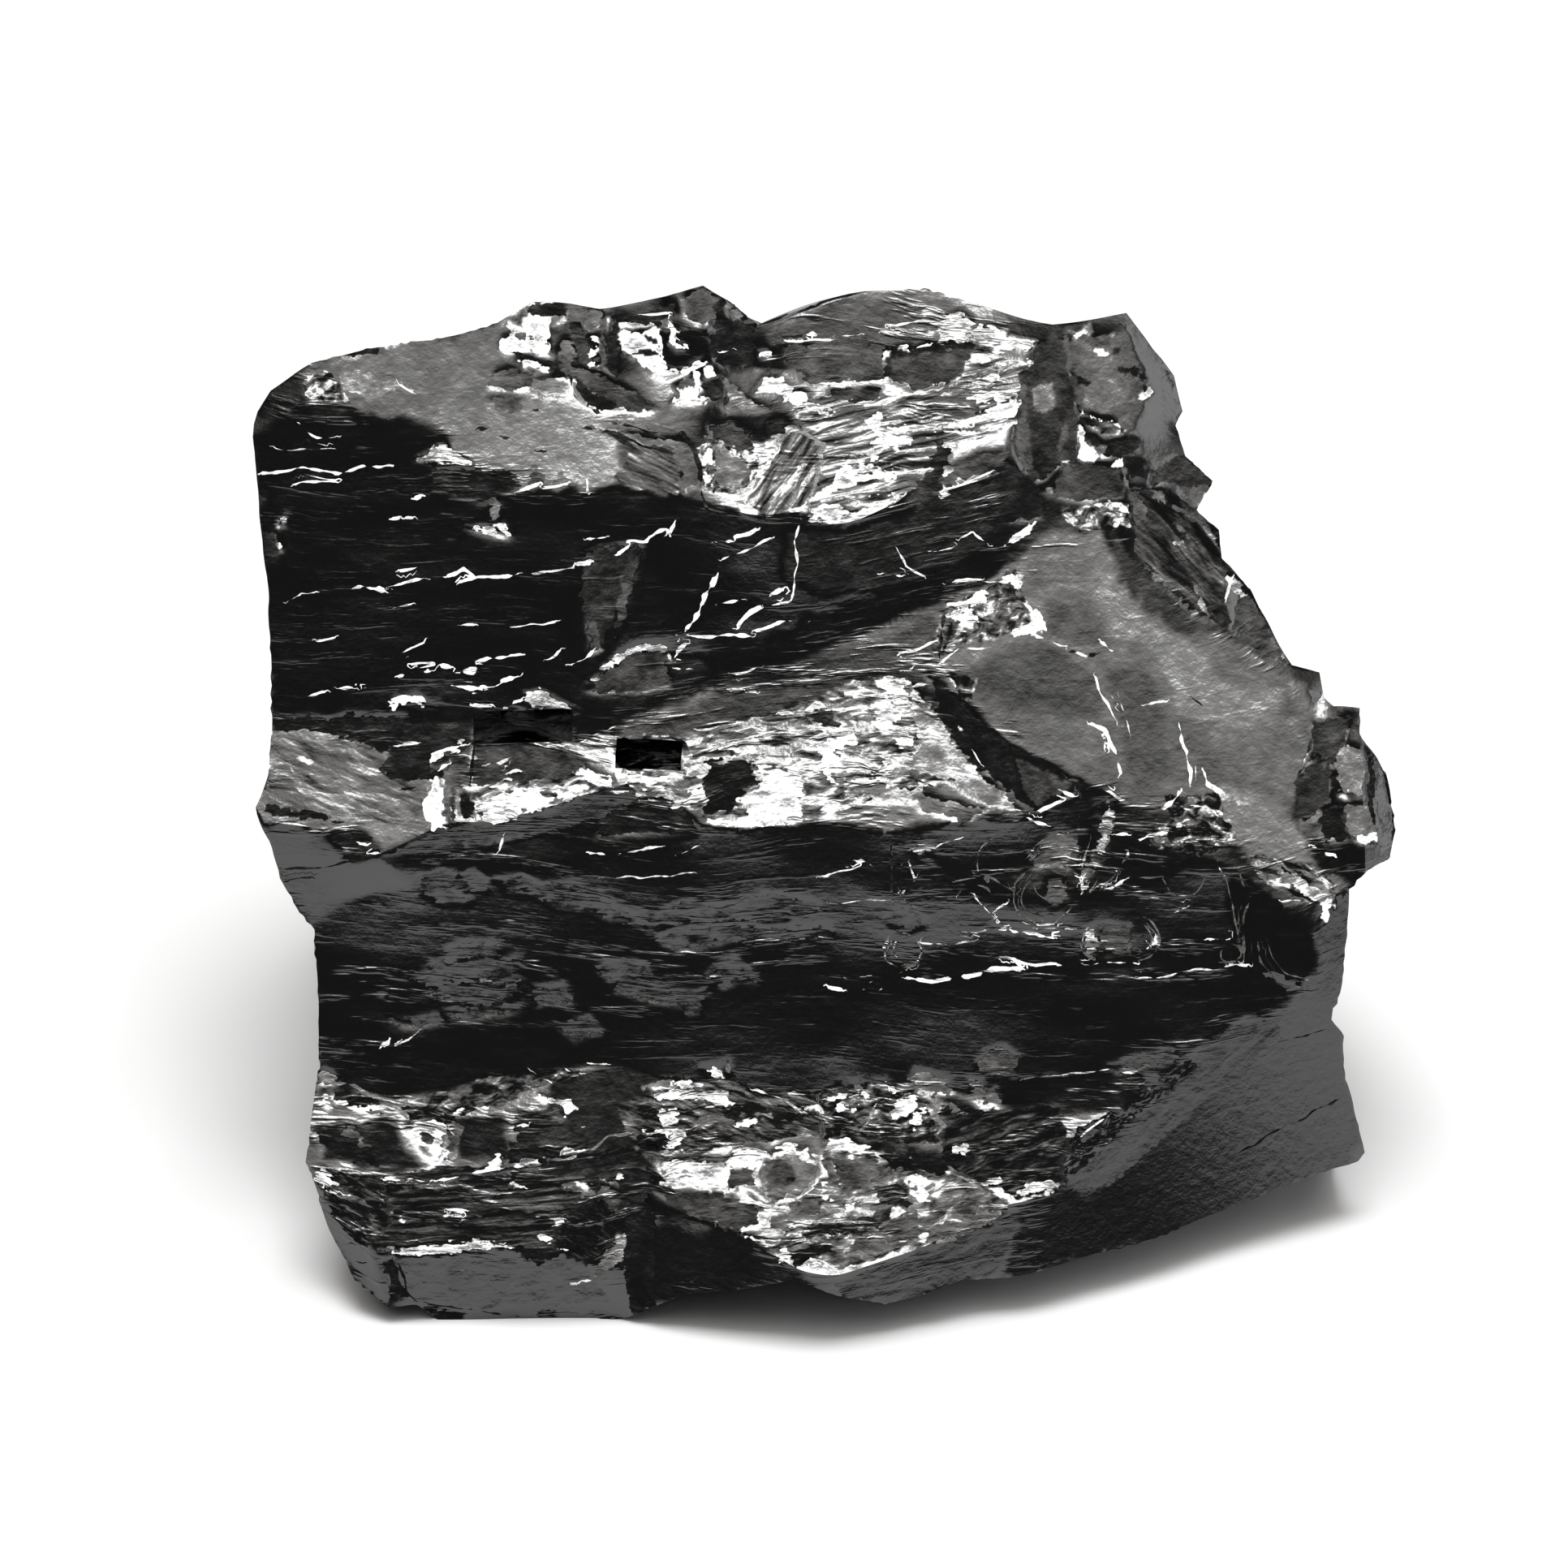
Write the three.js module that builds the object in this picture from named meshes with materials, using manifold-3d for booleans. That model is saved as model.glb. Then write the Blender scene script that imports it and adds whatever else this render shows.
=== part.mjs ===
// A lump of raw noble shungite: glassy, silvery black carbon, broken on every side.
// One closed solid. Millimetres, +Z up. The origin is on the base, under the middle of the stone.
//
// The broken front leans back. It is laid out flat as a map: `across` runs to the right along +X, `up` runs
// up the leaning face, and `out` stands off it towards the front. Each facet of the map says which way it
// leans, and the map is then raised so that every facet leans as it says.

import * as THREE from 'three';
import { mergeVertices } from 'three/addons/utils/BufferGeometryUtils.js';
import Module from 'manifold-3d';

// ---- driving dimensions -------------------------------------------------------------------------

const FACE_LEAN = 35;             // the front's normal points this many degrees above level
const FOOT = [-9.3, -18.35];      // lowest corner of the front on the map, where it meets the ground
const BEDDED = 0.35;              // how far that corner is trimmed to make the flat base
const FACE_Y = -1.99;             // the map's origin along Y, which centres the stone
const FRONT_EDGE = 1.3;           // longest triangle edge on the front
const BACK_EDGE = 2.1;            // longest triangle edge on the sides, the back and the base
const SEED = 11;

// Waves that roughen the stone: how high each is, and how long it is along each axis.
const FRONT_RIPPLES = [
  { height: 0.16, lengths: [7, 1.7, 1], from: 3 },
  { height: 0.10, lengths: [2.6, 1.1, 1], from: 9 },
];
const BACK_WAVES = [
  { height: 0.55, lengths: [7, 7, 6] },
  { height: 0.22, lengths: [2.8, 2.8, 2.2] },
  { height: 0.3, lengths: [9, 9, 1.5] },
];
const BACK_WEAR = 0.25;           // how far the sides and the back are worn back
const BASE_EASE = 1.5;            // height above the base over which the roughness fades in

// ---- feature lines of the front, as [across, up] ------------------------------------------------

// The rim is the outline of the front, clockwise from the upper left corner.
const rimCorner = [[-20.1, 13.0], [-19.95, 13.9], [-19.5, 14.65], [-18.8, 15.25], [-18.0, 15.6]];
const rimBevel = [[-18.0, 15.6], [-16.0, 16.2], [-13.1, 16.55], [-11.5, 17.0]];
const rimPatch = [[-11.5, 17.0], [-10.3, 17.85], [-9.0, 17.9]];
const rimDome = [
  [-2.4, 16.9], [-0.5, 17.6], [1.3, 18.2], [3.5, 18.3], [6.0, 17.6], [7.1, 17.15], [8.0, 17.0],
];
const rimRightOfBlock = [
  [10.6, 17.4], [11.4, 16.5], [12.4, 15.3], [12.65, 14.0], [12.4, 13.5], [12.7, 12.4],
];
const rimLeaves = [[13.1, 10.5], [13.9, 9.8], [14.0, 8.8], [15.0, 7.7]];
const rimKnob = [[19.7, 1.2], [20.1, -0.8], [19.95, -1.8], [19.0, -2.3]];
const rimRight = [[18.5, -2.9], [18.4, -4.0], [18.3, -6.0]];
const rimShoulder = [
  [18.3, -6.0], [18.0, -7.5], [18.4, -8.1], [18.4, -9.2], [18.9, -11.0], [19.2, -12.3], [19.0, -12.6],
  [17.4, -13.1], [15.0, -14.0], [13.0, -14.7], [11.5, -15.3], [9.3, -15.8], [7.0, -16.5],
];
const rimUnderNose = [[7.0, -16.5], [4.8, -16.6], [3.5, -17.1], [2.1, -17.4], [0.4, -17.1]];
const rimHollow = [[0.4, -17.1], [-1.0, -16.5], [-3.0, -16.9], [-5.0, -17.1], [-7.0, -18.0]];
const rimBlock = [
  [-7.0, -18.0], [-9.3, -18.35], [-12.5, -18.35], [-13.4, -18.3], [-14.4, -17.5], [-15.4, -17.6],
];
const rimTip = [[-15.4, -17.6], [-16.5, -16.6], [-17.5, -14.9], [-18.3, -12.5]];
const rimLeftLow = [[-18.3, -12.5], [-18.0, -10.0], [-17.9, -9.2]];
const rimLip = [[-18.0, -4.3], [-18.9, -3.0], [-19.3, -1.9], [-20.0, 0.0]];
const rimFlare = [[-20.0, 0.0], [-19.6, 1.6], [-19.5, 2.8]];
const rimDark = [[-19.5, 2.8], [-19.5, 5.2], [-19.7, 8.5], [-20.0, 12.0], [-20.1, 13.0]];

// Foot and right end of the smooth bevel at the upper left.
const bevelFoot = [
  [-18.3, 14.3], [-16.5, 14.0], [-15.0, 13.8], [-13.9, 13.4], [-12.9, 12.9], [-12.3, 12.1], [-11.8, 11.7],
  [-11.0, 12.0], [-9.8, 12.0], [-8.3, 11.7], [-7.0, 11.2], [-4.2, 10.7],
];
const bevelEnd = [[-9.2, 16.0], [-8.7, 14.2], [-7.5, 13.7], [-5.0, 13.1], [-4.6, 12.0], [-4.2, 10.7]];

// Left side and foot of the bright dome at the top.
const domeLeft = [[-2.3, 15.5], [-1.1, 13.5], [-2.0, 12.8], [-2.8, 11.0], [-2.5, 10.2]];
const domeFoot = [
  [-2.5, 10.2], [-0.6, 10.4], [0.0, 9.9], [1.0, 10.0], [2.5, 10.7], [3.2, 11.3], [4.2, 11.1], [5.8, 11.6],
  [6.4, 12.7], [6.9, 14.0],
];
const finLeft = [[6.9, 14.0], [7.0, 12.8], [7.3, 11.9]];

// The crack climbs from left to right. The ledge lies under it, down to the ledge's lip.
const crackLeft = [[-12.4, 3.0], [-12.3, 2.1], [-10.0, 2.3], [-8.6, 2.3]];
const crackMiddle = [[-8.6, 2.3], [-7.0, 3.0], [-4.0, 4.3]];
const crackRight = [[-4.0, 4.3], [-1.0, 5.3], [0.5, 5.9], [2.0, 6.5], [3.7, 7.4]];
const crackTop = [[3.7, 7.4], [5.0, 7.7], [6.0, 8.2], [7.2, 9.2], [8.0, 9.9]];
const flareEnd = [[-12.4, 3.0], [-12.3, 2.1], [-12.4, 0.5], [-13.2, -0.5]];
const lipLeft = [[-15.7, -1.7], [-13.9, -0.8], [-13.2, -0.5]];
const lipMiddle = [[-13.2, -0.5], [-11.5, -0.5], [-9.5, 0.1], [-8.0, 0.6], [-6.5, 0.95]];
const lipUnder = [[-15.7, -1.7], [-12.0, -1.4], [-10.0, -0.9], [-8.0, -0.3], [-6.5, 0.1], [-5.3, 0.5]];
const lipRight = [[-5.3, 0.5], [-4.5, -0.6], [-3.0, -0.7], [-1.0, -0.6]];
const lipWedge = [[-1.0, -0.6], [0.5, -0.5], [2.0, -0.9], [4.5, -0.5], [7.0, -0.45]];

// The dark groove crosses under the big right facet.
const grooveTop = [[4.2, 4.2], [5.5, 3.0], [6.5, 2.2], [7.5, 1.7], [9.0, 0.9], [9.9, 0.5]];
const grooveFoot = [[3.0, 4.3], [4.0, 3.2], [4.6, 2.1], [5.3, 1.2], [6.5, 0.4], [7.0, -0.45]];
const sailVein = [[8.5, 10.0], [9.0, 7.0], [9.5, 4.6], [10.1, 3.2], [9.9, 0.5]];
const sailFoot = [[9.9, 0.5], [10.9, 0.0], [12.5, -0.4], [13.7, -0.9], [15.0, -1.75], [17.3, -2.2]];
const sailRight = [[12.0, 6.7], [11.0, 7.2], [10.5, 8.2], [9.8, 9.8]];
const knobLeft = [
  [17.3, -2.2], [17.0, -1.0], [16.4, -0.3], [16.2, 0.3], [16.4, 1.0], [17.0, 2.0], [17.1, 3.0],
];

// Lines across the dark band in the middle, down to its foot.
const bandHigh = [[-14.6, -2.8], [-11.0, -2.1], [-6.0, -2.2], [0.0, -2.8], [7.0, -3.0], [14.9, -2.6]];
const bandLow = [
  [-17.9, -6.0], [-14.0, -5.2], [-9.0, -4.8], [-4.0, -4.6], [2.0, -5.2], [8.0, -5.6], [15.0, -5.6],
  [17.3, -6.4],
];
const bandFootLeft = [
  [-17.9, -9.2], [-16.5, -9.9], [-15.2, -10.3], [-14.0, -10.0], [-12.0, -9.7], [-10.0, -9.4],
];
const bandFootMiddle = [
  [-10.0, -9.4], [-8.0, -9.0], [-6.5, -9.4], [-5.0, -9.6], [-2.5, -9.9], [-0.7, -10.2],
];
const bandFootRight = [
  [-0.7, -10.2], [0.5, -9.8], [2.5, -9.7], [4.5, -9.9], [6.0, -10.5], [8.0, -11.0], [10.5, -10.6],
];

// Edge of the big lower right shoulder, from the rim down to the nose.
const shoulderTop = [
  [18.3, -6.0], [17.3, -6.4], [16.2, -7.1], [14.8, -7.6], [13.5, -8.2], [12.6, -8.6], [12.0, -9.5],
  [11.2, -10.2], [10.5, -10.6],
];
const shoulderEnd = [[10.5, -10.6], [9.2, -11.8], [8.7, -12.5], [8.4, -13.2], [7.7, -13.7]];
const shoulderFoot = [[7.7, -13.7], [7.5, -14.5], [7.0, -15.2], [7.0, -16.5]];

// The bright nose at the lower middle, and the block at the lower left.
const noseTop = [[-6.0, -11.0], [-1.0, -11.3], [3.0, -12.2], [6.4, -13.9]];
const noseRight = [[6.4, -13.9], [5.0, -14.6], [3.4, -15.4], [0.3, -16.4]];
const noseLeft = [
  [0.3, -16.4], [-0.9, -16.2], [-1.7, -15.7], [-3.0, -14.8], [-4.7, -14.2], [-5.6, -13.2],
  [-6.0, -12.6],
];
const wedgeTop = [[-11.0, -12.6], [-7.5, -11.8], [-6.9, -11.6]];
const wedgeEnd = [[-6.0, -12.6], [-6.3, -13.6], [-6.9, -14.0], [-7.2, -15.0]];
const blockTop = [
  [-16.0, -15.4], [-15.0, -15.6], [-11.3, -15.4], [-10.0, -15.9], [-9.0, -15.5], [-7.2, -15.0],
];
const tipEdge = [[-18.3, -12.5], [-17.0, -13.6], [-16.3, -14.5], [-16.0, -15.4]];

const back = (line) => [...line].reverse();

// ---- facets of the front ------------------------------------------------------------------------
// `up` and `right` are the degrees that a facet is turned to face upwards and to the right, from facing
// straight out.

const facets = [
  {
    name: 'upper left bevel', up: 13, right: -3,
    outline: [...rimBevel, [-11.0, 15.8], ...bevelEnd, ...back(bevelFoot)],
  },
  { name: 'bevel patch', up: 27, right: 0, outline: [...rimPatch, [-9.2, 16.0], [-11.0, 15.8]] },
  { name: 'upper left corner', up: 4, right: -30, outline: [...rimCorner, [-18.3, 14.3]] },
  {
    name: 'dark face left', up: -11, right: -4,
    outline: [...rimDark, ...bevelFoot.slice(0, 9), [-8.6, 7.5], ...back(crackLeft), [-14.0, 2.9]],
  },
  {
    name: 'dark face middle', up: -9, right: 5,
    outline: [...bevelFoot.slice(8), [-4.8, 6.3], ...back(crackMiddle), [-8.6, 7.5]],
  },
  {
    name: 'dark face vein', up: -6, right: -12,
    outline: [[-4.2, 10.7], [-2.5, 10.2], [-1.0, 7.2], ...back(crackRight.slice(0, 2)), [-4.8, 6.3]],
  },
  {
    name: 'dark face right', up: -12, right: 6,
    outline: [...domeFoot, ...finLeft, ...back(crackTop), ...back(crackRight.slice(1)), [-1.0, 7.2]],
  },
  {
    name: 'chip pillar', up: -10, right: -18,
    outline: [[-9.0, 17.9], [-7.9, 17.6], [-7.3, 15.2], [-8.7, 14.2], [-9.2, 16.0]],
  },
  {
    name: 'chip bright', up: 24, right: 4,
    outline: [[-7.9, 17.6], [-6.0, 18.0], [-5.6, 15.3], [-7.3, 15.2]],
  },
  {
    name: 'chip grey', up: 12, right: -14,
    outline: [[-6.0, 18.0], [-4.3, 18.35], [-4.0, 15.2], [-5.6, 15.3]],
  },
  {
    name: 'chip dark', up: -14, right: 22,
    outline: [[-4.3, 18.35], [-3.3, 17.8], [-2.4, 16.9], [-2.3, 15.5], [-4.0, 15.2]],
  },
  {
    name: 'chip fan', up: 16, right: -6,
    outline: [
      [-8.7, 14.2], [-7.3, 15.2], [-5.6, 15.3], [-4.0, 15.2], [-4.4, 13.0], [-5.0, 13.1], [-7.5, 13.7],
    ],
  },
  {
    name: 'chip bowl', up: 20, right: 10,
    outline: [
      [-5.0, 13.1], [-4.4, 13.0], [-2.0, 12.8], [-2.8, 11.0], [-2.5, 10.2], [-4.2, 10.7], [-4.6, 12.0],
    ],
  },
  {
    name: 'chip shade', up: -8, right: 14,
    outline: [[-4.0, 15.2], [-2.3, 15.5], [-1.1, 13.5], [-2.0, 12.8], [-4.4, 13.0]],
  },
  {
    name: 'dome brow', up: 15, right: 0,
    outline: [...rimDome, [8.05, 16.5], [7.1, 15.5], [3.9, 15.8], [2.1, 15.0], [-2.3, 15.5]],
  },
  {
    name: 'dome', up: 28, right: 0,
    outline: [...domeLeft, ...domeFoot, [7.1, 15.5], [3.9, 15.8], [2.1, 15.0]],
  },
  {
    name: 'fin left', up: -4, right: -26,
    outline: [[8.05, 16.5], [8.0, 12.0], ...back(finLeft), [7.1, 15.5]],
  },
  {
    name: 'fin right', up: -8, right: 38,
    outline: [[8.05, 16.5], [8.5, 16.0], [8.95, 14.0], [8.9, 12.2], [8.0, 12.0]],
  },
  {
    name: 'block front', up: 10, right: -4,
    outline: [
      [8.0, 17.0], [9.0, 17.05], [10.6, 17.4], [10.6, 14.0], [10.4, 12.1], [8.9, 12.2], [8.95, 14.0],
      [8.5, 16.0], [8.05, 16.5],
    ],
  },
  {
    name: 'block side', up: 12, right: 38,
    outline: [...rimRightOfBlock, [11.7, 12.2], [10.4, 12.1], [10.6, 14.0]],
  },
  {
    name: 'step plate', up: 9, right: 0,
    outline: [
      [8.0, 12.0], [8.9, 12.2], [10.4, 12.1], [10.6, 10.0], [9.8, 9.8], [8.5, 10.0], [8.0, 9.9],
      [7.3, 11.9],
    ],
  },
  {
    name: 'spike', up: -10, right: 16,
    outline: [
      [10.4, 12.1], [11.7, 12.2], [12.7, 12.4], [13.7, 11.5], [13.1, 10.5], [11.5, 10.8], [10.6, 10.0],
    ],
  },
  {
    name: 'leaves', up: -4, right: 22,
    outline: [[10.6, 10.0], [11.5, 10.8], ...rimLeaves, [14.1, 6.0], ...sailRight],
  },
  {
    name: 'leaf side', up: 6, right: 36,
    outline: [[15.0, 7.7], [15.9, 6.0], [16.5, 5.05], [16.3, 4.7], [15.0, 5.8], [14.1, 6.0]],
  },
  {
    name: 'corner chip', up: 14, right: 28,
    outline: [[16.3, 4.7], [16.5, 5.05], [17.5, 4.8], [17.65, 3.6], [17.1, 3.0], [16.4, 3.7]],
  },
  {
    name: 'knob front', up: 2, right: -16,
    outline: [[17.65, 3.6], [18.8, 3.5], [18.8, 2.6], [18.9, 0.3], [19.0, -2.3], ...knobLeft],
  },
  { name: 'knob side', up: 6, right: 42, outline: [[18.8, 2.6], ...rimKnob, [18.9, 0.3]] },
  {
    name: 'sail left', up: 12, right: 2,
    outline: [...back(crackTop), [4.2, 7.0], [4.1, 5.5], ...grooveTop, ...back(sailVein)],
  },
  {
    name: 'sail right', up: 10, right: 9,
    outline: [
      ...sailVein, ...sailFoot, ...knobLeft, [16.4, 3.7], [16.3, 4.7], [15.0, 5.8], [14.1, 6.0],
      ...sailRight,
    ],
  },
  {
    name: 'left flare', up: 18, right: -4,
    outline: [
      ...rimFlare, [-14.0, 2.9], ...flareEnd, ...back(lipLeft), [-16.6, -1.6], [-17.5, -0.75],
      [-19.5, -0.5],
    ],
  },
  {
    name: 'lip underside', up: -34, right: -6,
    outline: [
      [-20.0, 0.0], [-19.5, -0.5], [-17.5, -0.75], [-16.6, -1.6], [-15.7, -1.7], [-14.6, -2.8],
      [-16.2, -3.0], [-17.2, -3.4], ...rimLip,
    ],
  },
  {
    name: 'ledge left', up: 17, right: 0,
    outline: [...crackLeft.slice(1), [-7.3, 2.4], ...back(lipMiddle), [-12.4, 0.5]],
  },
  {
    name: 'ledge back', up: 14, right: -2,
    outline: [
      ...crackMiddle, ...crackRight, [4.2, 7.0], [4.1, 5.5], [4.2, 4.2], [3.0, 4.3], [0.8, 4.2],
      [-2.0, 3.2], [-5.0, 2.4], [-7.3, 2.4],
    ],
  },
  {
    name: 'ledge bright', up: 26, right: 3,
    outline: [[-7.3, 2.4], [-5.0, 2.4], [-2.0, 3.2], ...back(lipRight), [-6.5, 0.95]],
  },
  {
    name: 'ledge wedge', up: 23, right: -8,
    outline: [[-2.0, 3.2], [0.8, 4.2], ...grooveFoot, ...back(lipWedge)],
  },
  { name: 'lip strip', up: -34, right: 0, outline: [...lipLeft, ...lipMiddle, ...back(lipUnder)] },
  {
    name: 'groove', up: -18, right: 16,
    outline: [...grooveTop, [9.2, -0.6], ...back(grooveFoot), [4.2, 4.2]],
  },
  {
    name: 'band high', up: -8, right: -2,
    outline: [
      ...lipUnder, ...lipRight, ...lipWedge, [9.2, -0.6], ...sailFoot.slice(0, 5), ...back(bandHigh),
    ],
  },
  {
    name: 'band flare', up: 18, right: 8,
    outline: [[15.0, -1.75], [17.3, -2.2], [19.0, -2.3], [18.5, -2.9], [16.2, -3.6], [14.9, -2.6]],
  },
  {
    name: 'band middle', up: -13, right: 0,
    outline: [
      [-14.6, -2.8], ...bandHigh, [16.2, -3.6], [17.5, -4.6], ...back(bandLow), [-18.0, -4.3], [-17.2, -3.4],
      [-16.2, -3.0],
    ],
  },
  {
    name: 'band edge', up: -4, right: 36,
    outline: [...rimRight, [17.3, -6.4], [17.5, -4.6], [16.2, -3.6]],
  },
  {
    name: 'band low', up: -10, right: 0,
    outline: [
      ...bandLow, ...shoulderTop.slice(2), ...back(bandFootRight), ...back(bandFootMiddle),
      ...back(bandFootLeft), [-17.85, -7.0],
    ],
  },
  {
    name: 'foot left', up: 20, right: -4,
    outline: [...bandFootLeft, [-11.0, -12.6], [-16.0, -12.6], ...rimLeftLow],
  },
  {
    name: 'foot middle', up: 19, right: 4,
    outline: [...bandFootMiddle, [-1.0, -11.3], [-6.0, -11.0], ...back(wedgeTop)],
  },
  {
    name: 'foot right', up: 18, right: 0,
    outline: [...bandFootRight, ...shoulderEnd, ...back(noseTop).slice(0, 3)],
  },
  {
    name: 'laminae', up: 7, right: -4,
    outline: [
      [-18.3, -12.5], [-16.0, -12.6], [-11.0, -12.6], [-9.5, -13.8], [-7.2, -15.0], ...back(blockTop),
      ...back(tipEdge),
    ],
  },
  { name: 'wedge', up: -10, right: 14, outline: [...wedgeTop, ...wedgeEnd, [-9.5, -13.8]] },
  { name: 'nose shoulder', up: 12, right: -26, outline: [[-6.9, -11.6], [-6.0, -11.0], [-6.0, -12.6]] },
  { name: 'nose', up: 25, right: 4, outline: [...noseTop, ...noseRight, ...noseLeft] },
  {
    name: 'nose underside', up: -34, right: 8,
    outline: [...noseRight, ...back(rimUnderNose), ...back(shoulderFoot), [7.7, -13.7]],
  },
  { name: 'hollow', up: -12, right: -12, outline: [...noseLeft, ...wedgeEnd, ...back(rimHollow)] },
  { name: 'block face', up: -34, right: 0, outline: [...blockTop, ...rimBlock] },
  { name: 'left tip', up: -16, right: -38, outline: [...back(tipEdge), ...back(rimTip)] },
  {
    name: 'shoulder', up: -18, right: 28,
    outline: [...shoulderTop, ...shoulderEnd, ...shoulderFoot, ...back(rimShoulder)],
  },
];

// Pockets broken out of the front: the middle of each as [across, up], its size as [width, height, depth]
// and how far it is turned, in degrees.
const pockets = [
  { at: [-10.6, 2.85], size: [3.4, 1.1, 2.4], turn: 2 },
  { at: [-6.2, 1.85], size: [2.3, 1.05, 2.0], turn: -3 },
];

// ---- numbers that repeat exactly ----------------------------------------------------------------

const radians = THREE.MathUtils.degToRad;
const LEAN_SIN = Math.sin(radians(FACE_LEAN));
const LEAN_COS = Math.cos(radians(FACE_LEAN));
const FACE_Z = -FOOT[1] * LEAN_COS - BEDDED;

// A scattered number from 0 to 1 for each whole-numbered place.
function scatter(i, j, k) {
  const [ri, rj, rk, rs] = [374761393, 668265263, 2147483647, 974634777];
  let n = Math.imul(i, ri) ^ Math.imul(j, rj) ^ Math.imul(k, rk) ^ Math.imul(SEED, rs);
  n = Math.imul(n ^ (n >>> 13), 1274126177);
  n = Math.imul(n ^ (n >>> 16), 2246822519);
  return ((n ^ (n >>> 15)) >>> 0) / 4294967296;
}

// Smooth noise from -1 to 1, with lumps about one unit across.
function noise(x, y, z) {
  const [i, j, k] = [Math.floor(x), Math.floor(y), Math.floor(z)];
  const ease = (t) => t * t * (3 - 2 * t);
  const [u, v, w] = [ease(x - i), ease(y - j), ease(z - k)];
  let sum = 0;
  for (const [di, fi] of [[0, 1 - u], [1, u]]) {
    for (const [dj, fj] of [[0, 1 - v], [1, v]]) {
      for (const [dk, fk] of [[0, 1 - w], [1, w]]) {
        sum += fi * fj * fk * scatter(i + di, j + dj, k + dk);
      }
    }
  }
  return 2 * sum - 1;
}

// ---- a mesh is { points: [[x, y, z]], faces: [{ corners: [i, j, k], facet }] } ------------------

const minus = (p, q) => [p[0] - q[0], p[1] - q[1], p[2] - q[2]];
const dot = (p, q) => p[0] * q[0] + p[1] * q[1] + p[2] * q[2];
const cross = (p, q) => [p[1] * q[2] - p[2] * q[1], p[2] * q[0] - p[0] * q[2], p[0] * q[1] - p[1] * q[0]];
const length = (p) => Math.hypot(...p);
const mix = (p, q, t) => p.map((value, axis) => value + (q[axis] - value) * t);
const PAIR = 1e6;
const pairKey = (i, j) => (i < j ? i * PAIR + j : j * PAIR + i);
const placeKey = (p) => p.map((value) => value.toFixed(2)).join();

function faceNormal(points, corners) {
  const [p, q, r] = corners.map((i) => points[i]);
  return cross(minus(q, p), minus(r, p));
}

// Turns the facets into one flat mesh. A corner that lies along a neighbour's edge joins that edge.
function weave(list) {
  const JOIN = 0.2;
  const CLEAR = 0.02;
  const ids = new Map();
  const points = [];
  const idOf = (p) => {
    const key = placeKey(p);
    if (!ids.has(key)) {
      ids.set(key, points.length);
      points.push([p[0], p[1], 0]);
    }
    return ids.get(key);
  };
  for (const { outline } of list) outline.forEach(idOf);
  const corners = [...points];
  const faces = [];
  list.forEach(({ outline }, facet) => {
    const ring = [];
    outline.forEach((p, i) => {
      const q = outline[(i + 1) % outline.length];
      if (placeKey(p) === placeKey(q)) return;
      ring.push(idOf(p));
      const [dx, dy] = [q[0] - p[0], q[1] - p[1]];
      const along = (r) => ((r[0] - p[0]) * dx + (r[1] - p[1]) * dy) / (dx * dx + dy * dy);
      const aside = (r) => Math.abs((r[0] - p[0]) * dy - (r[1] - p[1]) * dx) / Math.hypot(dx, dy);
      const joined = corners.filter((r) => along(r) > CLEAR && along(r) < 1 - CLEAR && aside(r) < JOIN);
      joined.sort((r, s) => along(r) - along(s));
      ring.push(...joined.map(idOf));
    });
    const contour = ring.map((id) => new THREE.Vector2(points[id][0], points[id][1]));
    for (const corner of THREE.ShapeUtils.triangulateShape(contour, [])) {
      const turned = corner.map((i) => ring[i]);
      if (faceNormal(points, turned)[2] < 0) turned.reverse();
      faces.push({ corners: turned, facet });
    }
  });
  return { points, faces };
}

// Splits every edge that is longer than the limit, so that all of its faces still share it.
// An edge that lies between two faces of the plain facet stays whole.
function splitLongEdges(mesh, limit, plainFacet = -1) {
  const MOST_ROUNDS = 12;
  for (let round = 0; round < MOST_ROUNDS; round += 1) {
    const shaped = new Set();
    for (const { corners, facet } of mesh.faces) {
      if (facet !== plainFacet) corners.forEach((i, n) => shaped.add(pairKey(i, corners[(n + 1) % 3])));
    }
    const middles = new Map();
    const middleOf = (i, j) => {
      const [p, q] = [mesh.points[i], mesh.points[j]];
      if (length(minus(p, q)) <= limit || !shaped.has(pairKey(i, j))) return -1;
      const key = pairKey(i, j);
      if (!middles.has(key)) {
        middles.set(key, mesh.points.length);
        mesh.points.push(mix(p, q, 0.5));
      }
      return middles.get(key);
    };
    mesh.faces = mesh.faces.flatMap(({ corners, facet }) => splitFace(mesh, corners, middleOf).map(
      (part) => ({ corners: part, facet }),
    ));
    if (middles.size === 0) return;
  }
}

function splitFace(mesh, corners, middleOf) {
  const middles = corners.map((i, n) => middleOf(i, corners[(n + 1) % 3]));
  const count = middles.filter((m) => m >= 0).length;
  if (count === 0) return [corners];
  const turn = (items, n) => [items[n % 3], items[(n + 1) % 3], items[(n + 2) % 3]];
  if (count === 3) {
    const [[i, j, k], [m, n, o]] = [corners, middles];
    return [[i, m, o], [m, j, n], [o, n, k], [m, n, o]];
  }
  if (count === 1) {
    const first = middles.findIndex((m) => m >= 0);
    const [[i, j, k], [m]] = [turn(corners, first), turn(middles, first)];
    return [[i, m, k], [m, j, k]];
  }
  const whole = middles.findIndex((m) => m < 0);
  const [[i, j, k], [, n, o]] = [turn(corners, whole), turn(middles, whole)];
  const between = (s, t) => length(minus(mesh.points[s], mesh.points[t]));
  const rest = between(i, n) < between(j, o) ? [[i, j, n], [i, n, o]] : [[i, j, o], [j, n, o]];
  return [...rest, [o, n, k]];
}

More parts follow.
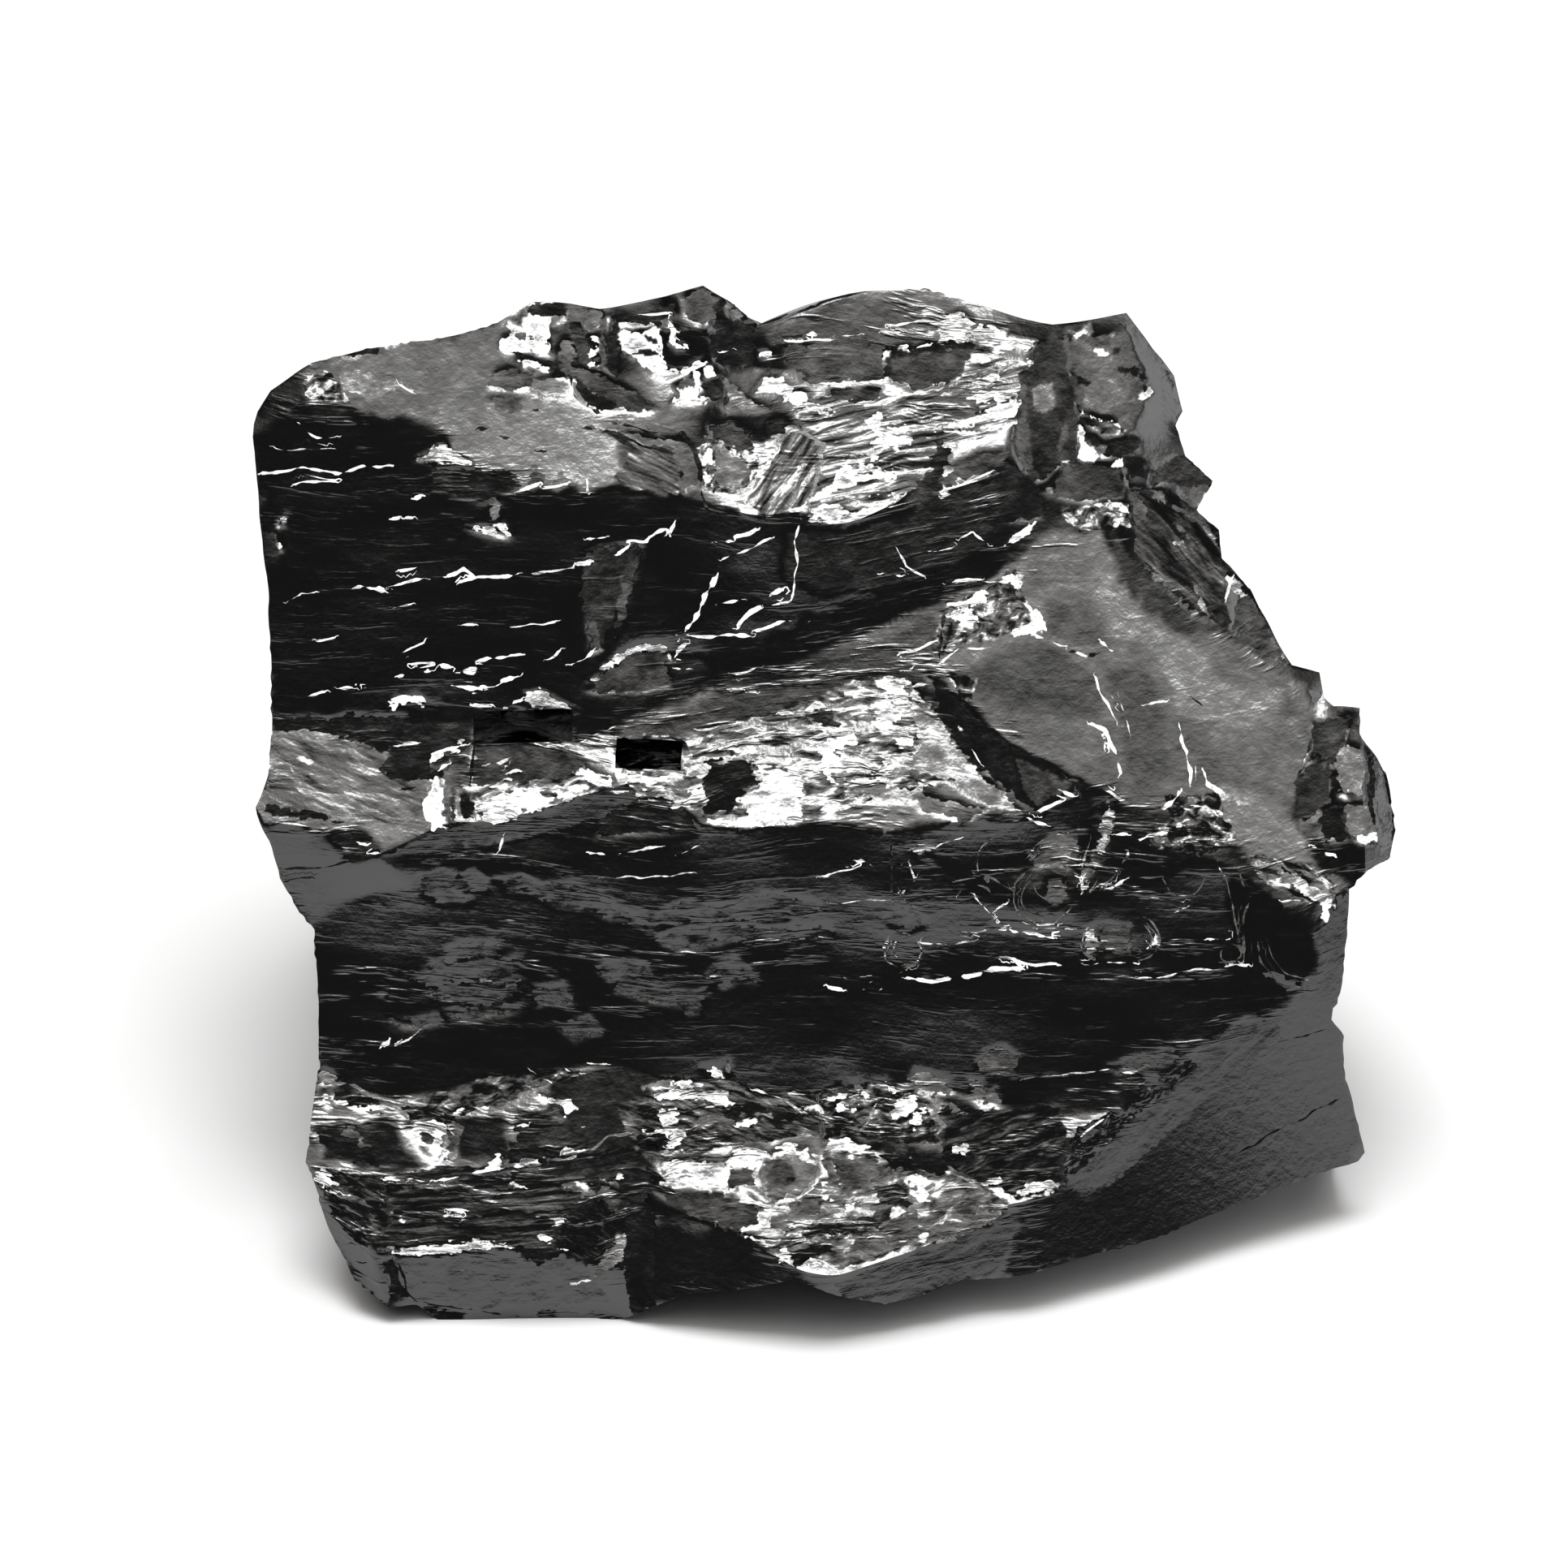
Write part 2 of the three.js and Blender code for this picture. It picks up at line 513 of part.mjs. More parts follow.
// Turns the shared edge of two faces in one plane where that makes both of them less pointed.
function flipPointedFaces(mesh) {
  const FLAT = 0.9999;
  const TINY = 1e-9;
  const ROUNDING = 1e-6;
  const edges = new Map();
  mesh.faces.forEach(({ corners }, f) => corners.forEach((i, n) => {
    const key = pairKey(i, corners[(n + 1) % 3]);
    if (!edges.has(key)) edges.set(key, []);
    edges.get(key).push([f, corners[(n + 2) % 3]]);
  }));
  const touched = new Set();
  const made = new Set();
  let flips = 0;
  for (const [key, sides] of edges) {
    if (sides.length !== 2) continue;
    const [[f, k], [g, l]] = sides;
    if (touched.has(f) || touched.has(g) || mesh.faces[f].facet !== mesh.faces[g].facet) continue;
    const [i, j] = [Math.floor(key / PAIR), key % PAIR];
    const [p, q, r, s] = [i, j, k, l].map((n) => mesh.points[n]);
    const angle = (at, one, other) => {
      const [u, v] = [minus(one, at), minus(other, at)];
      return Math.atan2(length(cross(u, v)), dot(u, v));
    };
    if (angle(r, p, q) + angle(s, p, q) <= Math.PI + ROUNDING) continue;
    const [n1, n2] = [f, g].map((n) => faceNormal(mesh.points, mesh.faces[n].corners));
    const small = length(n1) < TINY || length(n2) < TINY;
    if (!small && dot(n1, n2) < FLAT * length(n1) * length(n2)) continue;
    const crossing = pairKey(k, l);
    if (edges.has(crossing) || made.has(crossing)) continue;
    const order = mesh.faces[f].corners;
    const forward = order[(order.indexOf(i) + 1) % 3] === j;
    const [a, b] = forward ? [i, j] : [j, i];
    const one = [a, l, k];
    const other = [l, b, k];
    const want = small ? (length(n1) > length(n2) ? n1 : n2) : n1;
    if ([one, other].some((turned) => dot(faceNormal(mesh.points, turned), want) <= 0)) continue;
    mesh.faces[f].corners = one;
    mesh.faces[g].corners = other;
    touched.add(f).add(g);
    made.add(crossing);
    flips += 1;
  }
  return flips;
}

// Moves each point that lies inside one facet towards the middle of its neighbours.
function evenOut(mesh) {
  const SHARE = 0.6;
  const around = mesh.points.map(() => new Set());
  const facetsAt = mesh.points.map(() => new Set());
  const uses = new Map();
  for (const { corners, facet } of mesh.faces) {
    corners.forEach((i, n) => {
      const j = corners[(n + 1) % 3];
      around[i].add(j);
      around[j].add(i);
      facetsAt[i].add(facet);
      uses.set(pairKey(i, j), (uses.get(pairKey(i, j)) ?? 0) + 1);
    });
  }
  const onRim = new Set();
  for (const [key, count] of uses) {
    if (count === 1) onRim.add(Math.floor(key / PAIR)).add(key % PAIR);
  }
  mesh.points = mesh.points.map((p, i) => {
    if (facetsAt[i].size > 1 || onRim.has(i)) return p;
    const near = [...around[i]].map((j) => mesh.points[j]);
    const middle = p.map((_, axis) => near.reduce((sum, q) => sum + q[axis], 0) / near.length);
    return mix(p, middle, SHARE);
  });
}

// ---- raising the map ----------------------------------------------------------------------------

// Finds how far each point stands out, so that every facet leans as it says, as nearly as its neighbours
// allow. It is a least-squares fit of the slopes, solved by conjugate gradients.
function raise(mesh, list) {
  const MOST_STEPS = 1500;
  const CLOSE = 1e-12;
  const terms = mesh.faces.map(({ corners, facet }) => {
    const [p, q, r] = corners.map((i) => mesh.points[i]);
    const twice = faceNormal(mesh.points, corners)[2];
    const slopes = [[q, r], [r, p], [p, q]].map(([s, t]) => [(s[1] - t[1]) / twice, (t[0] - s[0]) / twice]);
    const { up, right } = list[facet];
    const target = [-Math.tan(radians(right)), -Math.tan(radians(up))];
    return { corners, slopes, target, weight: twice };
  });
  const spread = (heights) => {
    const out = new Float64Array(mesh.points.length);
    for (const { corners, slopes, weight } of terms) {
      const gradient = [0, 0];
      corners.forEach((i, n) => {
        gradient[0] += heights[i] * slopes[n][0];
        gradient[1] += heights[i] * slopes[n][1];
      });
      corners.forEach((i, n) => {
        out[i] += weight * (gradient[0] * slopes[n][0] + gradient[1] * slopes[n][1]);
      });
    }
    return out;
  };
  const heights = new Float64Array(mesh.points.length);
  let residual = new Float64Array(mesh.points.length);
  for (const { corners, slopes, target, weight } of terms) {
    corners.forEach((i, n) => {
      residual[i] += weight * (target[0] * slopes[n][0] + target[1] * slopes[n][1]);
    });
  }
  let heading = Float64Array.from(residual);
  const square = (v) => v.reduce((sum, value) => sum + value * value, 0);
  let size = square(residual);
  for (let step = 0; step < MOST_STEPS && size > CLOSE; step += 1) {
    const pushed = spread(heading);
    const stride = size / heading.reduce((sum, value, i) => sum + value * pushed[i], 0);
    heading.forEach((value, i) => {
      heights[i] += stride * value;
      residual[i] -= stride * pushed[i];
    });
    const next = square(residual);
    heading = heading.map((value, i) => residual[i] + (next / size) * value);
    size = next;
  }
  const foot = mesh.points.findIndex((p) => placeKey(p) === placeKey([...FOOT, 0]));
  mesh.points.forEach((p, i) => {
    p[2] = heights[i] - heights[foot];
  });
}

// The sum of some waves at a place.
function waves(list, [x, y, z]) {
  return list.reduce((sum, { height, lengths: [a, b, c], from = 0 }) => (
    sum + height * noise(x / a, y / b, z / c + from)
  ), 0);
}

// Bedding shows on the front as shallow ripples that run across it.
function rippleFront(mesh) {
  mesh.points.forEach((p) => {
    p[2] += waves(FRONT_RIPPLES, [p[0], p[1], 0]);
  });
}

// ---- closing the stone --------------------------------------------------------------------------

// From the map to the stone's own frame.
const stand = ([across, up, out]) => [
  across,
  up * LEAN_SIN - out * LEAN_COS + FACE_Y,
  up * LEAN_COS + out * LEAN_SIN + FACE_Z,
];

// And back to the map.
const lay = ([x, y, z]) => [
  x,
  (y - FACE_Y) * LEAN_SIN + (z - FACE_Z) * LEAN_COS,
  (z - FACE_Z) * LEAN_SIN - (y - FACE_Y) * LEAN_COS,
];

// Carries the rim straight back through the stone, drawn in a little, and closes it at the far end.
// Each coarser ring takes every other point of the ring before it.
function thicken(front) {
  const RINGS = [
    { depth: 0.8, scale: 0.998, coarser: false },
    { depth: 2.6, scale: 0.985, coarser: true },
    { depth: 7.0, scale: 0.965, coarser: true },
    { depth: 46.0, scale: 0.86, coarser: false },
  ];
  const next = new Map();
  const uses = new Map();
  front.faces.forEach(({ corners }) => corners.forEach((i, n) => {
    const j = corners[(n + 1) % 3];
    uses.set(pairKey(i, j), (uses.get(pairKey(i, j)) ?? 0) + 1);
  }));
  front.faces.forEach(({ corners }) => corners.forEach((i, n) => {
    const j = corners[(n + 1) % 3];
    if (uses.get(pairKey(i, j)) === 1) next.set(i, j);
  }));
  const rim = [];
  let at = next.keys().next().value;
  do {
    rim.push(at);
    at = next.get(at);
  } while (at !== rim[0]);
  const points = front.points.map((p) => [...p]);
  const faces = front.faces.map(({ corners }) => ({ corners: [...corners], facet: 0 }));
  let last = rim.map((i) => ({ id: i, over: front.points[i] }));
  for (const { depth, scale, coarser } of RINGS) {
    const step = coarser ? 2 : 1;
    const ring = last.filter((_, n) => n % step === 0).map(({ over: [across, up, out] }) => {
      points.push([across * scale, up * scale, out - depth]);
      return { id: points.length - 1, over: [across, up, out] };
    });
    ring.forEach(({ id }, n) => {
      const nextId = ring[(n + 1) % ring.length].id;
      const [i, j, k] = [0, 1, 2].map((m) => last[(n * step + m) % last.length].id);
      const end = coarser && n * step + 1 < last.length ? k : j;
      faces.push({ corners: [j, i, id], facet: 0 });
      if (end === k) faces.push({ corners: [k, j, nextId], facet: 0 });
      faces.push({ corners: [j, id, nextId], facet: 0 });
    });
    last = ring;
  }
  const TIP = 2;
  const deepest = Math.min(...points.map((p) => p[2]));
  points.push([0, 0, deepest - TIP]);
  last.forEach(({ id }, n) => {
    faces.push({ corners: [last[(n + 1) % last.length].id, id, points.length - 1], facet: 0 });
  });
  return { points: points.map(stand), faces };
}

const wasm = await Module();
wasm.setup();

function solidOf(geometry) {
  const bare = geometry.clone();
  bare.deleteAttribute('normal');
  bare.deleteAttribute('uv');
  const merged = mergeVertices(bare, 1e-4);
  return new wasm.Manifold(new wasm.Mesh({
    numProp: 3,
    vertProperties: Float32Array.from(merged.attributes.position.array),
    triVerts: Uint32Array.from(merged.index.array),
  }));
}

function geometryOf(mesh) {
  const geometry = new THREE.BufferGeometry();
  geometry.setAttribute('position', new THREE.Float32BufferAttribute(mesh.points.flat(), 3));
  geometry.setIndex(mesh.faces.flatMap(({ corners }) => corners));
  return geometry;
}

const BROKEN = 0;
const BASE = 1;
const ON_BASE = 0.001;

function meshOf(solid) {
  const { vertProperties, triVerts } = solid.getMesh();
  const three = (list, n) => [...list.slice(3 * n, 3 * n + 3)];
  const threes = (list) => Array.from({ length: list.length / 3 }, (_, n) => three(list, n));
  const points = threes(vertProperties);
  const faces = threes(triVerts).map((corners) => (
    { corners, facet: corners.every((i) => points[i][2] < ON_BASE) ? BASE : BROKEN }
  ));
  return { points, faces };
}

// A block whose near face lies on a plane: `turn` is the heading that the plane faces, clockwise from the
// back as seen from above, and `tilt` is how far it faces up. It lies `clear` of the front's furthest point,
// or at a `reach` from the origin.
function planeCut({ turn, tilt, clear, reach }) {
  const SIZE = 90;
  const [t, e] = [radians(turn), radians(tilt)];
  const facing = new THREE.Vector3(Math.sin(t) * Math.cos(e), Math.cos(t) * Math.cos(e), Math.sin(e));
  const furthest = () => Math.max(...front.points.map((p) => dot(stand(p), facing.toArray())));
  const geometry = new THREE.BoxGeometry(SIZE, SIZE, SIZE);
  const aim = new THREE.Quaternion().setFromUnitVectors(new THREE.Vector3(0, 0, 1), facing);
  const centre = facing.clone().multiplyScalar((reach ?? furthest() + clear) + SIZE / 2);
  geometry.applyMatrix4(new THREE.Matrix4().compose(centre, aim, new THREE.Vector3(1, 1, 1)));
  return solidOf(geometry);
}

// A shell-shaped scar: a flattened ball dug out of the stone.
function scarCut({ at, size }) {
  const geometry = new THREE.IcosahedronGeometry(1, 3);
  geometry.scale(...size);
  geometry.translate(...at);
  return solidOf(geometry);
}

function pocketCut({ at, size, turn }) {
  const PROUD = 3;
  const [width, height, depth] = size;
  const geometry = new THREE.BoxGeometry(width, height, depth + PROUD);
  geometry.rotateZ(radians(turn));
  geometry.translate(at[0], at[1], frontHeight(at) + (PROUD - depth) / 2);
  const place = geometry.attributes.position;
  for (let i = 0; i < place.count; i += 1) {
    place.setXYZ(i, ...stand([place.getX(i), place.getY(i), place.getZ(i)]));
  }
  return solidOf(geometry);
}

// How far the front stands out at a place on the map, or nothing where that is off the front.
const CELL = 2;
const EDGE_SLACK = 1e-4;
const cellOf = (across, up) => `${Math.floor(across / CELL)},${Math.floor(up / CELL)}`;
const cells = new Map();

function sortIntoCells() {
  for (const { corners } of front.faces) {
    const face = corners.map((i) => front.points[i]);
    const [left, right] = [Math.min(...face.map((p) => p[0])), Math.max(...face.map((p) => p[0]))];
    const [low, high] = [Math.min(...face.map((p) => p[1])), Math.max(...face.map((p) => p[1]))];
    const corner = [[left, low], [right, low], [left, high], [right, high]];
    for (const key of new Set(corner.map((at) => cellOf(...at)))) {
      cells.set(key, [...(cells.get(key) ?? []), face]);
    }
  }
}

function frontHeight([across, up]) {
  for (const [p, q, r] of cells.get(cellOf(across, up)) ?? []) {
    const area = (s, t) => (s[0] - across) * (t[1] - up) - (s[1] - up) * (t[0] - across);
    const parts = [area(q, r), area(r, p), area(p, q)];
    if (parts.every((part) => part >= -EDGE_SLACK)) {
      return (parts[0] * p[2] + parts[1] * q[2] + parts[2] * r[2]) / (parts[0] + parts[1] + parts[2]);
    }
  }
  return undefined;
}

// The back and the sides broke off on these planes.
const breaks = [
  { turn: 2, tilt: 50, clear: 0.3 },
  { turn: -18, tilt: 30, clear: 1.2 },
  { turn: 24, tilt: 24, clear: 1.5 },
  { turn: 4, tilt: -2, clear: 4.4 },
  { turn: 54, tilt: 8, clear: 0.8 },
  { turn: -50, tilt: 4, clear: 1.2 },
  { turn: -20, tilt: -34, clear: 15.0 },
  { turn: 32, tilt: -30, clear: 14.5 },
];
const scars = [
  { at: [10.0, 19.5, 17.0], size: [9, 7.0, 8] },
  { at: [-11.0, 19.0, 9.0], size: [10, 6.0, 8] },
  { at: [24.6, 12.5, 8.0], size: [8, 7.5, 7] },
  { at: [-25.2, 12.5, 15.0], size: [8, 8, 8] },
];

// Roughens the sides and the back: broad shell-like waves, and bedding that steps in and out.
function roughenBack(mesh) {
  const normals = mesh.points.map(() => [0, 0, 0]);
  for (const { corners } of mesh.faces) {
    const normal = faceNormal(mesh.points, corners);
    corners.forEach((i) => normals[i].forEach((_, axis) => {
      normals[i][axis] += normal[axis];
    }));
  }
  const ON_FRONT = 0.01;
  mesh.points = mesh.points.map((p, i) => {
    const [across, up, out] = lay(p);
    if (p[2] < ON_BASE || Math.abs(out - frontHeight([across, up])) < ON_FRONT) return p;
    const ramp = Math.min(1, p[2] / BASE_EASE);
    const shift = ((waves(BACK_WAVES, p) - BACK_WEAR) * ramp) / (length(normals[i]) || 1);
    return p.map((value, axis) => value + normals[i][axis] * shift);
  });
}

// ---- the stone ----------------------------------------------------------------------------------

const front = weave(facets);
for (const limit of [4 * FRONT_EDGE, 2 * FRONT_EDGE, FRONT_EDGE]) {
  splitLongEdges(front, limit);
  for (let round = 0; round < 3; round += 1) {
    while (flipPointedFaces(front) > 0);
    evenOut(front);
  }
}
while (flipPointedFaces(front) > 0);
raise(front, facets);
rippleFront(front);
sortIntoCells();

function breakStone() {
  let solid = solidOf(geometryOf(thicken(front)));
  for (const plane of breaks) solid = solid.subtract(planeCut(plane));
  for (const scar of scars) solid = solid.subtract(scarCut(scar));
  for (const pocket of pockets) solid = solid.subtract(pocketCut(pocket));
  return solid.subtract(planeCut({ turn: 0, tilt: -90, reach: 0 }));
}

function finishStone(solid) {
  const mesh = meshOf(solid);
  for (const limit of [4 * BACK_EDGE, 2 * BACK_EDGE, BACK_EDGE]) {
    splitLongEdges(mesh, limit, BASE);
    while (flipPointedFaces(mesh) > 0);
  }
  roughenBack(mesh);
  return geometryOf(mesh);
}

const freshBreak = new THREE.MeshStandardMaterial({
  name: 'shungite_fresh_break', color: 0x2a2a2b, roughness: 0.12, metalness: 0.0,
});
const shungite = new THREE.Mesh(finishStone(breakStone()), freshBreak);
shungite.name = 'shungite';

const stone = new THREE.Group();
stone.add(shungite);

export default stone;
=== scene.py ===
import functools
import math

import bpy
import numpy as np
from mathutils import Matrix, Vector


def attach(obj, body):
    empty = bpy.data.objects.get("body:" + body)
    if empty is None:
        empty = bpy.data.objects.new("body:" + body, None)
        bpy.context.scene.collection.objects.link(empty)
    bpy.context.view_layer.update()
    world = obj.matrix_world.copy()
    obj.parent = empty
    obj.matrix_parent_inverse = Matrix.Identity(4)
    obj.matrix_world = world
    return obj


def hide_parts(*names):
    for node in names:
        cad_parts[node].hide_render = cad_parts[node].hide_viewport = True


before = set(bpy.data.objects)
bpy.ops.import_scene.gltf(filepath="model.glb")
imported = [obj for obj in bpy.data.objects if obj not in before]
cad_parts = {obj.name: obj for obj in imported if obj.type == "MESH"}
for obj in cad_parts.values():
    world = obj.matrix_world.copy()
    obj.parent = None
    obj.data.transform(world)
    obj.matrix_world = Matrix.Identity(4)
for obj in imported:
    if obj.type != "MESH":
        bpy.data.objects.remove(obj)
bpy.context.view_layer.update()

bl_info = {
    "name": "Raw Shungite",
    "version": (1, 0, 0),
    "blender": (4, 5, 0),
    "location": "3D View > Sidebar > Shungite",
    "description": "Finishes a lump of raw shungite and sets it in a small studio",
    "category": "Object",
}

NODE = "shungite"
MM = 0.001

# Too small to show. These keep divisions away from nothing.
TINY = 1e-12
SMALL = 1e-6

# The broken front leans back. Places on it are given in mm as across (+X), up (up the leaning face) and out
# (off the face, towards the front), from an origin in the middle of the face.
FACE_LEAN = math.radians(35)
FOOT_UP = -18.35
FOOT_TRIM = 0.35  # how far the lowest corner is trimmed to make the flat base
FACE_Y = -1.99
FACE_Z = -FOOT_UP * math.cos(FACE_LEAN) - FOOT_TRIM
ACROSS = np.array([1.0, 0.0, 0.0])
UP = np.array([0.0, math.sin(FACE_LEAN), math.cos(FACE_LEAN)])
OUT = np.array([0.0, -math.cos(FACE_LEAN), math.sin(FACE_LEAN)])
FACE_ORIGIN = np.array([0.0, FACE_Y, FACE_Z])

# Where the camera aims on the front, and the width of the picture there, in mm.
AIM = (-1.457, 0.829, 1.0)
PICTURE_WIDTH = 55.2
SENSOR = 36.0

# What a chip mirrors, by how far it leans up from the face, in degrees.
LAMP = 27
BRIGHT = 20
SOFT = 15
DIM = 10
DUSK = 7
ROOM = 0
PAPER = -18.5

